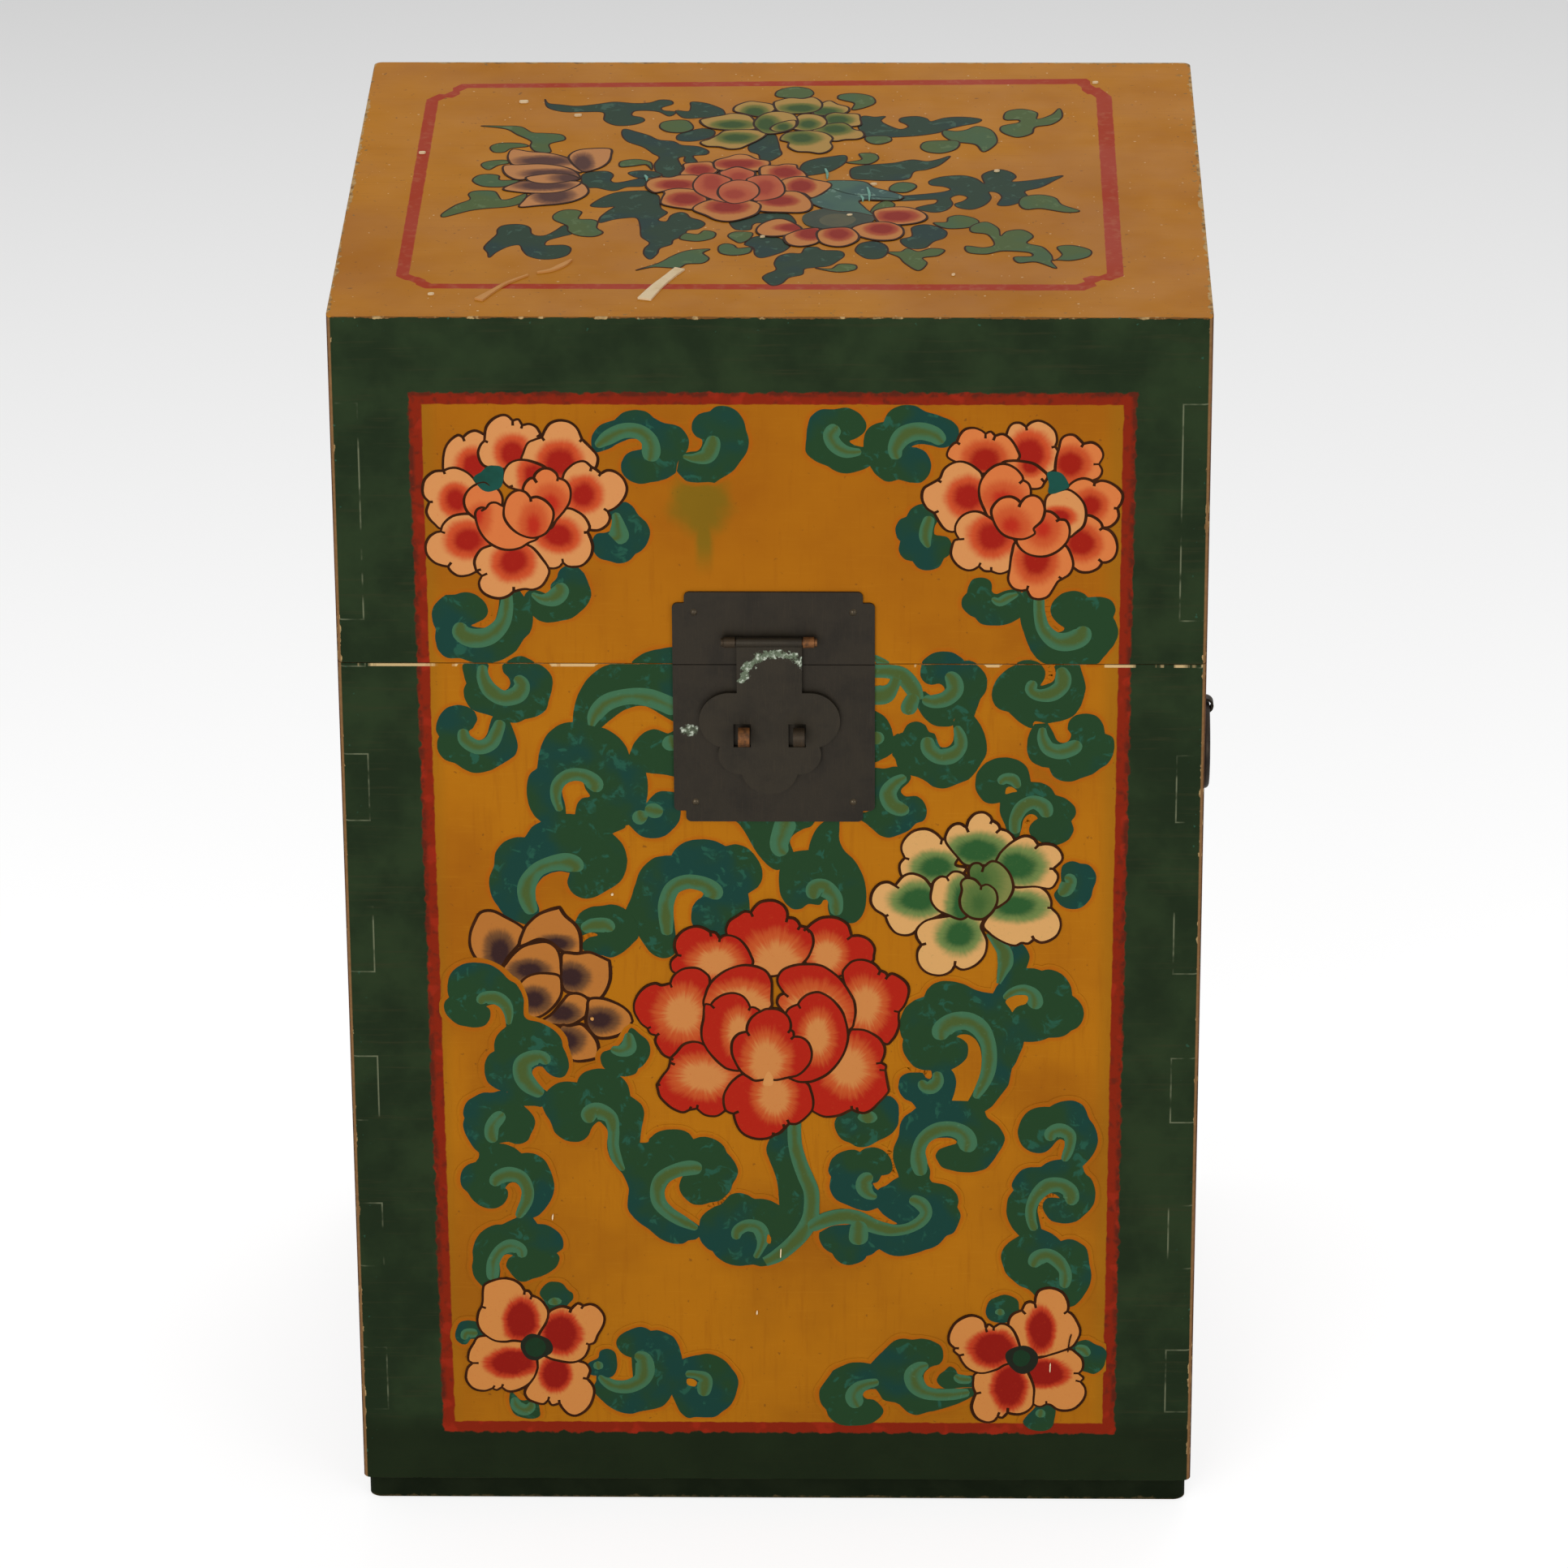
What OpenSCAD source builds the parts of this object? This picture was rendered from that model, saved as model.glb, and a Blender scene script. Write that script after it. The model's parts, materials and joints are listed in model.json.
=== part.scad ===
// Painted trunk: a tall wooden box with a deep lift-up lid, a two-part lock plate
// with a pivoting hasp, a ring handle on each side and two butt hinges at the back.
// The origin is the centre of the underside; +Z is up and the front faces -Y.

/* [Carcass] */
// Width of the trunk over the side boards
trunk_w = 400; // [340:5:500]
// Depth of the trunk over the front and back boards
trunk_d = 340; // [260:5:420]
// Height of the trunk, base board and lid top included
trunk_h = 615; // [590:5:700]
// Height of the parting line between body and lid
parting_z = 444; // [420:1:470]
// Gap left at the parting line
parting_gap = 0.4; // [0.2:0.1:1]
// Thickness of the wall boards
wall_t = 13; // [11:0.5:18]
// Thickness of the lid top planks
top_t = 11; // [9:0.5:15]
// Distance of the seam between the two top planks behind the middle
top_seam_y = 42; // [-80:1:80]
// Radius of the worn upright corners
corner_r = 4; // [1:0.5:8]

/* [Base board] */
// Thickness of the base board
base_t = 12; // [9:0.5:18]
// Distance that the base board is set in from the walls
base_inset = 2.5; // [0.5:0.5:4]
// Radius of the base board's corners
base_corner_r = 6; // [2:0.5:10]
// Radius of the flat heads of the base nails
base_nail_head_r = 2; // [1.5:0.1:2.5]
// Thickness of the base nails' heads
base_nail_head_t = 0.9; // [0.6:0.1:1.4]
// Radius of the base nails' shanks
base_nail_r = 0.9; // [0.6:0.1:1.4]
// Length of the base nails
base_nail_l = 30; // [22:1:40]
// Nails along the front and along the back
base_nails_x = 4; // [2:1:8]
// Nails along each side
base_nails_y = 2; // [1:1:6]

/* [Finger joints] */
// Height of a body finger
finger_h = 34; // [20:1:44]
// Fingers at each upright corner of the body
finger_count = 5; // [3:1:6]
// From the parting line down to the middle of the highest body finger
finger_top_margin = 63; // [40:1:80]
// From the base board up to the middle of the lowest body finger
finger_base_margin = 55; // [30:1:70]
// From the parting line up to the lid finger
lid_finger_rise = 22; // [10:1:40]
// From the lid finger up to the lid top planks
lid_finger_drop = 31; // [10:1:50]

/* [Lock plate] */
// Width of the lock plate
plate_w = 93; // [84:1:120]
// Height of the upper plate, above the parting line
plate_up = 36.5; // [32:0.5:50]
// Height of the lower plate, below the parting line
plate_down = 79.5; // [74:0.5:100]
// Thickness of the plates
plate_t = 1.2; // [0.8:0.1:2]
// Side of the notch at each outer corner
plate_notch = 5.5; // [3:0.5:8]
// Radius that rounds the corners of the plate
plate_r = 2.5; // [1:0.5:3]
// Sideways place of the lock plate
plate_x = 1; // [-5:0.5:5]
// Distance of the nails from the plate's edges
plate_nail_inset = 10; // [8:0.5:12]
// Radius of the domed nail heads
plate_nail_head_r = 1.7; // [1.2:0.1:2.2]
// Height of the domed nail heads
plate_nail_head_h = 0.9; // [0.5:0.1:1.2]
// Radius of the plate nails' shanks
plate_nail_r = 0.8; // [0.5:0.1:1]
// Length of the plate nails in the wood
plate_nail_l = 9; // [5:0.5:10]

/* [Hasp] */
// Sideways place of the hasp
hasp_x = -1; // [-4:0.5:4]
// Height of the hasp's pin above the parting line
hasp_rise = 13; // [9:0.5:20]
// Thickness of the hasp's sheet
hasp_t = 1.5; // [1:0.1:2]
// Gap between the hasp and the lock plate
hasp_gap = 1.2; // [0.6:0.1:2]
// Width of the strap and of its rolled barrel
hasp_strap_w = 30; // [24:1:36]
// Outer radius of the rolled barrel
hasp_barrel_r = 2.3; // [2.1:0.1:2.8]
// From the pin down to the upper edge of the cloud head
hasp_strap_l = 26; // [22:1:30]
// Radius of the two large upper lobes
lobe_upper_r = 14; // [12:0.5:15]
// Sideways distance of the upper lobes' centres
lobe_upper_x = 18.5; // [16:0.5:20]
// Radius of the two small lower lobes
lobe_lower_r = 10.2; // [9:0.2:11]
// Sideways distance of the lower lobes' centres
lobe_lower_x = 13.5; // [11:0.5:15]
// From the upper edge of the cloud head down to the lower lobes' centres
lobe_lower_drop = 31; // [29:0.5:33]
// Radius of the middle lobe at the tip
lobe_tip_r = 13.2; // [11:0.2:14]
// From the upper edge of the cloud head down to its tip
cloud_h = 51.3; // [49:0.5:54]
// Width of each slot in the hasp
slot_w = 8; // [7.4:0.2:9]
// Height of each slot in the hasp
slot_h = 11.7; // [11.5:0.1:13]
// Sideways distance of each slot's centre from the hasp's middle
slot_x = 12.7; // [10.5:0.1:14]
// From the upper edge of the cloud head down to the slots' centres
slot_drop = 21.5; // [19:0.5:24]
// Radius of the hasp's pin
hasp_pin_r = 1.35; // [1:0.05:1.4]

/* [Strip eyes] */
// Width of the bent brass strip of every eye
strip_w = 5.2; // [4:0.1:5.5]
// Thickness of the bent strip
strip_t = 1.1; // [0.8:0.1:1.2]
// Length of each splayed leg inside the trunk
splay_l = 8; // [5:0.5:12]
// Gap between the hasp's barrel and the eye beside it
eye_side_gap = 0.6; // [0.3:0.1:1]
// Radius of each peened end of the hasp's pin
pin_end_r = 2; // [1.8:0.1:2.3]
// Length of each peened end of the hasp's pin
pin_end_l = 1.1; // [0.6:0.1:2]
// Inner radius of the padlock staples
staple_r = 3.4; // [3:0.1:3.6]
// Sideways offset of the staples in the slots
staple_shift = 0.9; // [0:0.1:0.9]
// Space between the padlock hole's edge and the hasp's front
staple_reach = 0.5; // [0.3:0.1:1.5]

/* [Ring handles] */
// Height of the ring eyes below the parting line
ring_drop = 97; // [70:1:150]
// Radius of the ring, to the middle of its bar
ring_r = 20; // [16:0.5:28]
// Radius of the ring's bar
ring_bar_r = 2.2; // [1.6:0.1:2.4]
// Inner radius of the ring eyes
ring_eye_r = 3; // [2.8:0.1:3.4]
// Distance of the ring eye's centre from the side board
ring_standoff = 6.6; // [6:0.1:9]
// Radius of the round plate under each ring eye
rosette_r = 9; // [6:0.5:12]
// Thickness of the round plate
rosette_t = 1; // [0.6:0.1:1.4]

/* [Back hinges] */
// Sideways distance of each hinge's middle
hinge_x = 115; // [80:1:130]
// Width of a hinge leaf
leaf_w = 54; // [42:1:66]
// Height of a hinge leaf, without its barrel
leaf_h = 19; // [15:1:26]
// Thickness of a hinge leaf
leaf_t = 1.5; // [1:0.1:2]
// Outer radius of the hinge barrel
knuckle_r = 3; // [2.6:0.1:4]
// Radius of the hinge pin
hinge_pin_r = 1.35; // [1:0.05:1.6]
// Radius of the hinge pin's heads
hinge_pin_head_r = 2.2; // [1.9:0.1:2.5]
// Thickness of the hinge pin's heads
hinge_pin_head_t = 0.9; // [0.5:0.1:1.5]
// Gap between neighbouring knuckles
knuckle_gap = 0.4; // [0.2:0.1:1]
// From the outer screws' heads to the leaf's ends
leaf_margin = 4; // [3:0.5:6]
// Screws in each leaf
leaf_screws = 3; // [2:1:3]
// Radius of the round screw heads
screw_head_r = 2.6; // [2:0.1:3]
// Height of the round screw heads
screw_head_h = 1.5; // [1.2:0.1:2]
// Width of the slot in a screw head
screw_slot_w = 0.8; // [0.5:0.1:1]
// Depth of the slot in a screw head
screw_slot_d = 0.8; // [0.5:0.1:1]
// Radius of the screws' shanks
screw_r = 1.3; // [1:0.1:1.6]
// Length of the screws in the wood
screw_l = 9; // [6:0.5:10]

/* [Fits] */
// Clearance around a turning pin
running = 0.1; // [0.05:0.01:0.15]
// Clearance around a strip or screw in its plate
loose = 0.15; // [0.1:0.05:0.3]
// Clearance between surfaces that pass each other
passing = 0.3; // [0.2:0.05:0.5]

/* [Hidden] */
$fn = 64;
eps = 1; // overshoot of a cutting tool past a face

front_y = -trunk_d / 2;
back_y = trunk_d / 2;
side_x = trunk_w / 2;
lid_z = parting_z + parting_gap;
lid_wall_top = trunk_h - top_t;
inner_d = trunk_d - 2 * wall_t;
inner_w = trunk_w - 2 * wall_t;

finger_high = parting_z - finger_top_margin;
finger_low = base_t + finger_base_margin;
finger_pitch = (finger_high - finger_low) / (finger_count - 1);
body_fingers = [for (i = [0 : finger_count - 1])
    [finger_low + i * finger_pitch - finger_h / 2, finger_low + i * finger_pitch + finger_h / 2]];
lid_fingers = [[parting_z + lid_finger_rise, lid_wall_top - lid_finger_drop]];

// Heights are above the underside; standoffs are distances in front of the board
hasp_z = parting_z + hasp_rise;
hasp_eye_r = hasp_pin_r + running;
pin_standoff = plate_t + hasp_gap + hasp_barrel_r;
hasp_back = plate_t + hasp_gap;
hasp_front = hasp_back + hasp_t;
cloud_top = hasp_z - hasp_strap_l;
slot_z = cloud_top - slot_drop;
staple_out_r = staple_r + strip_t;
staple_standoff = hasp_front + staple_reach + staple_r;
staple_z = slot_z + slot_h / 2 - passing - staple_out_r;
eye_x = hasp_strap_w / 2 + eye_side_gap + strip_w / 2;
pin_l = 2 * eye_x + strip_w + 2 * loose;

ring_eye_z = parting_z - ring_drop;
ring_bar_z = ring_eye_z - (ring_eye_r - ring_bar_r - passing);

hinge_y = back_y + knuckle_r + passing;
hinge_z = parting_z + parting_gap / 2;
leaf_start = knuckle_r + 2 * passing;
knuckle_l = (leaf_w - 2 * knuckle_gap) / 3;
knuckle_step = knuckle_l + knuckle_gap;
leaf_hole_r = screw_r + loose;
leaf_edge = screw_head_r + leaf_margin;
screw_pitch = (leaf_w - 2 * leaf_edge) / (leaf_screws - 1);

board_paint = "#26382a";
ochre_paint = "#b0741f";
dark_metal = "#37302a";
old_brass = "#8c6a3c";
steel = "#6b6660";

// Shapes used by several pieces

// A flat rectangle with round corners, centred
module rounded_rectangle(w, d, r) {
    square([w - 2 * r, d], center = true);
    square([w, d - 2 * r], center = true);
    for (sx = [-1, 1], sy = [-1, 1])
        translate([sx * (w / 2 - r), sy * (d / 2 - r)])
            circle(r);
}

// An upright block with round corners between two heights
module upright_block(w, d, z0, z1, r) {
    translate([0, 0, z0])
        linear_extrude(z1 - z0)
            rounded_rectangle(w, d, r);
}

// A box between two opposite corners
module corner_box(low, high) {
    translate(low)
        cube(high - low);
}

// A cylinder along the depth, starting at the origin and running towards +Y
module bore_y(r, l) {
    rotate([-90, 0, 0])
        cylinder(r = r, h = l);
}

// A cylinder along the width, centred on the origin
module rod_x(r, l) {
    rotate([0, 90, 0])
        cylinder(r = r, h = l, center = true);
}

// The cap of a sphere standing on the plane y = 0 and rising towards -Y
module dome(r, h) {
    ball = (r * r + h * h) / (2 * h);
    intersection() {
        translate([0, ball - h, 0])
            sphere(ball);
        corner_box([-r - eps, -h - eps, -r - eps], [r + eps, 0, r + eps]);
    }
}

// A bent strip in its own frame: the eye's centre is the origin, its hole runs along X,
// and its two legs run towards +Y through a board to splayed feet.
module strip_eye(inner_r, standoff, through) {
    foot = standoff + through;
    rotate([0, 90, 0])
        linear_extrude(strip_w, center = true)
            difference() {
                union() {
                    circle(inner_r + strip_t);
                    translate([-strip_t, 0])
                        square([2 * strip_t, foot]);
                    translate([-splay_l, foot])
                        square([2 * splay_l, strip_t]);
                }
                circle(inner_r);
            }
}

// The slot that a strip eye's legs pass through, board and plate alike, in the same frame
module strip_slot(standoff, through) {
    corner_box([-strip_w / 2 - loose, 0, -strip_t - loose],
        [strip_w / 2 + loose, standoff + through + eps, strip_t + loose]);
}

// Each of these puts a shape that was drawn for the positive side on either side
module on_side_x(side) {
    if (side > 0) children();
    else mirror([1, 0, 0]) children();
}

module on_side_y(side) {
    if (side > 0) children();
    else mirror([0, 1, 0]) children();
}

module on_side_z(side) {
    if (side > 0) children();
    else mirror([0, 0, 1]) children();
}

// Boards

// A side board: its fingers reach through to the front and back faces
module side_board(side, z0, z1, fingers) {
    inner_x = side_x - wall_t;
    intersection() {
        upright_block(trunk_w, trunk_d, z0, z1, corner_r);
        on_side_x(side) {
            corner_box([inner_x, -inner_d / 2, z0], [side_x, inner_d / 2, z1]);
            for (f = fingers)
                corner_box([inner_x, front_y, f[0]], [side_x, back_y, f[1]]);
        }
    }
}

// A front or back board, notched at its ends for the side boards' fingers
module long_board(side, z0, z1, fingers) {
    inner_x = side_x - wall_t;
    difference() {
        intersection() {
            upright_block(trunk_w, trunk_d, z0, z1, corner_r);
            on_side_y(side)
                corner_box([-side_x, inner_d / 2, z0], [side_x, back_y, z1]);
        }
        for (f = fingers, s = [-1, 1])
            on_side_x(s)
                on_side_y(side)
                    corner_box([inner_x, inner_d / 2 - eps, f[0]], [side_x + eps, back_y + eps, f[1]]);
    }
}

// Places of the base nails, as [x, y]
function base_nail_places() =
    let (nx = side_x - wall_t / 2, ny = back_y - wall_t / 2)
    concat(
        [for (i = [0 : base_nails_x - 1], s = [-1, 1])
            [(i + 0.5 - base_nails_x / 2) * inner_w / base_nails_x, s * ny]],
        [for (i = [0 : base_nails_y - 1], s = [-1, 1])
            [s * nx, (i + 0.5 - base_nails_y / 2) * inner_d / base_nails_y]]);

module base_nail() {
    cylinder(r = base_nail_head_r, h = base_nail_head_t);
    cylinder(r = base_nail_r, h = base_nail_l);
}

module base_nail_set() {
    for (p = base_nail_places())
        translate([p[0], p[1], passing])
            base_nail();
}

// The same nails with their recesses below them, for cutting
module base_nail_cut() {
    base_nail_set();
    for (p = base_nail_places())
        translate([p[0], p[1], -eps])
            cylinder(r = base_nail_head_r, h = eps + passing);
}

module bottom_board() {
    color(board_paint)
        difference() {
            upright_block(trunk_w - 2 * base_inset, trunk_d - 2 * base_inset, 0, base_t, base_corner_r);
            base_nail_cut();
        }
}

module base_nails() {
    color(steel)
        base_nail_set();
}

module front_board() {
    color(board_paint)
        difference() {
            long_board(-1, base_t, parting_z, body_fingers);
            base_nail_set();
            plate_nail_holes(plate_nail_places_low());
            for (s = [-1, 1])
                at_staple(s) strip_slot(staple_standoff, wall_t);
        }
}

module back_board() {
    color(board_paint)
        difference() {
            long_board(1, base_t, parting_z, body_fingers);
            base_nail_set();
            for (s = [-1, 1])
                screw_holes(s, -1);
        }
}

module body_side_board(side) {
    color(ochre_paint)
        difference() {
            side_board(side, base_t, parting_z, body_fingers);
            base_nail_set();
            at_ring_eye(side) strip_slot(ring_standoff, wall_t);
        }
}

module lid_front_board() {
    color(board_paint)
        difference() {
            long_board(-1, lid_z, lid_wall_top, lid_fingers);
            plate_nail_holes(plate_nail_places_up());
            for (s = [-1, 1])
                at_hasp_eye(s) strip_slot(pin_standoff, wall_t);
        }
}

module lid_back_board() {
    color(board_paint)
        difference() {
            long_board(1, lid_z, lid_wall_top, lid_fingers);
            for (s = [-1, 1])
                screw_holes(s, 1);
        }
}

module lid_side_board(side) {
    color(ochre_paint)
        side_board(side, lid_z, lid_wall_top, lid_fingers);
}

// One of the two planks of the lid's top, between two depths
module top_plank(y0, y1) {
    color(ochre_paint)
        intersection() {
            upright_block(trunk_w, trunk_d, lid_wall_top, trunk_h, corner_r);
            corner_box([-side_x, y0, lid_wall_top], [side_x, y1, trunk_h]);
        }
}

// Lock

// The whole lock plate's outline, in X and height, with notched and rounded corners
module plate_outline() {
    whole_h = plate_up + plate_down;
    translate([plate_x, parting_z + (plate_up - plate_down) / 2]) {
        rounded_rectangle(plate_w, whole_h - 2 * plate_notch, plate_r);
        rounded_rectangle(plate_w - 2 * plate_notch, whole_h, plate_r);
    }
}

// A slice of the plate between two heights, as a sheet on the front boards
module plate_slice(z0, z1) {
    translate([0, front_y, 0])
        rotate([90, 0, 0])
            linear_extrude(plate_t)
                intersection() {
                    plate_outline();
                    translate([plate_x - plate_w / 2 - eps, z0])
                        square([plate_w + 2 * eps, z1 - z0]);
                }
}

// Places of the plate's nails, as [x, z]
function plate_nail_places_up() = [for (s = [-1, 1])
    [plate_x + s * (plate_w / 2 - plate_nail_inset), parting_z + plate_up - plate_nail_inset]];
function plate_nail_places_low() = [for (s = [-1, 1])
    [plate_x + s * (plate_w / 2 - plate_nail_inset), parting_z - plate_down + plate_nail_inset]];

// Holes for the nails, through the plate and into the board
module plate_nail_holes(places) {
    for (p = places)
        translate([p[0], front_y - plate_t - eps, p[1]])
            bore_y(plate_nail_r, plate_t + eps + plate_nail_l);
}

module plate_nails(places) {
    color(old_brass)
        for (p = places)
            translate([p[0], front_y - plate_t, p[1]]) {
                dome(plate_nail_head_r, plate_nail_head_h);
                bore_y(plate_nail_r, plate_t + plate_nail_l);
            }
}

module at_hasp_eye(s) {
    translate([hasp_x + s * eye_x, front_y - pin_standoff, hasp_z])
        children();
}

module at_staple(s) {
    translate([hasp_x + s * slot_x + staple_shift, front_y - staple_standoff, staple_z])
        children();
}

module upper_lock_plate() {
    color(dark_metal)
        difference() {
            plate_slice(lid_z, parting_z + plate_up);
            plate_nail_holes(plate_nail_places_up());
            for (s = [-1, 1])
                at_hasp_eye(s) strip_slot(pin_standoff, wall_t);
        }
}

module lower_lock_plate() {
    color(dark_metal)
        difference() {
            plate_slice(parting_z - plate_down, parting_z);
            plate_nail_holes(plate_nail_places_low());
            for (s = [-1, 1])
                at_staple(s) strip_slot(staple_standoff, wall_t);
        }
}

module hasp_eye(s) {
    color(old_brass)
        at_hasp_eye(s) strip_eye(hasp_eye_r, pin_standoff, wall_t);
}

module staple(s) {
    color(old_brass)
        at_staple(s) strip_eye(staple_r, staple_standoff, wall_t);
}

module hasp_pin() {
    color(old_brass)
        translate([hasp_x, front_y - pin_standoff, hasp_z]) {
            rod_x(hasp_pin_r, pin_l);
            for (s = [-1, 1])
                translate([s * (pin_l + pin_end_l) / 2, 0, 0])
                    rod_x(pin_end_r, pin_end_l);
        }
}

// The hasp's flat outline, in X and height: the strap, its cloud-shaped head and the slots
module hasp_outline() {
    difference() {
        union() {
            translate([-hasp_strap_w / 2, cloud_top - eps])
                square([hasp_strap_w, hasp_strap_l + eps]);
            translate([-lobe_upper_x, cloud_top - 2 * lobe_upper_r])
                square([2 * lobe_upper_x, 2 * lobe_upper_r]);
            for (s = [-1, 1]) {
                translate([s * lobe_upper_x, cloud_top - lobe_upper_r])
                    circle(lobe_upper_r);
                translate([s * lobe_lower_x, cloud_top - lobe_lower_drop])
                    circle(lobe_lower_r);
            }
            translate([0, cloud_top - cloud_h + lobe_tip_r])
                circle(lobe_tip_r);
        }
        for (s = [-1, 1])
            translate([s * slot_x, slot_z])
                square([slot_w, slot_h], center = true);
    }
}

module hasp() {
    color(dark_metal)
        difference() {
            union() {
                translate([hasp_x, front_y - hasp_back, 0])
                    rotate([90, 0, 0])
                        linear_extrude(hasp_t)
                            hasp_outline();
                translate([hasp_x, front_y - pin_standoff, hasp_z])
                    rod_x(hasp_barrel_r, hasp_strap_w);
            }
            translate([hasp_x, front_y - pin_standoff, hasp_z])
                rod_x(hasp_eye_r, hasp_strap_w + 2 * eps);
        }
}

// Ring handles

// Puts a strip eye's frame on a side board, legs running into the trunk
module at_ring_eye(side) {
    on_side_x(side)
        translate([side_x + ring_standoff, 0, ring_eye_z])
            rotate([0, 0, 90])
                children();
}

module ring_eye(side) {
    color(old_brass)
        at_ring_eye(side) strip_eye(ring_eye_r, ring_standoff, wall_t);
}

module rosette(side) {
    color(dark_metal)
        difference() {
            on_side_x(side)
                translate([side_x, 0, ring_eye_z])
                    rotate([0, 90, 0])
                        cylinder(r = rosette_r, h = rosette_t);
            at_ring_eye(side) strip_slot(ring_standoff, wall_t);
        }
}

module ring(side) {
    color(dark_metal)
        on_side_x(side)
            translate([side_x + ring_standoff, 0, ring_bar_z - ring_r])
                rotate([0, 90, 0])
                    rotate_extrude()
                        translate([ring_r, 0])
                            circle(ring_bar_r, $fn = 32);
}

// Back hinges: s is the side, and up is 1 for the lid's leaf and -1 for the body's

// Places of a leaf's screws, as [x, height above the pin]
function leaf_screw_places(up) = [for (i = [0 : leaf_screws - 1])
    [i * screw_pitch - leaf_w / 2 + leaf_edge, up * (leaf_start + leaf_h / 2)]];

module screw_holes(s, up) {
    for (p = leaf_screw_places(up))
        translate([s * hinge_x + p[0], back_y + eps, hinge_z + p[1]])
            rotate([0, 0, 180])
                bore_y(screw_r, screw_l + eps);
}

module leaf_screw_set(s, up) {
    color(steel)
        for (p = leaf_screw_places(up))
            translate([s * hinge_x + p[0], back_y + leaf_t, hinge_z + p[1]])
                rotate([0, 0, 180])
                    difference() {
                        union() {
                            dome(screw_head_r, screw_head_h);
                            bore_y(screw_r, leaf_t + screw_l);
                        }
                        corner_box([-screw_head_r, -screw_head_h - eps, -screw_slot_w / 2],
                            [screw_head_r, screw_slot_d - screw_head_h, screw_slot_w / 2]);
                    }
}

// Middles of the knuckles that belong to a leaf, along the pin
function knuckle_places(up) = up > 0 ? [0] : [-knuckle_step, knuckle_step];

module hinge_leaf(s, up) {
    color(steel)
        translate([s * hinge_x, 0, hinge_z])
            difference() {
                on_side_z(up) {
                    corner_box([-leaf_w / 2, back_y, leaf_start],
                        [leaf_w / 2, back_y + leaf_t, leaf_start + leaf_h]);
                    for (k = knuckle_places(up)) {
                        corner_box([k - knuckle_l / 2, back_y, parting_gap / 2],
                            [k + knuckle_l / 2, back_y + leaf_t, leaf_start + eps]);
                        translate([k, hinge_y, 0])
                            rod_x(knuckle_r, knuckle_l);
                    }
                }
                translate([0, hinge_y, 0])
                    rod_x(hinge_pin_r + running, leaf_w + 2 * eps);
                for (p = leaf_screw_places(up))
                    translate([p[0], back_y - eps, p[1]])
                        bore_y(leaf_hole_r, leaf_t + 2 * eps);
            }
}

module hinge_pin(s) {
    color(steel)
        translate([s * hinge_x, hinge_y, hinge_z]) {
            rod_x(hinge_pin_r, leaf_w + 2 * loose);
            for (e = [-1, 1])
                translate([e * (leaf_w / 2 + loose + hinge_pin_head_t / 2), 0, 0])
                    rod_x(hinge_pin_head_r, hinge_pin_head_t);
        }
}

// Nodes

bottom_board();
base_nails();
front_board();
back_board();
body_side_board(-1);  // left_board
body_side_board(1);  // right_board
lid_front_board();
lid_back_board();
lid_side_board(-1);  // lid_left_board
lid_side_board(1);  // lid_right_board
top_plank(front_y, top_seam_y);  // lid_top_front_plank
top_plank(top_seam_y, back_y);  // lid_top_rear_plank
upper_lock_plate();
lower_lock_plate();
plate_nails(plate_nail_places_up());  // upper_plate_nails
plate_nails(plate_nail_places_low());  // lower_plate_nails
hasp();
hasp_pin();
hasp_eye(-1);  // hasp_eye_left
hasp_eye(1);  // hasp_eye_right
staple(-1);  // staple_left
staple(1);  // staple_right
ring(-1);  // left_ring
ring_eye(-1);  // left_ring_eye
rosette(-1);  // left_rosette
ring(1);  // right_ring
ring_eye(1);  // right_ring_eye
rosette(1);  // right_rosette
hinge_leaf(-1, 1);  // left_hinge_upper_leaf
hinge_leaf(-1, -1);  // left_hinge_lower_leaf
hinge_pin(-1);  // left_hinge_pin
leaf_screw_set(-1, 1);  // left_hinge_upper_screws
leaf_screw_set(-1, -1);  // left_hinge_lower_screws
hinge_leaf(1, 1);  // right_hinge_upper_leaf
hinge_leaf(1, -1);  // right_hinge_lower_leaf
hinge_pin(1);  // right_hinge_pin
leaf_screw_set(1, 1);  // right_hinge_upper_screws
leaf_screw_set(1, -1);  // right_hinge_lower_screws
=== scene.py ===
"""The looks of a tall painted trunk: worn boards, flowers and leaves in thin paint, old brass fittings."""
import json
import math
import random

import bmesh
import bpy
from mathutils import Matrix, Vector, noise


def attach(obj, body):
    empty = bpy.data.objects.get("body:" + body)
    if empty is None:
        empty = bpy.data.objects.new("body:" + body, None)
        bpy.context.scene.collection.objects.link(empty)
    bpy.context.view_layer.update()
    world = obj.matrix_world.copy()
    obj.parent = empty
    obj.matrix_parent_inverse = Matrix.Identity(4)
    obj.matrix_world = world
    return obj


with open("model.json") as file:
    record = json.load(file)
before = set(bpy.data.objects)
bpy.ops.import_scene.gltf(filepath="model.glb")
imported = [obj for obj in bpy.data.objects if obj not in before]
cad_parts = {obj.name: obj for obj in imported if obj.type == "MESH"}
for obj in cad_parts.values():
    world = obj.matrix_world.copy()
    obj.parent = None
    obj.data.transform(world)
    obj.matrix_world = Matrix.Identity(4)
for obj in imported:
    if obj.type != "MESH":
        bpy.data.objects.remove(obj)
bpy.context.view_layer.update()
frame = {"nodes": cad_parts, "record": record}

MM = 0.001

# Outer faces of the trunk, in mm
HALF_W = 200.0
HALF_D = 170.0
HEIGHT = 615.0
PARTING = 444.2

random.seed(7)


# Camera, as the photograph was taken

CAMERA_PLACE = (65.6, -3326.9, 1861.1)
CAMERA_LENS = 172.9
CAMERA_YAW = math.radians(1.092)
CAMERA_PITCH = math.radians(25.083)
CAMERA_ROLL = math.radians(-0.325)


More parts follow.
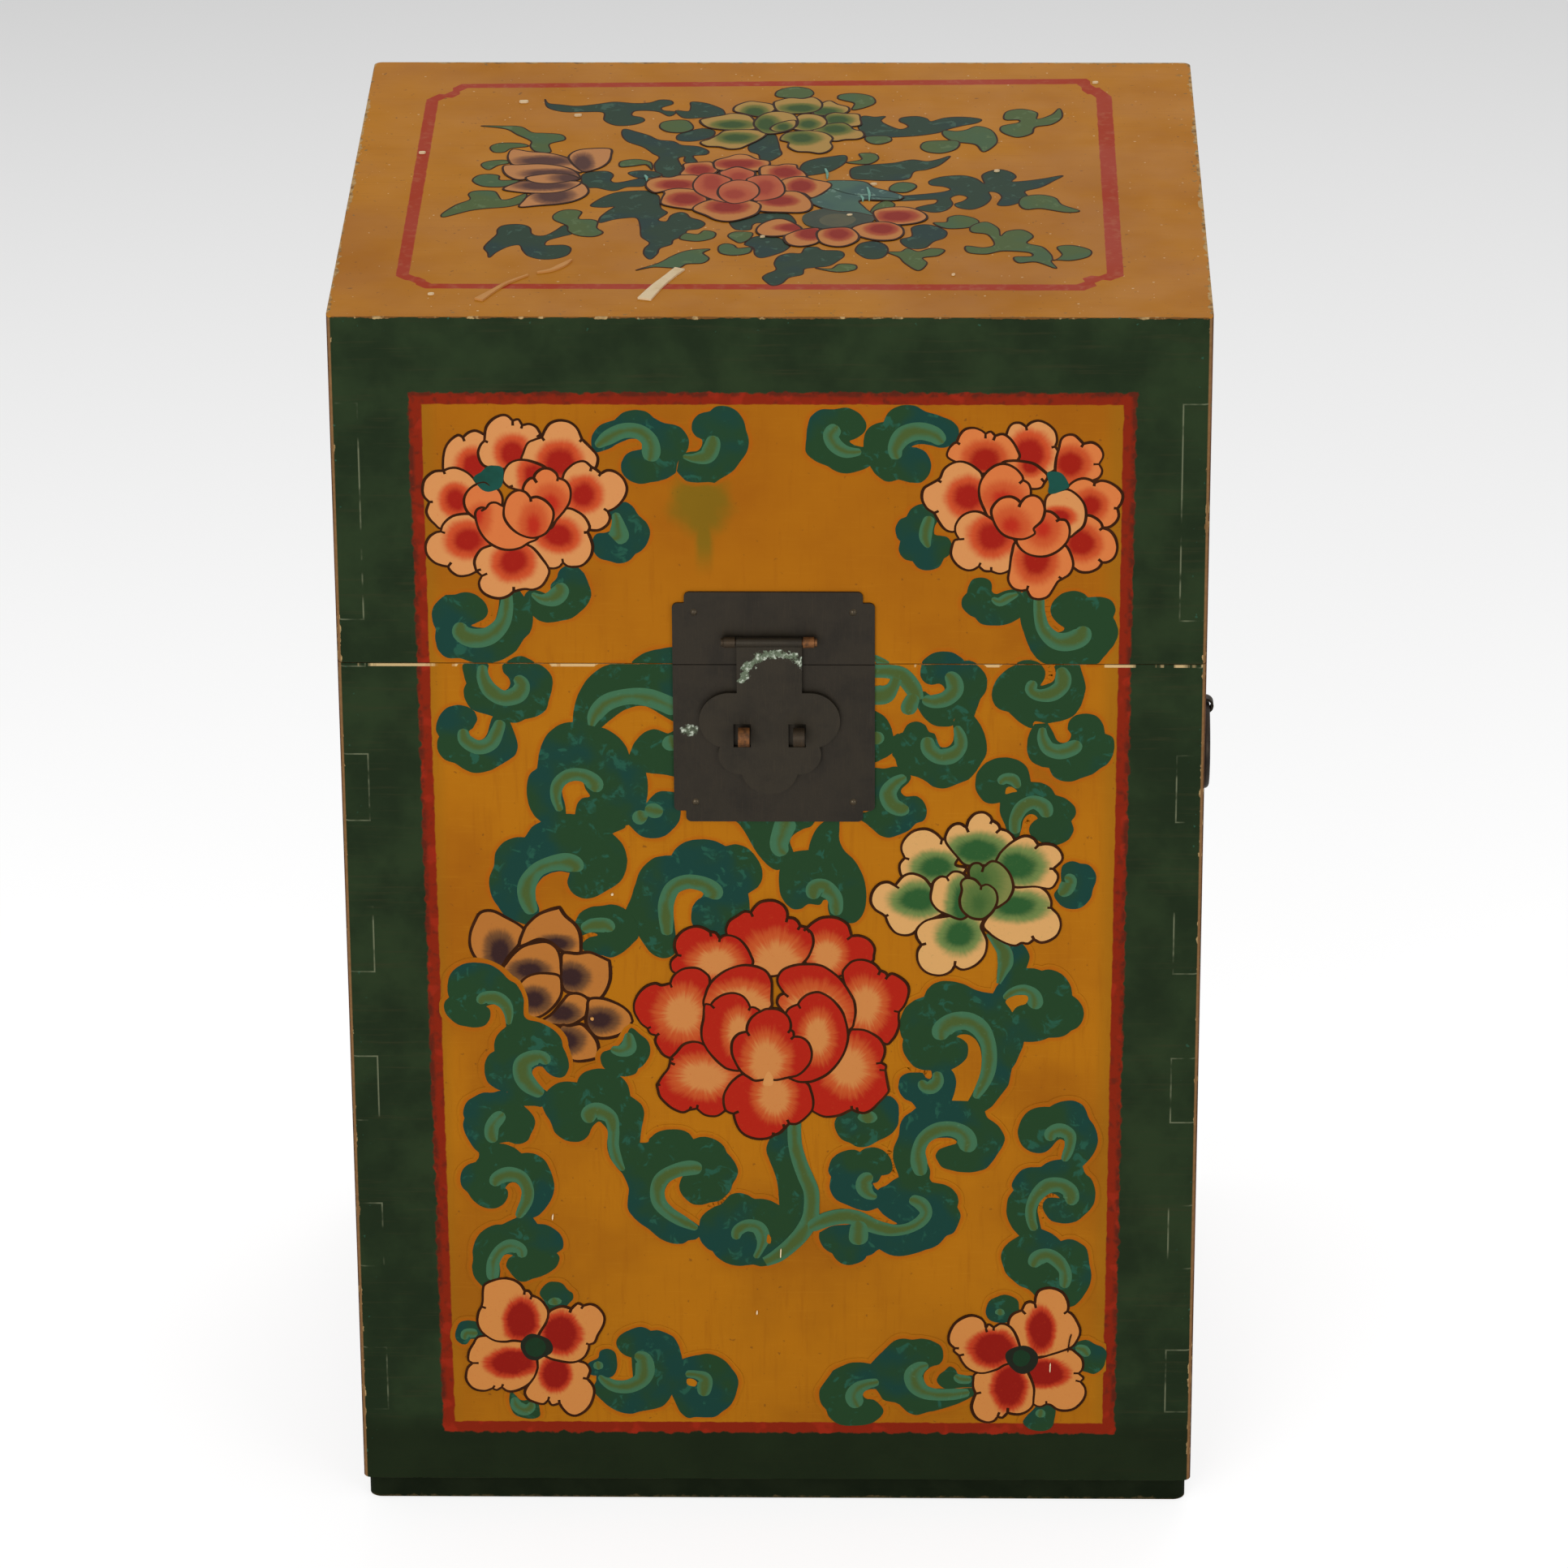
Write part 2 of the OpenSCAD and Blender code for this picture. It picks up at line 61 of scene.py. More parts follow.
def make_camera():
    """A long lens in front of the trunk, looking down at its front and top."""
    data = bpy.data.cameras.new("camera")
    data.lens = CAMERA_LENS
    data.sensor_width = 36.0
    data.clip_start = 0.1
    data.clip_end = 50.0
    camera = bpy.data.objects.new("camera", data)
    turn = Matrix.Rotation(CAMERA_YAW, 3, "Z")
    ahead = turn @ Vector((0, math.cos(CAMERA_PITCH), -math.sin(CAMERA_PITCH)))
    up = turn @ Vector((0, math.sin(CAMERA_PITCH), math.cos(CAMERA_PITCH)))
    right = turn @ Vector((1, 0, 0))
    rolled_right = right * math.cos(CAMERA_ROLL) + up * math.sin(CAMERA_ROLL)
    rolled_up = up * math.cos(CAMERA_ROLL) - right * math.sin(CAMERA_ROLL)
    axes = Matrix((rolled_right, rolled_up, -ahead)).transposed()
    camera.matrix_world = Matrix.Translation(Vector(CAMERA_PLACE) * MM) @ axes.to_4x4()
    bpy.context.collection.objects.link(camera)
    bpy.context.scene.camera = camera


make_camera()
bpy.context.scene.view_settings.view_transform = "Standard"


# Words for building node materials

def paint_colour(red, green, blue):
    """A colour as a paint card gives it, 0 to 255, turned to linear light."""
    parts = []
    for value in (red, green, blue):
        share = value / 255.0
        parts.append(share / 12.92 if share <= 0.04045 else ((share + 0.055) / 1.055) ** 2.4)
    return (*parts, 1.0)


class Finish:
    """One node material, or one node group, built step by step."""

    def __init__(self, name, group=False):
        if group:
            self.tree = bpy.data.node_groups.new(name, "ShaderNodeTree")
            self.result = self.tree
        else:
            self.result = bpy.data.materials.new(name)
            self.result.use_nodes = True
            self.tree = self.result.node_tree
            self.tree.nodes.clear()
        self.made = 0

    def node(self, kind, inputs=None, **settings):
        made = self.tree.nodes.new(kind)
        made.location = (self.made % 12 * 180, -(self.made // 12) * 260)
        self.made += 1
        for key, value in settings.items():
            setattr(made, key, value)
        for key, value in (inputs or {}).items():
            self.put(made.inputs[key], value)
        return made

    def put(self, socket, value):
        if isinstance(value, bpy.types.NodeSocket):
            self.tree.links.new(value, socket)
        else:
            socket.default_value = value

    def math(self, operation, a, b=0.0, c=0.0, clamp=False):
        inputs = {0: a, 1: b, 2: c}
        return self.node("ShaderNodeMath", inputs, operation=operation, use_clamp=clamp).outputs[0]

    def add(self, a, b):
        return self.math("ADD", a, b)

    def less(self, a, b):
        return self.math("SUBTRACT", a, b)

    def times(self, a, b):
        return self.math("MULTIPLY", a, b)

    def lowest(self, *values):
        result = values[0]
        for value in values[1:]:
            result = self.math("MINIMUM", result, value)
        return result

    def highest(self, *values):
        result = values[0]
        for value in values[1:]:
            result = self.math("MAXIMUM", result, value)
        return result

    def rise(self, value, low, high, to_low=0.0, to_high=1.0):
        """A soft step: to_low below low, to_high above high."""
        inputs = {0: value, 1: low, 2: high, 3: to_low, 4: to_high}
        return self.node("ShaderNodeMapRange", inputs, interpolation_type="SMOOTHSTEP").outputs[0]

    def mix(self, share, a, b, blend="MIX"):
        """Colour a below, colour b above, by a share from 0 to 1."""
        made = self.node("ShaderNodeMix", data_type="RGBA", blend_type=blend)
        self.put(made.inputs[0], share)
        self.put(made.inputs[6], a)
        self.put(made.inputs[7], b)
        return made.outputs[2]

    def place(self):
        return self.node("ShaderNodeTexCoord").outputs["Object"]

    def scaled(self, place, x, y, z, shift=(0, 0, 0)):
        inputs = {"Vector": place, "Scale": (x, y, z), "Location": shift}
        return self.node("ShaderNodeMapping", inputs).outputs[0]

    def axes(self, place):
        parts = self.node("ShaderNodeSeparateXYZ", {0: place}).outputs
        return parts[0], parts[1], parts[2]

    def noise(self, place, scale, detail=3.0, rough=0.5, twist=0.0):
        inputs = {"Vector": place, "Scale": scale, "Detail": detail, "Roughness": rough, "Distortion": twist}
        return self.node("ShaderNodeTexNoise", inputs).outputs["Fac"]

    def own_map(self, name):
        return self.node("ShaderNodeUVMap", uv_map=name).outputs[0]

    def surface(self, colour, rough, bump=None, metal=0.0, bump_depth=0.1, coat=0.0, specular=0.5):
        """Ends a material in one surface shader."""
        inputs = {"Base Color": colour, "Roughness": rough, "Metallic": metal}
        shader = self.node("ShaderNodeBsdfPrincipled", inputs)
        shader.inputs["Specular IOR Level"].default_value = specular
        shader.inputs["Coat Weight"].default_value = coat
        shader.inputs["Coat Roughness"].default_value = 0.3
        if bump is not None:
            inputs = {"Height": bump, "Distance": bump_depth * MM, "Strength": 1.0}
            lifted = self.node("ShaderNodeBump", inputs)
            self.put(shader.inputs["Normal"], lifted.outputs[0])
        ending = self.node("ShaderNodeOutputMaterial")
        self.tree.links.new(shader.outputs[0], ending.inputs[0])
        return self.result


# Stage and light

FLOOR_TONE = 0.80
FLOOR_SHADOW = 0.40
FLOOR_FRONT_GLOW = 0.745
FLOOR_BACK_GLOW = 0.31
FLOOR_FADE_START = 0.3
FLOOR_FADE_END = 2.03


def backdrop_finish():
    """A pale floor. The camera sees a painted glow on it, white near the trunk and fading greyer behind, with a
    soft shadow.
    """
    f = Finish("pale_floor_glow")
    x, y, z = f.axes(f.place())
    fading = {0: y, 1: FLOOR_FADE_START, 2: FLOOR_FADE_END, 3: FLOOR_FRONT_GLOW, 4: FLOOR_BACK_GLOW}
    glow = f.node("ShaderNodeMapRange", fading).outputs[0]
    paper = f.node("ShaderNodeBsdfDiffuse", {"Color": (FLOOR_TONE, FLOOR_TONE, FLOOR_TONE, 1)})
    thin = f.node("ShaderNodeBsdfDiffuse", {"Color": (FLOOR_SHADOW, FLOOR_SHADOW, FLOOR_SHADOW, 1)})
    # Painted glow: only camera rays see this emission on the floor.
    light = f.node("ShaderNodeEmission", {"Color": (1, 1, 1, 1), "Strength": glow})
    seen = f.node("ShaderNodeAddShader", {0: thin.outputs[0], 1: light.outputs[0]})
    rays = f.node("ShaderNodeLightPath")
    shaders = {0: rays.outputs["Is Camera Ray"], 1: paper.outputs[0], 2: seen.outputs[0]}
    mixer = f.node("ShaderNodeMixShader", shaders)
    ending = f.node("ShaderNodeOutputMaterial")
    f.tree.links.new(mixer.outputs[0], ending.inputs[0])
    return f.result


def make_stage():
    """A wide pale floor."""
    bm = bmesh.new()
    bmesh.ops.create_grid(bm, x_segments=1, y_segments=1, size=12.0)
    mesh = bpy.data.meshes.new("floor")
    bm.to_mesh(mesh)
    bm.free()
    floor = bpy.data.objects.new("floor", mesh)
    floor.location = (0, 0, -0.0005)
    mesh.materials.append(backdrop_finish())
    bpy.context.collection.objects.link(floor)


def make_lamp(name, place, aim, size, watts):
    """A large soft lamp, given in metres."""
    data = bpy.data.lights.new(name, "AREA")
    data.shape = "SQUARE"
    data.size = size
    data.energy = watts
    lamp = bpy.data.objects.new(name, data)
    lamp.location = place
    lamp.rotation_mode = "QUATERNION"
    lamp.rotation_quaternion = (Vector(aim) - Vector(place)).to_track_quat("-Z", "Y")
    bpy.context.collection.objects.link(lamp)


WORLD_LIGHT = 0.55
BACKDROP_TONE = 0.92


def make_world():
    """An even pale room. The camera sees a paler backdrop than the one that lights the trunk."""
    world = bpy.data.worlds.new("room")
    world.use_nodes = True
    tree = world.node_tree
    tree.nodes.clear()
    lighting = tree.nodes.new("ShaderNodeBackground")
    lighting.inputs[0].default_value = (1, 1, 1, 1)
    lighting.inputs[1].default_value = WORLD_LIGHT
    seen = tree.nodes.new("ShaderNodeBackground")
    seen.inputs[0].default_value = (1, 1, 1, 1)
    seen.inputs[1].default_value = BACKDROP_TONE
    rays = tree.nodes.new("ShaderNodeLightPath")
    mixer = tree.nodes.new("ShaderNodeMixShader")
    ending = tree.nodes.new("ShaderNodeOutputWorld")
    tree.links.new(rays.outputs["Is Camera Ray"], mixer.inputs[0])
    tree.links.new(lighting.outputs[0], mixer.inputs[1])
    tree.links.new(seen.outputs[0], mixer.inputs[2])
    tree.links.new(mixer.outputs[0], ending.inputs[0])
    bpy.context.scene.world = world


make_stage()
make_world()
make_lamp("key", (-1.4, -3.2, 1.2), (0, 0, 0.2), 2.0, 48)
make_lamp("fill", (2.2, -2.6, 0.9), (0, 0, 0.2), 1.6, 22)
make_lamp("rim", (0.5, 2.4, 2.4), (0, 0, 0.4), 2.0, 26)


# Painted boards

SHEEN = 0.03

FRONT_LINE = 5.8
PANEL_TOP = 572.6
PANEL_BOTTOM = 43.5
PANEL_LEFT = -158.0
PANEL_RIGHT = 160.0
PANEL_DRAW_IN = 0.0057

OCHRE = paint_colour(170, 105, 16)
OCHRE_BROWN = paint_colour(150, 86, 14)
OCHRE_OLIVE = paint_colour(142, 94, 18)
FRAME_GREEN = paint_colour(41, 55, 33)
FRAME_DARK = paint_colour(31, 43, 26)
FRAME_BROWN = paint_colour(52, 54, 34)
FRAME_LOW = paint_colour(26, 34, 19)
LINE_RED = paint_colour(128, 35, 16)
LINE_BRIGHT = paint_colour(150, 40, 21)
LINE_DARK = paint_colour(78, 34, 22)
TOP_OCHRE = paint_colour(190, 124, 30)
TOP_BROWN = paint_colour(172, 107, 24)
TOP_RED = paint_colour(166, 44, 24)
BARE_WOOD = paint_colour(190, 158, 108)
INSIDE_WOOD = paint_colour(150, 112, 72)
INSIDE_DARK = paint_colour(112, 80, 48)
SIDE_RED = paint_colour(104, 62, 32)
SIDE_DARK = paint_colour(68, 42, 24)
BACK_BROWN = paint_colour(82, 56, 38)
BACK_DARK = paint_colour(54, 36, 26)
TEAL_FLECK = paint_colour(50, 96, 78)
SMEAR_GREEN = paint_colour(104, 94, 22)
SMEAR_Z = 524
SMEAR_HALF_W = 15.0
SMEAR_HALF_H = 18.0
PALE_SCRATCH = paint_colour(214, 184, 132)


def front_ground_group():
    """The ochre ground of the front panel, shared by the board and by the halos painted on it."""
    f = Finish("front_ground", group=True)
    f.tree.interface.new_socket("Colour", in_out="OUTPUT", socket_type="NodeSocketColor")
    f.tree.interface.new_socket("Height", in_out="OUTPUT", socket_type="NodeSocketFloat")
    place = f.place()
    grain = f.noise(f.scaled(place, 420, 420, 34), 1.0, 4, 0.6)
    weave = f.noise(f.scaled(place, 60, 60, 900), 1.0, 2, 0.5)
    clouds = f.noise(place, 11.0, 4, 0.55)
    specks = f.noise(place, 420.0, 1, 0.5)
    colour = f.mix(f.rise(clouds, 0.42, 0.72), OCHRE, OCHRE_BROWN)
    colour = f.mix(f.rise(grain, 0.5, 0.8, 0, 0.5), colour, OCHRE_BROWN)
    colour = f.mix(f.rise(weave, 0.55, 0.8, 0, 0.25), colour, paint_colour(180, 118, 28))
    x, y, z = f.axes(f.scaled(place, 1000, 1000, 1000))
    low = f.rise(z, 60, 330, 0.2, 0.0)
    colour = f.mix(f.times(low, f.rise(clouds, 0.3, 0.6)), colour, OCHRE_OLIVE)
    # Painted shade: the ground is darkened towards the top of the panel.
    colour = f.mix(f.rise(z, 400, 520, 0, 0.4), colour, OCHRE_BROWN)
    sides = f.rise(f.math("ABSOLUTE", x), 149, 158)
    colour = f.mix(f.times(sides, 0.55), colour, OCHRE_OLIVE)
    colour = f.mix(f.rise(specks, 0.74, 0.8, 0, 0.6), colour, paint_colour(112, 66, 22))
    smear_x = f.math("POWER", f.times(f.add(x, f.rise(z, 490, 540, 30, 33)), 1 / SMEAR_HALF_W), 2.0)
    smear_z = f.math("POWER", f.times(f.less(z, SMEAR_Z), 1 / SMEAR_HALF_H), 2.0)
    smear_noise = f.noise(place, 70.0, 3, 0.6)
    smear = f.rise(f.add(f.add(smear_x, smear_z), f.times(smear_noise, 1.4)), 2.1, 0.9, 0, 1)
    drip_x = f.math("ABSOLUTE", f.add(x, 30.5))
    drip = f.times(f.rise(f.add(drip_x, f.times(smear_noise, 3)), 7.0, 3.2), f.rise(z, 486, 505))
    drip = f.times(drip, f.rise(z, 528, 516))
    colour = f.mix(f.times(f.highest(smear, drip), 0.7), colour, SMEAR_GREEN)
    height = f.add(f.times(grain, 0.5), f.times(weave, 0.3))
    ending = f.node("NodeGroupOutput")
    f.tree.links.new(colour, ending.inputs[0])
    f.tree.links.new(height, ending.inputs[1])
    return f.tree


FRONT_GROUND = front_ground_group()


def use_front_ground(f):
    made = f.node("ShaderNodeGroup")
    made.node_tree = FRONT_GROUND
    return made.outputs[0], made.outputs[1]


def top_ground_group():
    """The ochre ground of the lid's top, shared with what is painted on it."""
    f = Finish("top_ground", group=True)
    f.tree.interface.new_socket("Colour", in_out="OUTPUT", socket_type="NodeSocketColor")
    f.tree.interface.new_socket("Height", in_out="OUTPUT", socket_type="NodeSocketFloat")
    place = f.place()
    grain = f.noise(f.scaled(place, 30, 520, 420), 1.0, 4, 0.6)
    clouds = f.noise(place, 9.0, 4, 0.6)
    specks = f.noise(place, 360.0, 1, 0.5)
    dust = f.noise(place, 520.0, 0, 0.5)
    colour = f.mix(f.rise(clouds, 0.35, 0.75), TOP_OCHRE, TOP_BROWN)
    colour = f.mix(f.rise(grain, 0.5, 0.8, 0, 0.45), colour, TOP_BROWN)
    colour = f.mix(f.rise(specks, 0.73, 0.79, 0, 0.6), colour, paint_colour(112, 74, 40))
    colour = f.mix(f.rise(dust, 0.82, 0.86, 0, 0.7), colour, paint_colour(222, 196, 150))
    ending = f.node("NodeGroupOutput")
    f.tree.links.new(colour, ending.inputs[0])
    f.tree.links.new(grain, ending.inputs[1])
    return f.tree


TOP_GROUND = top_ground_group()


def use_top_ground(f):
    made = f.node("ShaderNodeGroup")
    made.node_tree = TOP_GROUND
    return made.outputs[0], made.outputs[1]


FINGER_LENGTH = 187.0
FINGER_PITCH = 78.5
FINGER_FIRST = 67.0
FINGER_HALF = 17.0
LID_FINGER_MIDDLE = 519.5
LID_FINGER_HALF = 53.5


def finger_lines(f, x, z, wander):
    """Hairlines where the side boards' fingers end in the front, as a share from 0 to 1."""
    out = f.math("ABSOLUTE", x)
    turn = f.times(f.less(z, FINGER_FIRST), 1 / FINGER_PITCH)
    off = f.times(f.less(turn, f.math("ROUND", turn)), FINGER_PITCH)
    low_edge = f.less(f.math("ABSOLUTE", off), FINGER_HALF)
    high_edge = f.less(f.math("ABSOLUTE", f.less(z, LID_FINGER_MIDDLE)), LID_FINGER_HALF)
    in_lid = f.math("GREATER_THAN", z, PARTING)
    past = f.add(f.times(in_lid, high_edge), f.times(f.less(1.0, in_lid), low_edge))
    inner = f.less(FINGER_LENGTH, out)
    edge = f.math("ABSOLUTE", f.highest(past, inner))
    return f.times(f.rise(edge, 0.5, 0.15), f.rise(wander, 0.42, 0.6))


def corner_notches(f, x, y):
    """Distance into the top's panel from its red line, whose corners are cut off with a small step."""
    left = f.less(x, -165.5)
    right = f.less(153.0, x)
    front = f.add(y, 129.0)
    back = f.less(f.add(136.0, f.times(x, 0.022)), y)
    field = f.lowest(left, right, front, back)
    for side, end, across, along, step in ((left, back, 13, 18, 2.6), (left, front, 11, 12, 1.0),
                                           (right, back, 9, 20, 1.6), (right, front, 14, 14, 3.2)):
        slope = across * along / math.hypot(across, along)
        one, other = f.times(side, 1 / across), f.times(end, 1 / along)
        cut = f.times(f.less(f.add(one, other), 1.0), slope)
        middle = f.rise(f.math("ABSOLUTE", f.less(one, other)), 0.5, 0.25)
        field = f.lowest(field, f.less(cut, f.times(middle, step)))
    return field


def board_finish():
    """One finish for every board: it knows by its place which face of the trunk it is on."""
    f = Finish("painted_board")
    place = f.place()
    x, y, z = f.axes(f.scaled(place, 1000, 1000, 1000))
    from_side = f.less(HALF_W, f.math("ABSOLUTE", x))
    from_depth = f.less(HALF_D, f.math("ABSOLUTE", y))
    from_top = f.less(HEIGHT, z)
    nearest = f.lowest(from_side, from_depth, from_top)
    arris = f.highest(f.lowest(from_side, from_depth),
                      f.lowest(f.highest(from_side, from_depth), from_top))
    wobble = f.noise(place, 160.0, 4, 0.6)
    broad = f.noise(place, 24.0, 4, 0.6)
    fine = f.noise(place, 700.0, 3, 0.6)
    blot = f.noise(place, 240.0, 2, 0.5)

    ochre, ochre_height = use_front_ground(f)
    from_panel_top = f.less(PANEL_TOP, z)
    drawn = f.times(from_panel_top, PANEL_DRAW_IN)
    panel_left = f.less(x, f.add(PANEL_LEFT, drawn))
    panel_right = f.less(f.less(PANEL_RIGHT, drawn), x)
    panel = f.lowest(panel_left, panel_right, from_panel_top, f.less(z, PANEL_BOTTOM))
    panel_edge = f.add(panel, f.times(f.less(wobble, 0.5), 1.6))
    line_edge = f.add(panel, f.times(f.less(f.add(wobble, blot), 1.0), 3.2))
    green = f.mix(f.rise(broad, 0.35, 0.65), FRAME_GREEN, FRAME_DARK)
    brush = f.noise(f.scaled(place, 26, 26, 520), 1.0, 3, 0.6)
    green = f.mix(f.rise(brush, 0.52, 0.78, 0, 0.5), green, FRAME_BROWN)
    green = f.mix(f.rise(fine, 0.72, 0.8, 0, 0.3), green, paint_colour(70, 80, 56))
    green = f.mix(f.rise(z, 52, 36, 0, 0.75), green, FRAME_LOW)
    lines = finger_lines(f, x, z, f.noise(place, 55.0, 3, 0.6))
    green = f.mix(f.times(lines, 0.55), green, paint_colour(128, 132, 104))
    red = f.mix(f.times(f.rise(blot, 0.5, 0.75, 0, 0.6), f.rise(z, 40, 60)), LINE_RED, LINE_DARK)
    red = f.mix(f.rise(f.noise(place, 120.0, 1, 0.4), 0.6, 0.72, 0, 0.7), red, LINE_BRIGHT)
    outer_band = f.times(f.rise(panel, -2.8, -5.0), f.rise(z, 42, 50))
    red = f.mix(f.times(outer_band, f.rise(wobble, 0.4, 0.6, 0, 0.85)), red, LINE_DARK)
    front = f.mix(f.rise(line_edge, -FRONT_LINE - 0.5, -FRONT_LINE + 0.5), green, red)
    front = f.mix(f.rise(panel_edge, -0.35, 0.35), front, ochre)
    seam = f.rise(f.math("ABSOLUTE", f.less(z, PARTING - 0.9)), 0.9, 0.5)
    seam = f.times(seam, f.rise(f.noise(f.scaled(place, 60, 60, 1), 1.0, 4, 0.7), 0.44, 0.52))
    front = f.mix(f.times(seam, 0.75), front, PALE_SCRATCH)

    top_ground, top_height = use_top_ground(f)
    field = corner_notches(f, x, y)
    field_edge = f.add(field, f.times(f.less(wobble, 0.5), 1.0))
    line_width = f.rise(x, -170, 170, 6.0, 7.6)
    on_line = f.times(f.rise(f.add(field_edge, line_width), -0.3, 0.3), f.rise(field_edge, 0.3, -0.3))
    top_red = f.mix(f.rise(blot, 0.5, 0.75, 0, 0.5), TOP_RED, paint_colour(176, 92, 64))
    top = f.mix(f.times(on_line, 0.92), top_ground, top_red)

    side = f.mix(f.rise(broad, 0.35, 0.62), SIDE_RED, SIDE_DARK)
    side_grain = f.noise(f.scaled(place, 400, 30, 520), 1.0, 4, 0.6)
    side = f.mix(f.rise(side_grain, 0.48, 0.78, 0, 0.6), side, paint_colour(128, 84, 44))
    side_rubbed = f.rise(f.add(broad, f.times(wobble, 0.4)), 0.86, 0.94, 0, 0.7)
    side = f.mix(side_rubbed, side, paint_colour(150, 112, 66))
    back = f.mix(f.rise(broad, 0.35, 0.65), BACK_BROWN, BACK_DARK)
    back = f.mix(f.rise(f.noise(f.scaled(place, 520, 30, 26), 1.0, 4, 0.6), 0.5, 0.8, 0, 0.6), back, BACK_DARK)
    inside = f.mix(f.noise(f.scaled(place, 34, 34, 420), 1.0, 4, 0.6), INSIDE_WOOD, INSIDE_DARK)

    is_top = f.math("LESS_THAN", from_top, f.lowest(from_side, from_depth))
    is_side = f.math("LESS_THAN", from_side, f.lowest(from_depth, from_top))
    is_back = f.math("GREATER_THAN", y, 0.0)
    colour = f.mix(is_back, front, back)
    colour = f.mix(is_side, colour, side)
    colour = f.mix(is_top, colour, top)
    worn_width = f.rise(f.add(f.times(wobble, 0.6), f.times(broad, 0.5)), 0.44, 0.72, 0.25, 2.6)
    front_edge = f.times(f.rise(from_top, 6, 4), f.rise(y, -164, -166))
    worn_width = f.times(worn_width, f.rise(front_edge, 0, 1, 1.0, 0.5))
    worn = f.rise(f.less(worn_width, arris), -0.15, 0.25)
    worn_colour = f.mix(f.rise(blot, 0.4, 0.7), BARE_WOOD, paint_colour(120, 90, 54))
    browner = f.times(front_edge, f.rise(wobble, 0.62, 0.56))
    worn_colour = f.mix(browner, worn_colour, paint_colour(118, 76, 36))
    colour = f.mix(f.times(worn, 0.85), colour, worn_colour)
    flecks = f.times(f.rise(arris, 12.0, 0.5), f.rise(f.noise(place, 300.0, 2, 0.5), 0.68, 0.73))
    colour = f.mix(f.times(flecks, 0.7), colour, TEAL_FLECK)
    colour = f.mix(f.rise(nearest, 0.5, 0.8), colour, inside)
    height = f.add(f.times(ochre_height, 0.5), f.add(f.times(fine, 0.3), f.times(worn, -0.6)))
    rough = f.rise(f.add(broad, f.times(worn, 0.5)), 0.3, 0.8, 0.42, 0.62)
    return f.surface(colour, rough, height, bump_depth=0.06, specular=SHEEN)


def base_finish():
    """The base board: dark green paint, rubbed to wood along its lower edge."""
    f = Finish("base_board_paint")
    place = f.place()
    x, y, z = f.axes(f.scaled(place, 1000, 1000, 1000))
    broad = f.noise(place, 30.0, 4, 0.6)
    fine = f.noise(place, 260.0, 3, 0.6)
    colour = f.mix(f.rise(broad, 0.35, 0.65), paint_colour(26, 33, 19), paint_colour(19, 26, 14))
    rubbed = f.rise(f.add(z, f.times(fine, -5.0)), -1.2, -2.6)
    colour = f.mix(f.times(rubbed, 0.5), colour, paint_colour(96, 80, 52))
    dashes = f.rise(f.noise(f.scaled(place, 70, 70, 1), 1.0, 3, 0.7), 0.43, 0.5)
    gap = f.rise(f.math("ABSOLUTE", f.less(x, 35)), 34, 42)
    seam = f.times(f.rise(z, 10.3, 11.2), f.times(dashes, gap))
    colour = f.mix(f.times(seam, 0.8), colour, paint_colour(142, 138, 108))
    return f.surface(colour, 0.55, fine, bump_depth=0.06, specular=SHEEN)


# Old metal

def metal_finish(name, base, dark, rubbed, rough=0.5, extra=None):
    """Old brass or bronze: dark patina and rubbed spots; extra adds what only one piece has."""
    f = Finish(name)
    place = f.place()
    patches = f.noise(place, 60.0, 4, 0.6)
    pits = f.noise(place, 900.0, 3, 0.6)
    brushed = f.noise(f.scaled(place, 1500, 1500, 90), 1.0, 3, 0.6)
    colour = f.mix(f.rise(patches, 0.35, 0.7), base, dark)
    colour = f.mix(f.rise(brushed, 0.5, 0.8, 0, 0.5), colour, rubbed)
    if extra:
        colour = extra(f, place, colour)
    rough = f.rise(patches, 0.3, 0.7, rough - 0.06, rough + 0.1)
    return f.surface(colour, rough, pits, metal=0.55, bump_depth=0.05)


def powder(f, place, colour, spread, low, high):
    """Pale bloom in grains where spread is high."""
    grains = f.noise(place, 420.0, 3, 0.7)
    share = f.rise(f.add(grains, f.times(spread, 0.5)), low, high)
    pale = f.mix(f.rise(grains, 0.5, 0.66), paint_colour(104, 118, 94), paint_colour(206, 214, 196))
    return f.mix(f.times(f.times(share, 0.85), f.rise(spread, 0.05, 0.4)), colour, pale)


# Bloom on the lock, in mm: an arc on the hasp and a spot on the plate
ARC_X, ARC_Z, ARC_REACH = 2.5, 434, 16.8
SPOT_X, SPOT_Z = -38, 411
SPOT_HALF_W, SPOT_HALF_H = 6.5, 4.2


def hasp_bloom(f, place, colour):
    """An arc of bloom over the hasp's strap."""
    x, y, z = f.axes(f.scaled(place, 1000, 1000, 1000))
    across, up = f.less(x, ARC_X), f.less(z, ARC_Z)
    reach = f.math("SQRT", f.add(f.times(across, across), f.times(up, up)))
    reach = f.add(reach, f.times(f.less(f.noise(place, 300.0, 3, 0.7), 0.5), 9.0))
    arc = f.rise(f.math("ABSOLUTE", f.less(reach, ARC_REACH)), 4.2, 0.6)
    arc = f.times(f.times(arc, f.rise(up, 0, 4)), f.rise(f.add(x, f.times(up, -1.0)), 4, -12, 0.55, 1.0))
    return powder(f, place, colour, f.times(arc, f.rise(z, 454, 452)), 0.72, 0.9)


def plate_bloom(f, place, colour):
    """A spot of bloom left of the hasp."""
    x, y, z = f.axes(f.scaled(place, 1000, 1000, 1000))
    across = f.times(f.less(x, SPOT_X), 1 / SPOT_HALF_W)
    up = f.times(f.less(z, SPOT_Z), 1 / SPOT_HALF_H)
    spot = f.rise(f.add(f.times(across, across), f.times(up, up)), 1.0, 0.1)
    return powder(f, place, colour, spot, 0.78, 1.1)


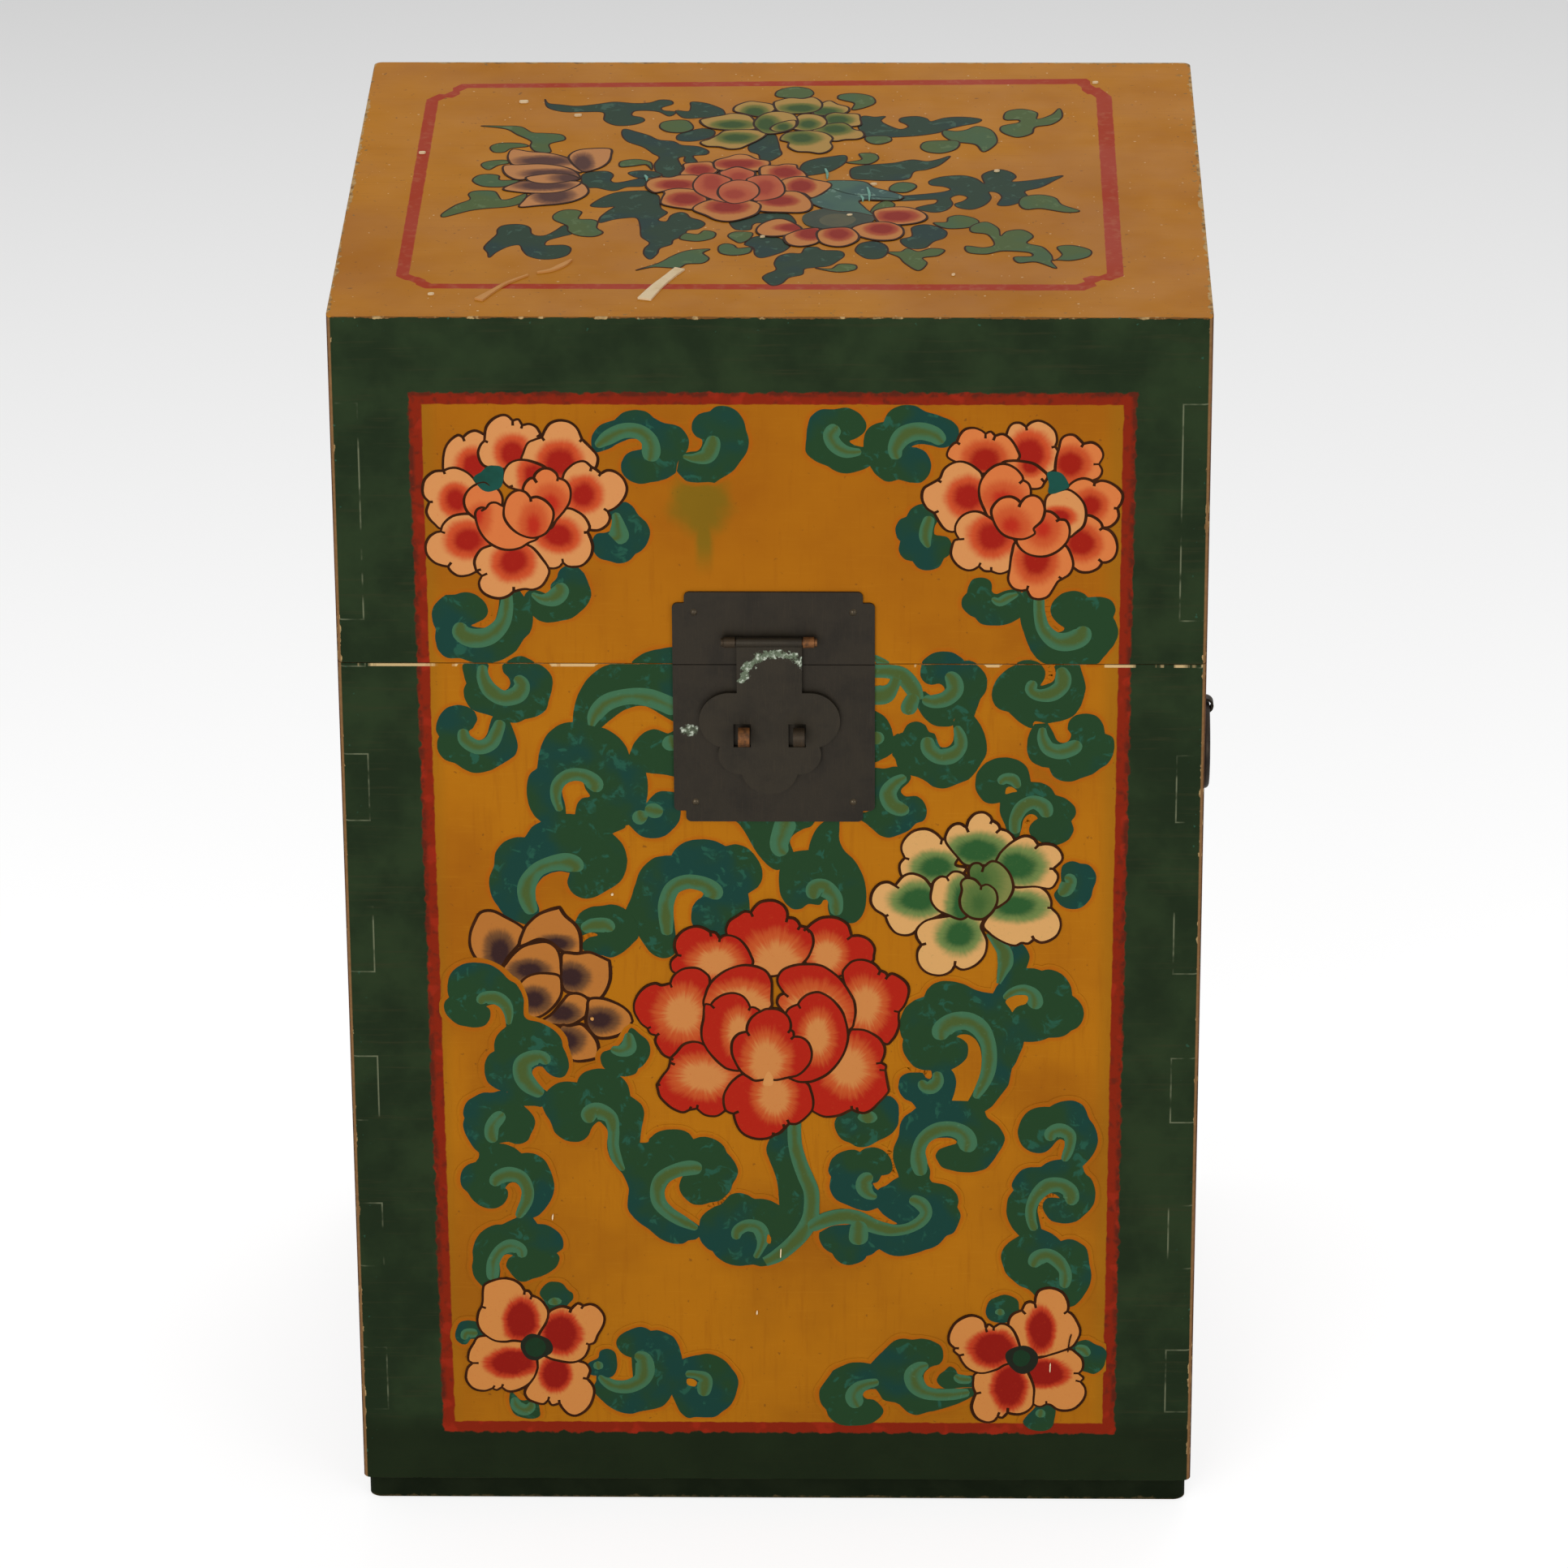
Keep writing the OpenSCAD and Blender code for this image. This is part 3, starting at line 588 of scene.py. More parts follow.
def strip_copper(f, place, colour):
    """The right eye and the left staple are rubbed to the copper, the others are dark."""
    x, y, z = f.axes(f.scaled(place, 1000, 1000, 1000))
    bright = f.rise(f.times(x, f.less(z, 440)), -60, 60)
    grain = f.noise(place, 300.0, 3, 0.6)
    copper = f.mix(f.rise(grain, 0.4, 0.7), paint_colour(134, 84, 40), paint_colour(84, 54, 28))
    return f.mix(f.times(bright, 0.85), colour, copper)


def dress_nodes():
    """Gives every part of the frame its finish."""
    board = board_finish()
    plate = metal_finish("plate_patina", paint_colour(45, 38, 27), paint_colour(37, 31, 22),
                         paint_colour(57, 47, 33), extra=plate_bloom)
    hasp = metal_finish("hasp_patina", paint_colour(48, 41, 29), paint_colour(40, 34, 24),
                        paint_colour(60, 51, 36), extra=hasp_bloom)
    ring = metal_finish("ring_bronze", paint_colour(58, 48, 38), paint_colour(38, 32, 27),
                        paint_colour(96, 76, 52))
    strip = metal_finish("strip_brass", paint_colour(56, 44, 28), paint_colour(38, 31, 22),
                         paint_colour(84, 62, 38), extra=strip_copper)
    nail = metal_finish("nail_brass", paint_colour(78, 66, 46), paint_colour(50, 42, 30),
                        paint_colour(128, 110, 80), rough=0.3)
    steel = metal_finish("hinge_steel", paint_colour(86, 80, 74), paint_colour(70, 52, 40),
                         paint_colour(116, 110, 102))
    finishes = {
        "front_paint": board, "back_paint": board, "side_paint": board, "top_paint": board,
        "base_wood": base_finish(), "plate_metal": plate, "hasp_metal": hasp, "ring_metal": ring,
        "strip_brass": strip, "nail_brass": nail, "hinge_steel": steel,
    }
    slots = {row["node"]: row["material_slot"] for row in frame["record"]["subparts"]}
    for name, piece in frame["nodes"].items():
        finish = finishes[slots[name]]
        if piece.data.materials:
            for place in piece.material_slots:
                place.material = finish
        else:
            piece.data.materials.append(finish)


dress_nodes()


# Paints of the ornament

INK = paint_colour(50, 26, 12)
LEAF_GREEN = paint_colour(36, 64, 38)
LEAF_TEAL = paint_colour(26, 62, 54)
LEAF_DAB = paint_colour(40, 88, 70)
RIM_GREEN = paint_colour(62, 104, 74)
MIDDLE_OLIVE = paint_colour(70, 88, 44)
HALO_ORANGE = paint_colour(164, 84, 12)


def petal_finish(name, core, middle, rim, streak, spread=0.5):
    """A petal shaded from its core outwards. Its map "shade" is zero at the core and one at the reach."""
    f = Finish(name)
    place = f.place()
    shade = f.own_map("shade")
    u, v, w = f.axes(shade)
    reach = f.math("SQRT", f.add(f.times(u, u), f.times(v, v)))
    ruffle = f.noise(place, 90.0, 3, 0.6)
    angle = f.math("ARCTAN2", v, u)
    hair = f.noise(f.node("ShaderNodeCombineXYZ", {0: f.times(angle, 9.0), 1: f.times(reach, 0.7)}).outputs[0],
                   1.0, 3, 0.6)
    reach = f.add(reach, f.times(f.less(ruffle, 0.5), 0.5))
    reach = f.add(reach, f.times(f.less(hair, 0.5), streak))
    colour = f.mix(f.rise(reach, 1.0 - spread, 1.0), core, middle)
    colour = f.mix(f.rise(reach, 0.95, 1.0 + spread), colour, rim)
    fine = f.noise(place, 800.0, 2, 0.6)
    colour = f.mix(f.rise(fine, 0.6, 0.8, 0, 0.25), colour, middle)
    return f.surface(colour, 0.5, fine, bump_depth=0.03, specular=SHEEN)


def leaf_finish(name, green, teal, dab):
    """Dark leaf paint with teal patches and lighter dabs of the brush."""
    f = Finish(name)
    place = f.place()
    patches = f.noise(place, 26.0, 3, 0.5)
    dabs = f.noise(place, 150.0, 3, 0.6, 0.6)
    fine = f.noise(place, 700.0, 2, 0.6)
    colour = f.mix(f.rise(patches, 0.46, 0.62), green, teal)
    colour = f.mix(f.rise(dabs, 0.58, 0.68, 0, 0.75), colour, dab)
    return f.surface(colour, 0.5, fine, bump_depth=0.03, specular=SHEEN)


def crescent_finish(name, rim, middle):
    """The light stroke inside a leaf: pale at both edges, olive along its middle."""
    f = Finish(name)
    place = f.place()
    u, v, w = f.axes(f.own_map("shade"))
    across = f.math("ABSOLUTE", v)
    patches = f.noise(place, 55.0, 3, 0.6)
    colour = f.mix(f.rise(f.add(across, f.times(f.less(patches, 0.5), 1.6)), 0.1, 0.75), middle, rim)
    fine = f.noise(place, 500.0, 3, 0.6)
    colour = f.mix(f.rise(fine, 0.6, 0.8, 0, 0.3), colour, paint_colour(98, 138, 104))
    return f.surface(colour, 0.5, fine, bump_depth=0.03, specular=SHEEN)


def plain_paint(name, colour, other, scale=120.0, amount=0.6):
    """One colour of paint, uneven from the brush."""
    f = Finish(name)
    place = f.place()
    patches = f.noise(place, scale, 3, 0.6)
    fine = f.noise(place, 900.0, 2, 0.6)
    shade = f.mix(f.rise(patches, 0.45, 0.75, 0, amount), colour, other)
    return f.surface(shade, 0.5, fine, bump_depth=0.03, specular=SHEEN)


def halo_finish(name, use_ground, tint):
    """Darker orange ground round a leaf, fading into the plain ground at its edge."""
    f = Finish(name)
    place = f.place()
    ground, height = use_ground(f)
    u, v, w = f.axes(f.own_map("shade"))
    near = f.less(1.0, f.math("ABSOLUTE", v))
    ragged = f.noise(place, 160.0, 3, 0.6)
    share = f.rise(f.add(near, f.times(f.less(ragged, 0.5), 0.5)), 0.05, 0.7, 0, 0.6)
    share = f.times(share, f.rise(near, 0.0, 0.12))
    colour = f.mix(share, ground, tint)
    return f.surface(colour, 0.5, height, bump_depth=0.03, specular=SHEEN)


def ground_finish(name, use_ground):
    """The plain ground again, for the gaps left inside a curl."""
    f = Finish(name)
    ground, height = use_ground(f)
    return f.surface(ground, 0.5, height, bump_depth=0.03, specular=SHEEN)


PEACH = paint_colour(204, 138, 82)
PAINTS = {
    "ink": plain_paint("ink_line", INK, paint_colour(72, 38, 18)),
    "leaf": leaf_finish("leaf_paint", LEAF_GREEN, LEAF_TEAL, LEAF_DAB),
    "crescent": crescent_finish("leaf_light", RIM_GREEN, MIDDLE_OLIVE),
    "halo": halo_finish("leaf_halo", use_front_ground, HALO_ORANGE),
    "ground": ground_finish("panel_ground", use_front_ground),
    "bud": petal_finish("green_heart", paint_colour(62, 92, 46), paint_colour(84, 106, 54),
                        paint_colour(118, 122, 66), 0.7, 0.8),
    "dot": plain_paint("flower_eye", paint_colour(28, 76, 66), paint_colour(24, 54, 38), 70.0),
    "peach": petal_finish("peach_petal", paint_colour(152, 30, 20), paint_colour(190, 74, 38), PEACH, 0.25),
    "orange": petal_finish("orange_petal", paint_colour(150, 30, 18), paint_colour(186, 76, 38),
                           paint_colour(204, 116, 62), 0.25),
    "blush": petal_finish("blush_petal", paint_colour(176, 44, 26), paint_colour(190, 82, 42),
                          paint_colour(204, 112, 60), 0.5, 0.8),
    "red": petal_finish("red_petal", paint_colour(194, 126, 68), paint_colour(184, 80, 38),
                        paint_colour(166, 34, 20), 0.7, 0.45),
    "blossom": petal_finish("blossom_petal", paint_colour(136, 26, 18), paint_colour(178, 58, 30),
                            paint_colour(196, 128, 66), 0.3, 0.3),
    "peach_tip": plain_paint("peach_tip", paint_colour(200, 138, 78), paint_colour(190, 116, 60)),
    "eye_ring": plain_paint("flower_eye_ring", paint_colour(34, 36, 28), paint_colour(30, 44, 28), 90.0),
    "eye": plain_paint("flower_eye_middle", paint_colour(28, 54, 34), paint_colour(30, 44, 26), 90.0),
    "top_leaf": leaf_finish("top_leaf_paint", paint_colour(42, 64, 48), paint_colour(36, 60, 56),
                            paint_colour(66, 96, 80)),
    "spray": leaf_finish("top_spray_paint", paint_colour(80, 98, 54), paint_colour(72, 98, 64),
                         paint_colour(98, 118, 76)),
    "frost": leaf_finish("top_pale_leaf", paint_colour(74, 104, 88), paint_colour(64, 92, 86),
                         paint_colour(120, 150, 136)),
    "smoke": plain_paint("top_flower_eye", paint_colour(64, 72, 60), paint_colour(84, 84, 70), 60.0),
    "mist": plain_paint("top_flower_eye_middle", paint_colour(92, 90, 68), paint_colour(78, 80, 66), 60.0),
    "pink": petal_finish("pink_petal", paint_colour(144, 38, 24), paint_colour(168, 72, 40),
                         paint_colour(192, 124, 64), 0.25, 0.4),
    "pink_heart": petal_finish("pink_heart_petal", paint_colour(164, 60, 40), paint_colour(184, 88, 54),
                               paint_colour(190, 104, 64), 0.3, 0.6),
    "sage": petal_finish("sage_petal", paint_colour(56, 82, 36), paint_colour(106, 110, 46),
                         paint_colour(176, 138, 70), 0.25, 0.5),
    "mauve": petal_finish("mauve_petal", paint_colour(86, 54, 46), paint_colour(132, 86, 58),
                          paint_colour(192, 130, 76), 0.4, 0.4),
    "chip": plain_paint("teal_chip", paint_colour(120, 166, 150), paint_colour(84, 140, 122), 160.0),
    "bare": plain_paint("bare_scratch", paint_colour(226, 202, 162), paint_colour(206, 176, 130), 90.0),
    "rubbed": plain_paint("rubbed_scratch", paint_colour(200, 142, 78), paint_colour(190, 124, 62), 90.0),
    "green": petal_finish("green_petal", paint_colour(44, 84, 44), paint_colour(106, 124, 68),
                          paint_colour(206, 156, 96), 0.3),
    "purple": petal_finish("purple_petal", paint_colour(54, 35, 34), paint_colour(102, 68, 42),
                           paint_colour(172, 108, 48), 0.4),
}


# Brushwork: closed fills and tapered strokes, a few hundredths of a millimetre thick

LAYER = 0.003
HALO_WIDTH = 5.2
PARTING_PLAY = 0.25


def smooth_run(points, closed, step):
    """A smooth curve through points of two or more numbers. C last in a point keeps a sharp corner there."""
    size = len(points)
    corners = [len(p) > 2 and p[-1] is True for p in points]
    plain = [p[:-1] if corner else p for p, corner in zip(points, corners)]
    wide = min(len(p) for p in plain)
    run = []
    last = size if closed else size - 1
    for i in range(last):
        a = Vector(plain[i][:wide])
        b = Vector(plain[(i + 1) % size][:wide])
        before = Vector(plain[i - 1][:wide]) if closed or i > 0 else a
        after = Vector(plain[(i + 2) % size][:wide]) if closed or i + 2 < size else b
        leave = (b - a) if corners[i] else (b - before) / 2
        arrive = (b - a) if corners[(i + 1) % size] else (after - a) / 2
        span = (b - a).length
        leave = leave.normalized() * min(leave.length, span * 1.15) if leave.length else leave
        arrive = arrive.normalized() * min(arrive.length, span * 1.15) if arrive.length else arrive
        count = max(2, int(span / step))
        for k in range(count):
            t = k / count
            run.append(a * (2 * t**3 - 3 * t**2 + 1) + leave * (t**3 - 2 * t**2 + t)
                       + b * (3 * t**2 - 2 * t**3) + arrive * (t**3 - t**2))
    if not closed:
        run.append(Vector(plain[-1][:wide]))
    return run


class Painting:
    """One painted motif on the front or the top, gathered in one mesh."""

    def __init__(self, name, face="front", depth=0.0):
        self.name = name
        self.face = face
        self.level = depth
        self.bm = bmesh.new()
        self.bm.loops.layers.uv.new("shade")
        self.paints = []

    def spot(self, u, v, height=None):
        """A point of the painted face, in metres, at this layer's height."""
        h = self.level if height is None else height
        if self.face == "front":
            return Vector((u * MM, -(HALF_D + h) * MM, v * MM))
        return Vector((u * MM, v * MM, (HEIGHT + h) * MM))

    def flat(self, vert):
        """The vertex's place on the painted face, in mm."""
        place = vert.co / MM
        return (place.x, place.z) if self.face == "front" else (place.x, place.y)

    def lay(self, bm, faces, paint, shade_of):
        """Draws new faces down to the board as a closed layer, gives it its map and adds it to the motif."""
        made = bmesh.ops.extrude_face_region(bm, geom=faces)
        verts = [v for v in made["geom"] if isinstance(v, bmesh.types.BMVert)]
        drop = self.spot(0, 0, -0.01) - self.spot(0, 0)
        bmesh.ops.translate(bm, verts=verts, vec=drop)
        bmesh.ops.recalc_face_normals(bm, faces=bm.faces[:])
        if paint not in self.paints:
            self.paints.append(paint)
        index = self.paints.index(paint)
        shade = bm.loops.layers.uv.new("shade")
        for face in bm.faces:
            face.material_index = index
            for loop in face.loops:
                loop[shade].uv = shade_of(loop.vert)
        part = bpy.data.meshes.new("part")
        bm.to_mesh(part)
        bm.free()
        self.bm.from_mesh(part)
        bpy.data.meshes.remove(part)

    def fill(self, outline, paint, core=(0, 0, 10), step=0.9, rough=0.12):
        """A closed shape of paint. core is (u, v, reach across, reach along) of its shading."""
        self.level += LAYER
        bm = bmesh.new()
        verts = []
        for p in smooth_run(outline, True, step):
            shake = noise.noise_vector((p.x * 0.35, p.y * 0.35, self.level)) * rough
            verts.append(bm.verts.new(self.spot(p.x + shake.x, p.y + shake.y)))
        edges = [bm.edges.new((a, b)) for a, b in zip(verts, verts[1:] + verts[:1])]
        made = bmesh.ops.triangle_fill(bm, use_beauty=True, use_dissolve=False, edges=edges)
        faces = [g for g in made["geom"] if isinstance(g, bmesh.types.BMFace)]

        def shade_of(vert):
            u, v = self.flat(vert)
            return (u - core[0]) / core[2], (v - core[1]) / core[-1]

        self.lay(bm, faces, paint, shade_of)

    def widths(self, run, width, taper, closed, rounded, step):
        """The stroke's width at each point of its run."""
        total = len(run) - 1
        made = []
        for i, p in enumerate(run):
            wide = p[2] if width is None else width
            if width is not None:
                wide *= 1.0 + 0.35 * noise.noise(Vector((p.x * 0.09, p.y * 0.09, 1.7)))
            from_end = min(i, total - i)
            if taper and not closed:
                wide *= min(1.0, 0.25 + from_end / total * 6.0)
            if rounded:
                half = max(wide / 2, 0.01)
                wide *= math.sqrt(max(0.02, 1 - max(0.0, 1 - from_end * step / half) ** 2))
            made.append(wide)
        return made

    def stroke(self, spine, paint, width=None, taper=True, closed=False, step=0.8, rounded=False, limits=None):
        """A brush stroke along a spine. Its points carry their own width where width is not given."""
        self.level += LAYER
        run = smooth_run(spine, closed, step)
        if closed:
            run.append(run[0].copy())
        total = len(run) - 1
        sides = []
        for i, (p, wide) in enumerate(zip(run, self.widths(run, width, taper, closed, rounded, step))):
            ahead, behind = run[min(i + 1, total)], run[max(i - 1, 0)]
            if closed and i in (0, total):
                ahead, behind = run[1], run[total - 1]
            along = Vector((ahead.x - behind.x, ahead.y - behind.y))
            along = along.normalized() if along.length > 1e-9 else Vector((1, 0))
            across = Vector((-along.y, along.x)) * wide / 2
            pair = [Vector((p.x, p.y)) - across, Vector((p.x, p.y)) + across]
            if sides:
                for k in (0, 1):
                    if (pair[k] - sides[-1][k]).dot(along) < 0.02:
                        pair[k] = sides[-1][k] + along * 0.02
            sides.append(pair)
        if limits:
            for pair in sides:
                for point in pair:
                    point.x = min(max(point.x, limits[0]), limits[1])
                    point.y = min(max(point.y, limits[2]), limits[3])
        bm = bmesh.new()
        low, high = (bm.verts.new(self.spot(*point)) for point in sides[0])
        marks = {low: (0.0, -1.0), high: (0.0, 1.0)}
        edge = bm.edges.new((low, high))
        for i, pair in enumerate(sides[1:], 1):
            grown = bmesh.ops.extrude_edge_only(bm, edges=[edge])["geom"]
            edge = next(g for g in grown if isinstance(g, bmesh.types.BMEdge)
                        and low not in g.verts and high not in g.verts)
            after_low, after_high = edge.verts
            if not any(e.other_vert(after_low) is low for e in after_low.link_edges):
                after_low, after_high = after_high, after_low
            low, high = after_low, after_high
            height = self.level + LAYER * 0.45 * math.cos(i * 2.4)
            low.co, high.co = self.spot(*pair[0], height), self.spot(*pair[1], height)
            marks[low], marks[high] = (i * 0.1, -1.0), (i * 0.1, 1.0)
        table = {tuple(round(c, 5) for c in self.flat(v)): mark for v, mark in marks.items()}

        def shade_of(vert):
            return table.get(tuple(round(c, 5) for c in self.flat(vert)), (0.0, 0.0))

        self.lay(bm, bm.faces[:], paint, shade_of)

    def petal(self, outline, paint, core, line=1.25, hooks=True):
        """A petal with its ink outline, and a short hook of ink into each notch."""
        self.fill(outline, paint, core)
        self.stroke(outline, "ink", width=line, closed=True)
        if hooks:
            size = len(outline)
            inward = Vector((core[0], core[1]))
            for i, p in enumerate(outline):
                if p[-1] is True:
                    start = Vector(p[:2])
                    tip = start + (inward - start).normalized() * (1.6 + random.random() * 1.2)
                    self.stroke([tuple(start), tuple(tip)], "ink", width=line, taper=False)

    def leaf(self, outline, crescent, paint="leaf", light="crescent"):
        """A scroll leaf: its dark body and the light crescent strokes in it."""
        self.fill(outline, paint, step=1.0)
        for spine in crescent:
            self.stroke(spine, light, taper=False, rounded=True)

    def halo(self, outline):
        """Orange ground round a leaf, kept inside the red line."""
        limits = (PANEL_LEFT + 0.8, PANEL_RIGHT - 1.6, PANEL_BOTTOM + 0.6, PANEL_TOP - 0.6)
        self.stroke(outline, "halo", width=HALO_WIDTH, closed=True, step=1.6, limits=limits)

    def scroll_leaves(self, leaves):
        """Leaves given as (outline, crescents): all their halos first, then the leaves over them."""
        for outline, crescents in leaves:
            self.halo(outline)
        for outline, crescents in leaves:
            self.leaf(outline, crescents)

    def cut(self, level, keep_low):
        """A copy of the motif's mesh with only what lies below, or above, a height, and with closed ends."""
        bm = self.bm.copy()
        made = bmesh.ops.bisect_plane(bm, geom=bm.verts[:] + bm.edges[:] + bm.faces[:], dist=1e-7,
                                      plane_co=(0, 0, level * MM), plane_no=(0, 0, 1),
                                      clear_outer=keep_low, clear_inner=not keep_low)
        rims = [g for g in made["geom_cut"] if isinstance(g, bmesh.types.BMEdge)]
        paint_of = {edge: edge.link_faces[0].material_index for edge in rims}
        for face in bmesh.ops.holes_fill(bm, edges=rims, sides=0)["faces"]:
            face.material_index = paint_of.get(face.edges[0], 0)
        return bm

    def finish(self, body, slot="front_paint"):
        """Makes the object and lets it ride on its body. What crosses the parting line is cut there."""
        heights = [self.flat(vert)[1] for vert in self.bm.verts]
        crosses = self.face == "front" and min(heights) < PARTING < max(heights)
        own = [(self.name, self.bm, body)]
        if crosses:
            low, high = self.cut(PARTING - PARTING_PLAY, True), self.cut(PARTING + PARTING_PLAY, False)
            self.bm.free()
            own = [(self.name + "_below", low, "trunk"), (self.name + "_above", high, "lid")]
        for name, bm, rides_on in own:
            mesh = bpy.data.meshes.new(name)
            bm.to_mesh(mesh)
            bm.free()
            for paint in self.paints:
                mesh.materials.append(PAINTS[paint])
            made = bpy.data.objects.new(name, mesh)
            bpy.context.collection.objects.link(made)
            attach(made, rides_on)


# Last in a point of an outline, for a sharp corner there
C = True


# Upper left peony

def upper_left_peony():
    p = Painting("upper_left_peony", depth=0.16)
    for outline, core in (
        ([(-148, 539), (-148.6, 545), (-147.5, 551), (-145, 555), (-141.5, 557.5), (-139.3, 556.4, C),
         (-137, 558.6), (-134, 559.7), (-131.3, 558.8), (-128.5, 556.5), (-126, 548), (-130, 540),
         (-135, 536), (-142, 538)], (-134.5, 542.5, 7.5, 7.5)),
        ([(-129.6, 554.8, C), (-128.8, 561), (-126, 565), (-122, 567.2), (-119, 567), (-116.6, 564.6, C),
         (-114, 565.2), (-112.3, 562.4, C), (-109, 563), (-106, 561.5), (-104, 558, C), (-105, 550),
         (-110, 543), (-122, 541), (-130, 542.5), (-132.6, 548), (-131.5, 552.5)], (-116.5, 548.5, 7.5, 8)),
        ([(-112.6, 545), (-112, 549), (-110, 553.6), (-107, 555.3), (-103.5, 556.6, C), (-101.8, 560.5),
         (-99.5, 563.4), (-95.5, 564.8), (-91, 564), (-87.5, 561), (-85.3, 555.6, C), (-81.5, 551.5),
         (-78.8, 548), (-78.3, 545), (-80, 541), (-88, 538), (-96, 536), (-104, 540)], (-95.5, 544, 9, 9)),
        ([(-90.5, 542.6), (-87, 544.6), (-84, 544.6), (-81.2, 542, C), (-79.5, 541), (-77, 538.8, C),
         (-74, 540.3), (-70.5, 539.6), (-67, 536.5), (-65.3, 532), (-66, 528), (-68.5, 524), (-71.5, 521.4),
         (-74.2, 520.2, C), (-73.2, 517), (-74.5, 513.5), (-78, 511), (-81.5, 510.8), (-85, 512), (-91, 518),
         (-95, 528), (-94, 538)], (-85, 528.5, 7.5, 8)),
        ([(-150.5, 511.5), (-153, 513.5), (-155.6, 516.5), (-156.8, 520), (-155.4, 524.6, C), (-157.8, 527.5),
         (-158.3, 531.5), (-157, 536), (-153, 539.5), (-148.5, 540, C), (-146, 541.2), (-142.5, 541.4),
         (-138, 539.3), (-134.5, 535.5), (-131, 528), (-134, 518), (-142, 514)], (-143, 525.5, 6.5, 7)),
        ([(-150.5, 510, C), (-149.4, 513.5), (-146, 517), (-142, 518.5), (-136, 518.5), (-126, 514),
         (-122, 502), (-128, 494), (-135, 490), (-138.5, 488.3), (-143, 488), (-146.5, 490.5),
         (-147.6, 492.6, C), (-150.5, 493.2), (-154, 494.8), (-157, 498.5), (-157.6, 503), (-156, 507),
         (-153, 509.4)], (-138, 505.5, 9, 8)),
        ([(-92.5, 521.6), (-88, 520), (-84.5, 517), (-82.5, 512.5), (-83.5, 509.8, C), (-82.3, 507),
         (-81.3, 502.5), (-82.5, 497.5), (-86, 493.5), (-90, 492.6), (-93, 493), (-95, 494.8, C),
         (-96.8, 492.6), (-100, 491.8), (-104.5, 493), (-109, 496), (-111.7, 500), (-112, 505), (-105, 512),
         (-98, 519)], (-97, 508.5, 8.5, 7.5)),
        ([(-131, 502), (-134, 499), (-135.5, 495), (-134.8, 490.6, C), (-132.2, 488, C), (-133.6, 484.5),
         (-132.5, 480.5), (-129, 477.8), (-124.5, 476.8), (-120.5, 478), (-117.8, 480.3, C), (-113, 481.5),
         (-109, 481.2), (-105, 483), (-102.4, 487), (-101.4, 491), (-104, 496), (-110, 503), (-120, 505)],
         (-117.5, 495, 8.5, 8.5)),
        ([(-121.8, 536), (-120.8, 540.5), (-118, 544), (-113.5, 545.5), (-108, 544.6), (-102, 541.5),
         (-100, 536), (-106, 530), (-114, 530.5), (-119, 532, C), (-121, 534)], (-107, 537, 7, 9))):
        p.petal(outline, "peach", core)
    p.petal([(-134.5, 516.5), (-138.5, 520.5), (-139.5, 526), (-137, 531), (-132, 534), (-126.5, 533),
        (-123, 529.5), (-122, 525), (-124, 518), (-130, 514)], "blush", (-131, 516, 6, 6), hooks=False)
    p.petal([(-112.5, 530), (-111.8, 533.5), (-109.5, 536.2), (-107.6, 536.6, C), (-106.5, 539),
        (-103.5, 541.2), (-100, 541), (-97.3, 538.8), (-96.5, 536.6, C), (-93, 535), (-91, 531),
        (-91.3, 525.5), (-93.5, 521), (-97.5, 516), (-101, 511.5), (-108, 516)], "blush", (-100, 524, 6, 7))
    p.fill([(-135, 536.5), (-131.5, 539.5), (-128.5, 542.3), (-125.5, 542.6), (-121.6, 541.5),
        (-121.4, 536.5), (-122.6, 532), (-126, 530.2), (-129.5, 529.8), (-132.5, 532)], "dot")
    p.stroke([(-136.5, 531.2), (-134, 533.5), (-130, 534.4), (-127.6, 532.6)], "ink", width=0.7)
    p.petal([(-134.6, 518), (-133.8, 520.8), (-131.6, 522), (-129.6, 521.6, C), (-127.8, 524), (-125, 524.4),
        (-121.3, 522.4), (-113, 520), (-106, 508), (-110.8, 504.4), (-114.5, 502), (-119.5, 501),
        (-124.5, 502), (-129.5, 505.5), (-133, 511)], "blush", (-134, 519, 5, 9))
    p.petal([(-121.6, 520), (-120.6, 525), (-118.5, 528.5), (-115, 530.5), (-111.5, 529.6),
        (-109.2, 526.8, C), (-106, 527.2), (-102, 525), (-99, 520.5), (-99.5, 515), (-102.5, 509.4),
        (-108, 507), (-113.5, 508.2), (-118, 511.5), (-121, 516)], "blush", (-108, 513, 5, 9))
    p.finish("lid")


# Upper right peony

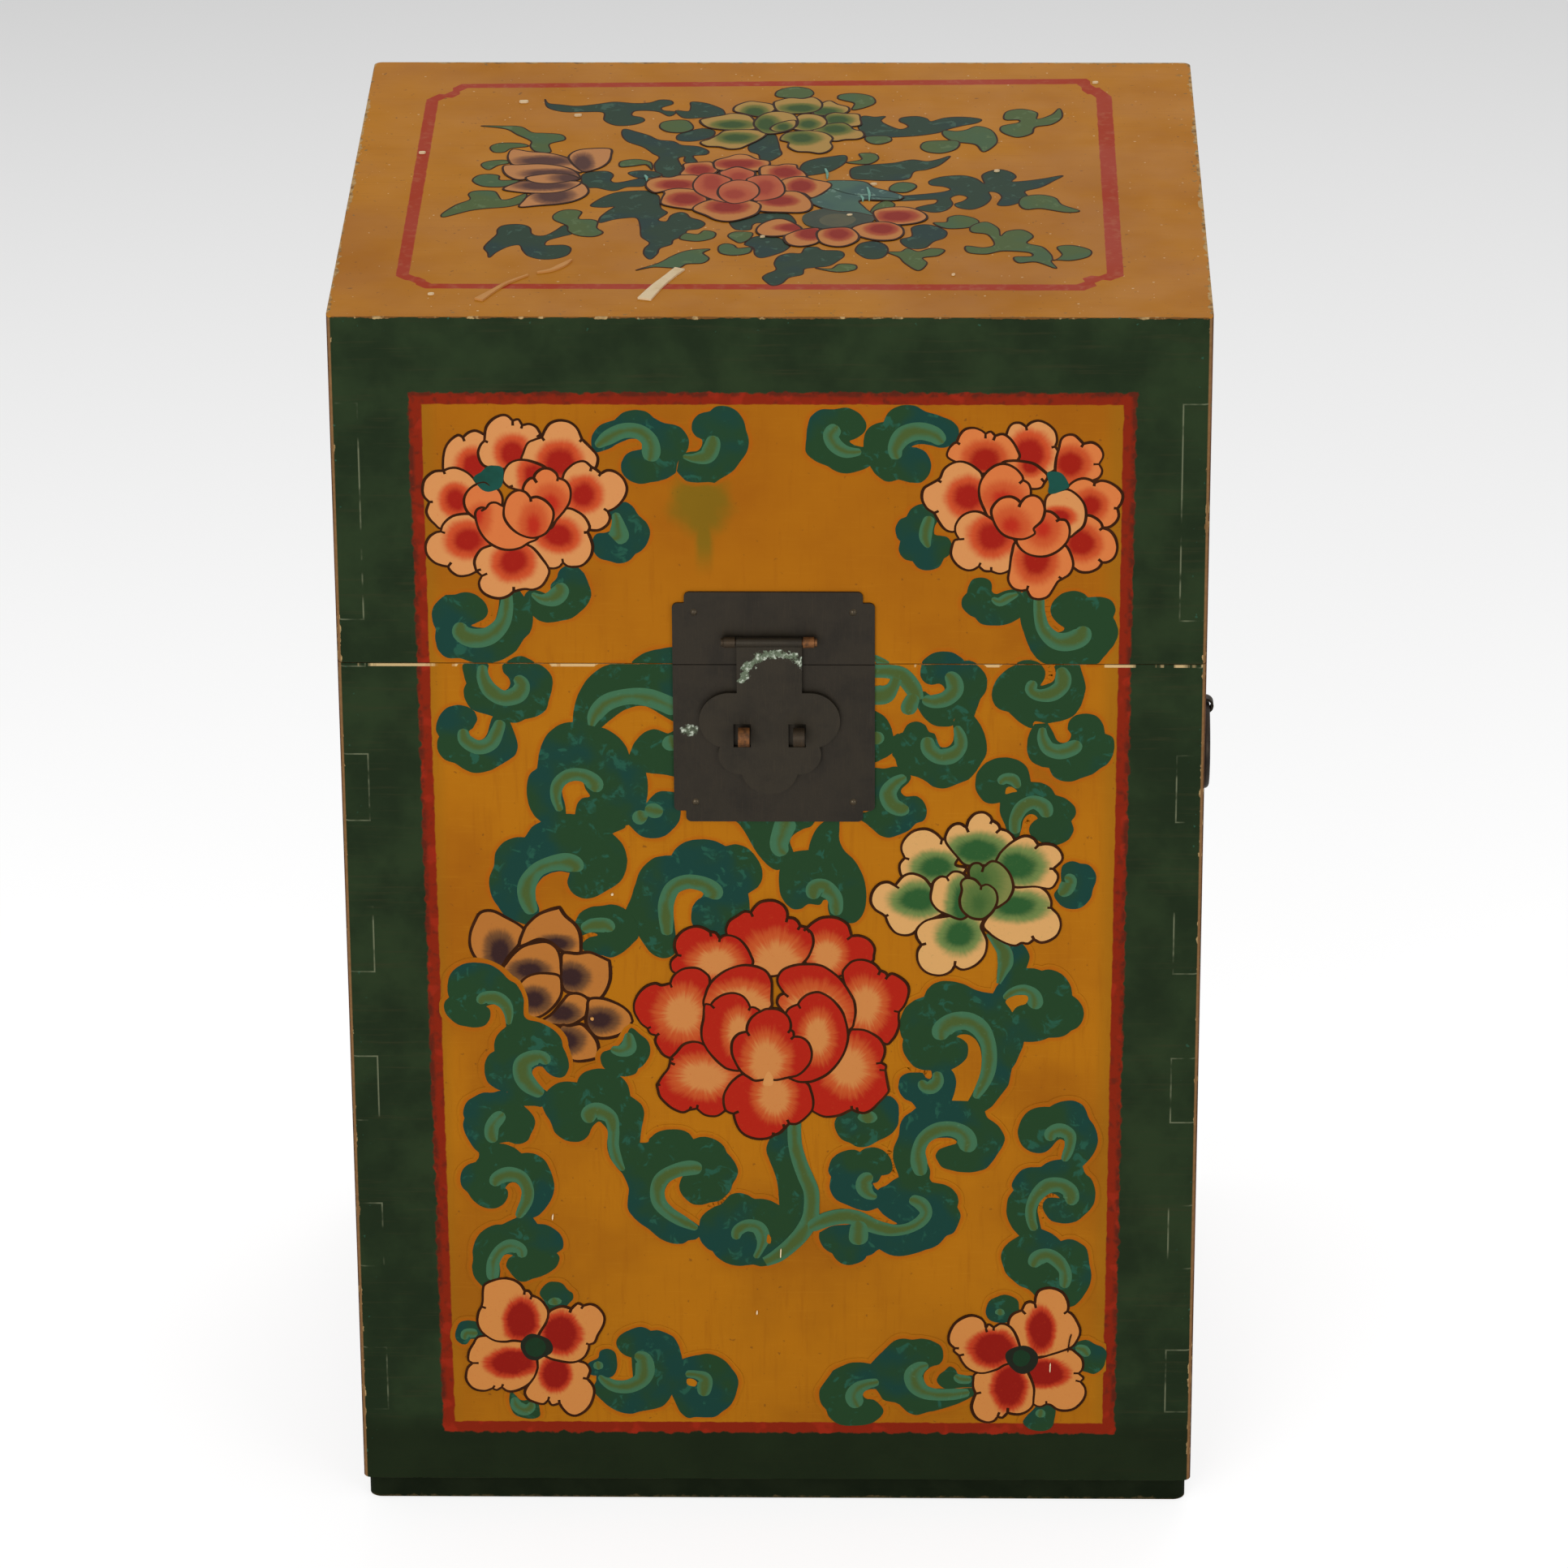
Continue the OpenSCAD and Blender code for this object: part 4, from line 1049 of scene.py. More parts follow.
def upper_right_peony():
    p = Painting("upper_right_peony", depth=0.16)
    p.petal([(107, 558), (108.4, 562), (110.5, 563.8), (113.5, 563.8), (116, 562, C), (118, 564),
        (121.5, 565), (125.5, 563.5), (129, 560), (130, 555.5), (129.2, 552.4, C), (131.3, 548.5),
        (130.8, 544), (128, 540), (120, 538), (110, 542), (105, 550)], "peach", (118, 549.5, 8.5, 9))
    p.petal([(131, 552), (132, 556), (134.5, 558), (138, 557.8), (142, 553.8, C), (146, 554.4), (149.5, 552),
        (151, 548), (149.2, 543.8, C), (150.6, 540.5), (149, 537), (144, 535), (136, 533), (130, 538),
        (129.5, 545)], "orange", (136, 543.5, 8, 8))
    p.petal([(80.6, 547), (81, 551), (83.2, 553.8), (84.6, 554.4, C), (86, 558), (88.5, 560.8), (92.5, 561.4),
        (96, 560), (97.6, 558.6, C), (100, 559.6), (102, 557.6, C), (105.5, 558.4), (109, 556), (112, 551),
        (112.8, 546.5), (106, 542), (96, 539), (88, 543)], "orange", (97.5, 546, 9, 8))
    p.petal([(96, 538.6), (93.5, 541.6), (90, 544), (86, 545), (82, 543.8), (78.8, 541), (77.2, 537),
        (76, 535.8, C), (73, 534), (70, 532), (68.9, 529), (69.2, 525.5), (71.3, 521.8), (74.5, 519.6, C),
        (76.3, 516), (78.5, 512.5), (81, 510.6), (84, 510.6), (92, 517), (99, 520), (97, 530)], "peach",
        (90, 527.5, 8.5, 8.5))
    p.petal([(135, 532), (138, 535.4), (142, 536.8), (145.5, 536), (147.3, 534.6, C), (150, 535.6),
        (153.5, 535), (157.5, 532.5), (160, 529), (159.6, 525), (157.8, 522, C), (158.4, 518), (156.5, 514.5),
        (152.8, 512.5), (146, 514), (138, 516), (134, 524)], "orange", (145.5, 523.5, 6.5, 7))
    p.petal([(144, 518.6), (148, 517.2), (150.6, 514.6), (151.2, 512.4, C), (154.5, 511), (157, 507.5),
        (158, 502.5), (156.8, 498), (154, 495.6), (151.2, 495.2, C), (149.5, 492.5), (146, 490.6),
        (142, 490.4), (139, 492), (134, 498), (132, 508), (137, 516)], "orange", (141.5, 505, 8, 8))
    p.petal([(84.2, 510), (84.4, 514), (87, 518), (91, 520.2), (95, 520.2), (99, 518), (106, 512), (112, 505),
        (113, 499), (111.6, 494.5), (108.5, 491), (104.5, 489.6), (100.6, 490.8, C), (97.5, 491),
        (95, 493.2, C), (92, 491.4), (88.5, 491.6), (84.5, 494.5), (82.2, 499.5), (83.6, 505.8),
        (86, 506.6, C)], "peach", (101, 508, 9.5, 9))
    p.petal([(112.5, 506), (110, 500), (109, 492), (108.4, 486.5), (110.5, 482.6), (114, 481.2),
        (117, 481.6, C), (119, 478), (122.5, 476.9), (126.5, 478.2), (129, 482), (131, 485.6), (133, 487, C),
        (136.4, 489.5), (138, 494), (136.8, 499.5), (134, 504), (126, 508)], "orange", (121, 496, 8.5, 9))
    p.petal([(105, 544), (109, 545.4), (114, 545.2), (119.5, 544), (123.5, 541), (126, 538),
        (124.6, 534.8, C), (123.2, 532.4), (120.5, 531.6), (117, 532), (110, 534), (104, 538)], "orange",
        (118, 543, 5, 4.5))
    p.petal([(100, 517.5), (97, 522), (95, 528), (95.2, 534), (98, 539.5), (102.5, 543.2), (107, 543.8),
        (111.5, 541.5), (114.5, 537.8), (114.8, 536, C), (117.4, 534), (118.4, 530), (117, 524), (110, 518)],
        "blush", (106, 527, 8, 6))
    p.petal([(125, 526), (127, 529.2), (131, 530.6), (135, 531.4), (139, 529), (142.5, 524.5), (143.6, 519),
        (142.5, 513.5), (139, 510), (135.5, 507.6), (128, 510), (125, 518)], "peach", (131, 518, 7, 4.5),
        hooks=False)
    p.petal([(112, 506.5), (113.5, 502.6), (117, 499.6), (122, 498.2), (127, 498.8), (132, 501.8),
        (135.5, 506.5), (136.2, 512), (134.5, 516), (131.5, 516.6, C), (129.5, 519), (126.5, 520.6),
        (122, 520), (114, 514)], "blush", (124, 512, 6, 7))
    p.fill([(125.6, 539.4), (128.5, 540.2), (132, 539.4), (134.6, 536), (135.6, 532.6), (132, 530.4),
        (128.5, 529.2), (126.2, 529.8), (126.6, 534)], "dot")
    p.petal([(100.4, 520), (101.8, 524), (105, 527), (109, 527.8), (112, 526.6), (113.8, 524.8, C),
        (116, 527.4), (119.5, 528.4), (123, 526.4), (124.8, 521.5), (123.5, 516), (119.8, 512),
        (120.4, 509.6), (116, 507), (111, 507), (106, 509), (102.5, 513.5)], "blush", (109.5, 513.5, 7, 7))
    p.finish("lid")


# Dot and leaves of the lid's front

def lid_leaves():
    p = Painting("lid_scroll_leaves", depth=0.004)
    p.scroll_leaves([([(-81, 556.5), (-77.5, 562), (-73.5, 564), (-70.5, 565, C), (-66.5, 568.6), (-61, 570),
        (-56, 569), (-52.5, 566, C), (-48, 563.6), (-43, 562.6), (-39.5, 560.4), (-36.8, 555), (-38, 549.5),
        (-41.6, 545), (-43, 539, C), (-47, 536.4), (-51, 535, C), (-54.5, 534.4), (-59, 533.6), (-63.5, 535),
        (-67, 538.5), (-67.8, 543), (-66, 547.4), (-63, 549.6), (-60, 550.4), (-57.8, 551), (-57.4, 553.6),
        (-60, 555.6), (-64, 555.6), (-69, 553.4), (-74, 550.5), (-80, 549.5)], [[(-79, 552, 3), (-74, 556, 7),
        (-67, 559.6, 7.4), (-60, 559.4, 7.4), (-55, 555.4, 7.6), (-54, 549.5, 8.6), (-55.4, 545, 7)]]),
        ([(-42.6, 540, C), (-40.5, 537.5), (-38, 535), (-33, 534.4), (-28, 534.6), (-25.4, 534.2, C),
        (-22, 536.6), (-17, 540), (-13.4, 545), (-10.4, 550), (-9.6, 555), (-10.8, 560), (-12, 565),
        (-15, 569.4), (-19.5, 571.8), (-24.4, 571.6), (-27, 569.4, C), (-32, 568), (-35, 564.4), (-35.4, 560),
        (-33.4, 556.8), (-31, 555.6), (-31, 552.6), (-33, 550), (-37, 549.4), (-40.6, 547.6)],
        [[(-39.6, 547.4, 2), (-35, 546.4, 4.4), (-29, 547.4, 7.6), (-26.4, 552, 7.6), (-25.6, 557.4, 5.4)]]),
        ([(-74, 520), (-70, 522.6), (-66.4, 524.8), (-62.8, 522.6), (-60, 518), (-56.6, 514.6), (-55, 510),
        (-56.2, 504.6), (-59, 500.8), (-61.8, 499, C), (-64.8, 495.6), (-69.4, 494.2), (-74, 495.4, C),
        (-78.6, 497), (-81.2, 501), (-81.4, 505.6), (-79.4, 509), (-76, 509.4), (-73, 510.6), (-71.6, 514)],
        [[(-70.8, 519.5, 3), (-69.6, 514, 6), (-69.4, 508, 9.6), (-71.4, 506.4, 6)]]),
        ([(-98, 487), (-97, 490.4), (-93.5, 493), (-89, 492.8), (-85.4, 489.4, C), (-83.4, 484), (-82.3, 479),
        (-84, 474), (-88.2, 469.4), (-92, 466.6), (-97, 465.4), (-102.6, 464.6), (-106.4, 465.6),
        (-108.8, 467.6, C), (-112.4, 472), (-113, 478), (-110, 481), (-106, 480.4), (-102, 478.8),
        (-100.8, 480.6), (-100.8, 483.6)], [[(-109.6, 479.2, 2), (-105, 476.4, 5), (-99.6, 477, 8.4),
        (-96.4, 480.6, 8), (-97.6, 484.2, 4.6)]]),
        ([(-152, 476), (-149, 478.4, C), (-145, 478.6), (-140, 479.8), (-135, 478.4), (-131, 474.4),
        (-129.8, 470), (-131.6, 466.6), (-136, 464), (-137.6, 463), (-134, 462), (-129.6, 462.6),
        (-126.6, 466), (-125, 472), (-123.6, 479), (-117, 482), (-113.4, 478), (-110, 472), (-109.2, 466),
        (-110.6, 460), (-114, 456, C), (-117, 450.8), (-121, 447.6), (-126, 445), (-131, 444.3),
        (-137.6, 444.6), (-143, 446.6), (-149, 446.8), (-153, 450.6), (-154.4, 456.5), (-154, 461, C),
        (-155.6, 466.6), (-155, 472)], [[(-120.8, 480, 4.4), (-121.4, 472, 6.4), (-123.6, 464, 7.4),
        (-129.6, 458, 9), (-137, 456.8, 9.6), (-142.4, 459.6, 8.4), (-142, 464.6, 5.4)]]),
        ([(-121.4, 444.3), (-119, 446.8), (-115, 447.8), (-111.6, 446.4), (-109.2, 444.3)], []),
        ([(16.4, 556), (17, 562), (18.6, 567), (23, 570.2), (29, 570.4, C), (34.6, 571.2), (40, 568.8),
        (43.4, 564), (43, 559.6), (39.4, 556.4), (36, 554.8), (38, 553), (42, 552), (46, 552.4), (46, 543, C),
        (41.5, 540.6), (35, 539), (30, 540), (26, 542.6, C), (20.6, 545), (16.2, 549.4)], [[(31, 562, 7.6),
        (27.6, 558, 7.2), (29.4, 553, 7), (34.4, 549.6, 6), (41.4, 549.6, 3)]]),
        ([(42.4, 555), (43.6, 559.8), (47, 563), (51.4, 564.4, C), (54, 569.4), (59, 572.2), (65.6, 572.2),
        (70, 569.6), (76, 567.6), (82, 565), (85.4, 561), (85, 556), (82, 553), (78, 551.6), (72, 553),
        (67, 553.4), (64, 552), (66.4, 551.8), (70.6, 549.4), (73, 544), (72, 538.4), (68.4, 534.6),
        (63.4, 534.6, C), (58.4, 536, C), (53, 535), (48, 538.4), (45, 543, C), (42.8, 548.6)],
        [[(78.4, 553.8, 5.6), (74.4, 558, 8), (67.4, 559.8, 8.6), (60.4, 557.4, 9), (56.8, 551.4, 7),
        (57.6, 546, 5)]]),
        ([(73.6, 520.4), (71.4, 523.6), (67.8, 523.8), (64, 521.6), (61.8, 517.6, C), (58.6, 516),
        (56.8, 511.8), (57.6, 507.2), (59, 505.6, C), (58.4, 501), (60.6, 497), (64.6, 495.6, C), (67.6, 492),
        (72.6, 491.2), (77, 493), (79, 497, C), (81.8, 499.4), (82.4, 504.6), (80.4, 507.6), (77, 508.4),
        (74.6, 509), (74.8, 513), (76.6, 517)], [[(72.8, 518, 5), (71, 512, 6), (70.6, 507, 5.6),
        (72, 502.4, 2)]]),
        ([(101, 484), (99.4, 486.6), (96, 487.6), (92, 486.4), (90, 482.4), (89.6, 480, C), (87.4, 477),
        (87.4, 472.8), (90.4, 469.2), (93.4, 467.6, C), (96, 464.6), (100.6, 463.6), (107, 464), (111.6, 466),
        (115, 469), (116, 478), (112, 481.6), (107, 481), (103, 479.4), (101, 480.8)], [[(113, 479.4, 2),
        (108.4, 477.6, 4.6), (104.4, 475.4, 4.4), (101, 477.4, 2)]]),
        ([(115.4, 481), (114, 474), (114.2, 466), (116.4, 458), (119, 451, C), (122.6, 446.4), (127, 444.3),
        (149, 444.3), (152.4, 447.8), (154.6, 450.6, C), (157.4, 454.6), (159, 460), (158, 465),
        (156.6, 467.6, C), (157.6, 472), (155.4, 476.4), (151, 478), (145, 477.8, C), (142.6, 480),
        (138, 481), (133, 479.6), (128.6, 475), (128, 470), (130.6, 465.4), (134.4, 462.4), (132, 460.4),
        (128, 461.4), (125.6, 466), (125, 472), (124, 478), (120, 482)], [[(122.6, 478, 5), (122.8, 470, 5.4),
        (124.8, 462, 6.6), (130, 456.4, 8.4), (136, 455.6, 9.4), (142, 458.4, 9.4), (143.4, 463.4, 6)]]),
        ([(69.6, 444.3), (72.4, 448.6), (77, 450.4), (82.6, 450.2), (87, 447.6), (88.6, 445.8, C), (91, 446),
        (94, 444.3)], []),
        ([(112.6, 444.3), (115, 446), (118.4, 446.4), (121.6, 445.6), (123.4, 444.3)], []),
        ([(-64, 444.3), (-62, 447), (-58.6, 449.4), (-52, 451.4), (-44, 452), (-44, 444.3)], []), ])
    p.stroke([(46, 444.6, 2), (46.4, 446.4, 5), (51, 445.6, 3), (54, 444.6, 1)], "crescent", taper=False)
    p.finish("lid")



# Scroll leaves of the body's front, above the big peony

def upper_body_leaves():
    p = Painting("upper_scroll_leaves", depth=0.004)
    p.scroll_leaves([([(-141.4, 443.9), (-141.6, 438), (-140.6, 434, C), (-142, 430), (-141, 425),
        (-138, 420.6), (-132, 418.4), (-127, 416.6), (-123, 414.8), (-118, 414), (-114, 415.8, C),
        (-108, 417.6), (-104, 421), (-102.6, 426), (-101.2, 431), (-101, 437), (-104, 441.6), (-108, 443.9),
        (-123, 443.9), (-123.6, 440), (-121, 436.8), (-120.4, 434), (-121.4, 431.4), (-124.4, 430),
        (-127.4, 431.4), (-129.6, 435), (-130.6, 440), (-130.6, 443.9)], [[(-132.8, 443.4, 4),
        (-132.8, 437, 6), (-129.6, 430.4, 7.6), (-123.6, 426.6, 7.8), (-117, 428.6, 8.6), (-115, 433.6, 7),
        (-118, 437.4, 4.6)]]),
        ([(-137, 419.6, C), (-136, 415.6), (-138.4, 411), (-140, 409.6), (-138.6, 406.4), (-135, 405),
        (-131.8, 408), (-130, 414), (-128, 417.6), (-122, 416), (-119, 409), (-117.6, 403), (-118.6, 398),
        (-121.6, 395.4), (-126, 392.4), (-131, 389.6), (-137, 388.4), (-142, 390), (-147, 393.6, C),
        (-151.4, 395.2), (-154.4, 399.4), (-154.8, 404), (-153.8, 407, C), (-155.2, 411), (-153.6, 417),
        (-150, 421.4), (-145, 423), (-140, 422)], [[(-142.6, 411, 4.4), (-141.8, 405.4, 6.6),
        (-136, 401.6, 7.2), (-130, 403.8, 7.2), (-126.8, 410, 6.2), (-125, 415.4, 5)]]),
        ([(-92, 413.6, C), (-91.4, 420), (-89.4, 428), (-85, 436), (-79.4, 441.4), (-74, 443.9, C),
        (-44, 443.9, C), (-44, 414, C), (-50, 417.6), (-56, 421.6), (-61, 422.8), (-68, 420.6), (-74, 416),
        (-78.6, 411.8, C), (-84, 409)], [[(-83.6, 411.4, 2), (-81.6, 418, 7), (-76, 424.4, 8.4),
        (-67, 427.4, 8), (-58, 427.2, 9), (-50, 424.4, 9), (-43, 420.6, 9)]]),
        ([(-66, 398, C), (-63.6, 404), (-59.6, 408.8), (-54.6, 411), (-50, 409.6), (-48, 408.8), (-44, 410),
        (-44, 386.4, C), (-50, 387.8), (-58.6, 388.8, C), (-63, 392)], [[(-46.6, 408, 6), (-46.2, 404, 9.6),
        (-45, 400.4, 8)]]),
        ([(-108.8, 391, C), (-107.6, 399), (-104.6, 407), (-99, 412.6), (-92, 414.6), (-84, 412.8),
        (-77, 411.2), (-71, 407), (-67.4, 402), (-66, 398, C), (-60.6, 396), (-58.4, 388.6, C), (-57.6, 384),
        (-57.8, 378), (-59, 371), (-62, 364), (-68, 361.8, C), (-74.6, 357.8, C), (-84, 360), (-91.6, 364),
        (-91.6, 368), (-90.4, 373), (-88, 375.8), (-84.6, 376.6), (-86.6, 380.6), (-88, 384), (-92.4, 384.4),
        (-96.6, 382), (-97.4, 378), (-96, 371), (-97, 364), (-107.4, 363.4, C), (-110.8, 367), (-113.2, 373),
        (-113.8, 381), (-112.4, 387.6)], [[(-98.4, 369, 3.4), (-100.4, 376, 5), (-99.2, 383, 6),
        (-94, 387.4, 6.4), (-87, 387.2, 6.8), (-82.2, 383, 8), (-82.8, 379, 5)]]),
        ([(-59.4, 372, C), (-56, 376.4), (-53, 379), (-49, 379.4), (-44, 377.8), (-44, 371), (-42.6, 369.6),
        (-43.4, 364), (-46.6, 359.6), (-51, 356), (-57, 355.2), (-62, 357), (-66, 361.4), (-70, 366),
        (-66, 372)], [[(-61.6, 369.6, 5), (-61, 366, 8.4), (-58.6, 364.4, 5)], [(-59, 371, 5),
        (-55, 369.4, 7.6), (-50.8, 368.6, 5)]]),
        ([(-107.6, 363.6, C), (-111.6, 361), (-115.2, 355.6, C), (-119.6, 355.4), (-125, 353), (-129, 347.6),
        (-129.8, 340.6, C), (-132.2, 334), (-131.6, 326), (-128.6, 320), (-124, 314), (-112, 310),
        (-109.2, 318), (-111.2, 325), (-110, 331), (-106, 335.8), (-100, 338), (-94.6, 337.2, C),
        (-95.8, 332), (-93.6, 327), (-89, 324.2), (-83.6, 324.6), (-77.6, 328), (-71.6, 332.4), (-68.6, 338),
        (-67.8, 345), (-69.8, 352), (-74.4, 357.6, C), (-68.4, 361.6), (-80, 366), (-91.6, 367.4),
        (-97, 367.4)], [[(-112, 316, 6), (-114.6, 323, 8), (-114.6, 331, 8.6), (-110, 338.4, 7.4),
        (-103, 342, 7.8), (-96, 342.8, 9.4), (-92, 341, 8.6), (-92.4, 338, 4)]]),
        ([(-69, 318, C), (-66.4, 324), (-64, 332), (-61.4, 339), (-56, 344.6), (-51, 346.2),
        (-47.2, 346.4, C), (-45, 350), (-40, 353.6), (-33, 354.8), (-26.6, 353.8), (-22, 351.2, C),
        (-16.6, 352.2), (-11, 349.6), (-6.8, 344), (-4.8, 337.4), (-6.4, 331), (-11.6, 326.8, C), (-11, 321),
        (-12, 314), (-30, 302), (-37.4, 310), (-38, 318), (-36, 322.6), (-33, 325.2), (-32.8, 328),
        (-38, 329.2), (-43.6, 327.4), (-46.6, 322), (-46.4, 314), (-45.6, 305), (-45, 298), (-48, 293.8),
        (-53, 293.2), (-58, 296.6), (-63, 304.6, C), (-64, 312)], [[(-49.6, 305, 5), (-50, 314, 7),
        (-49.8, 322, 7.4), (-46.6, 329.6, 7.4), (-40, 332.8, 7.4), (-32, 331.4, 7.8), (-27.6, 327.4, 9),
        (-28, 323.8, 5)]]),
        ([(-21, 367), (-16.4, 363.6), (-12.6, 358), (-8.6, 350), (-4.6, 344), (0, 339.6), (3.6, 339.4),
        (10, 346), (9.4, 349), (8, 354), (9.6, 357), (14, 360), (18, 361.6), (20, 365), (20, 368)],
        [[(7.4, 366, 11), (4.4, 358, 9.6), (3, 351.6, 8.6), (5.6, 346.8, 8)]]),
        ([(3.4, 340), (9, 347.8), (16.6, 349.4, C), (17.6, 354), (20, 359.6), (24, 364), (30.4, 366),
        (31, 360), (31, 355), (33, 349.6), (38, 344), (41.6, 337), (43.4, 329), (43, 320), (40.6, 314),
        (37, 311.6), (32, 312.6), (27, 315), (25.6, 319), (25.6, 323.2), (23.6, 323.6), (21.8, 321),
        (16.6, 321.4), (13, 319), (9, 319), (5, 323), (3, 329)], [[(18.6, 324, 6), (19.6, 329.6, 8.4),
        (24, 329.6, 9), (28.6, 325, 7.4), (29.4, 319, 6.4), (29, 315.6, 5)]]),
        ([(68.8, 443.9, C), (68.4, 438.6), (70.4, 435), (73.6, 433.8), (77, 434.4), (79, 433), (79.6, 430.8),
        (77, 428.8), (73, 428.6), (69.6, 430.4), (67, 424), (68.6, 419.6), (71.6, 415.6), (75, 413.2),
        (80, 412.6), (83.6, 413.4), (84.4, 417), (93.4, 418.2, C), (94.6, 422), (96, 426.6, C), (98.6, 431),
        (99, 437), (96.6, 441.6), (94, 443.9, C)], [[(80.6, 439.6, 5), (83.6, 436, 7.6), (84.2, 431, 8),
        (80, 426.6, 7.6), (74, 425.4, 6.6), (69.4, 426.8, 4.4)]]),
        ([(93, 418.4, C), (96.4, 413), (98.8, 406), (99, 399), (96.6, 394), (94.4, 390, C), (91, 386),
        (86, 383.6), (80, 381.2), (75, 381.8), (71.6, 384.4), (68, 386.6), (63.6, 388), (60, 390),
        (57.8, 392.4), (57, 396), (55.4, 398.6), (58, 402), (56.6, 405.4), (58, 408.4), (60.4, 409.6, C),
        (62.6, 413.6), (66.6, 415.2), (70.6, 413.4), (72.6, 409.8), (75, 409), (76.4, 405), (77.8, 402.4),
        (81, 402.4), (83.4, 405), (84, 410), (83.6, 414), (86, 419)], [[(71.8, 407.4, 5.6),
        (72.4, 401.6, 7.4), (76.6, 397.6, 7.6), (82.4, 397.8, 8.2), (86.8, 402, 6.4), (86.8, 407.6, 5.8),
        (85, 413, 3)]]),
        ([(46, 420.4), (49.6, 419.4), (53, 416.4), (55.2, 411.4), (56, 407.6, C), (58.8, 408.8), (59, 401),
        (56, 399.4), (52, 396.6), (46, 395)], [[(48.2, 410, 5), (48.4, 407, 7), (47.6, 403.6, 5)]]),
        ([(46, 390.6), (52, 391.2), (58, 392.2), (63.8, 388.4), (63.4, 384.6), (60, 381), (59.6, 379),
        (62, 377), (66.6, 377.2), (70, 374.4), (71.6, 369.6), (70.4, 365), (66.6, 363.2, C), (63, 359.4),
        (58, 357), (54, 355.8), (50, 357), (46, 360.6), (44, 362.6, C), (40, 365.6), (38, 368), (46, 371)],
        [[(62, 387, 4), (57, 384, 6.4), (53.6, 378.6, 8), (55.4, 372.8, 8), (60, 370.4, 7), (63, 371.6, 5)]]),
        ([(112, 443.9, C), (108, 441.6), (103.6, 436.6), (101.4, 430.6), (102, 425), (105, 421.4),
        (109, 420.2, C), (112, 417), (116, 413.6), (120, 412), (121, 415.4), (127, 414.4, C), (133, 415.6),
        (138.6, 418), (142, 422.6), (143.6, 427.4, C), (144.4, 433), (143, 439), (141.6, 443.9, C),
        (130.4, 443.9), (130.6, 440), (129.6, 436), (126, 434), (123.6, 433.6), (125.4, 437), (125.8, 440.6),
        (124, 443.9, C)], [[(121, 435.8, 5), (119.2, 431.8, 5.6), (122.4, 428.8, 5.8), (128.6, 429.2, 7.4),
        (133.2, 433, 7.4), (134, 438, 7.4), (132.4, 442.6, 4)]]),
        ([(121, 414, C), (119, 410), (117.8, 405), (118, 399), (120, 395), (124, 392.6), (128, 391.8, C),
        (129.6, 388), (133, 385.4), (138, 384.8), (143, 386.6, C), (148, 388.6), (151.4, 391.4, C),
        (155, 394), (157.4, 398.6), (158, 404), (157, 407.6), (153.6, 409.2, C), (152.6, 414), (149.6, 418),
        (145, 419.4), (140, 418.4), (137, 415.4), (136.4, 411.4), (138, 409), (137, 405.6), (134, 404.4),
        (131.4, 406), (129.6, 410), (127, 414.6, C)], [[(124.8, 412.4, 3), (125, 407, 5.4),
        (127.6, 401.8, 6.8), (133, 400, 7.6), (139, 402.2, 7.6), (141.6, 405.4, 6)]]),
        ([(94.4, 380), (94, 385), (95, 389.6), (98.6, 394), (103, 396.4), (108.6, 397), (114, 395.4),
        (118, 391.6), (119.6, 384.6, C), (125, 384), (129, 381.4), (131, 378, C), (136, 376), (140, 372),
        (140.6, 368), (138.6, 364.6, C), (139.6, 360), (137.6, 355.4), (133, 352.6), (128, 352.4),
        (123, 354.6), (119.4, 358), (119.4, 362), (121.6, 364.8), (123, 365.8), (121.6, 367.6), (119, 368),
        (116.6, 365.6), (115.4, 360.6), (114, 356), (110, 355), (108, 362), (105.6, 368), (105.4, 374, C),
        (102, 373.4), (98, 374.6)], [[(105, 383.6, 4.6), (107.6, 386.2, 5.2), (111.6, 385.6, 5.8),
        (114, 381.4, 3)], [(112.6, 358, 5.2), (112.6, 365, 5.8), (115.6, 371.4, 6.8), (121, 374.2, 6.8),
        (126, 371.6, 7.6), (127.2, 366.4, 5.4)]]),
        ([(134, 338), (135, 342), (139, 344), (143, 342.8, C), (147, 342), (150, 338), (150.4, 334),
        (149, 329.6), (148, 325), (145, 321), (141, 319.2), (136, 320), (132.6, 323), (131, 327), (134, 332)],
        [[(135.8, 336, 3), (138.2, 334.4, 6.4), (136.4, 329.6, 7.4), (133.4, 326.6, 4)]]),
        ([(-93, 311, C), (-90, 316.6), (-85, 319.6), (-80, 320.2), (-75, 321), (-71, 319.8), (-68.6, 318),
        (-64, 312), (-63, 304.6), (-66.6, 299.8), (-71, 295.6), (-76, 293.4), (-80, 294.4), (-88, 296.4),
        (-89.6, 300), (-86.6, 303.4), (-82, 305), (-85, 306.4), (-90, 304.8), (-92, 308)],
        [[(-89.4, 307.6, 5), (-84.6, 310, 7), (-78, 310, 7.6), (-75.4, 307, 5)]]), ])
    p.fill([(108, 378.4), (108.4, 381.6), (110.8, 382), (113.4, 379.8), (111, 379.2)], "ground")
    p.stroke([(46, 440.6, 6.6), (54, 440.4, 7), (60, 438.4, 8), (65, 432, 8), (67, 426, 6)], "crescent",
        taper=False)
    p.stroke([(66, 429, 6), (63.4, 423, 7.6), (62.8, 418.6, 7)], "crescent", taper=False, rounded=True)
    p.stroke([(46, 428.2, 9), (52, 429, 9.6), (55.6, 432.4, 6), (57.4, 437, 5)], "crescent", taper=False)
    p.finish("trunk")


# Green peony

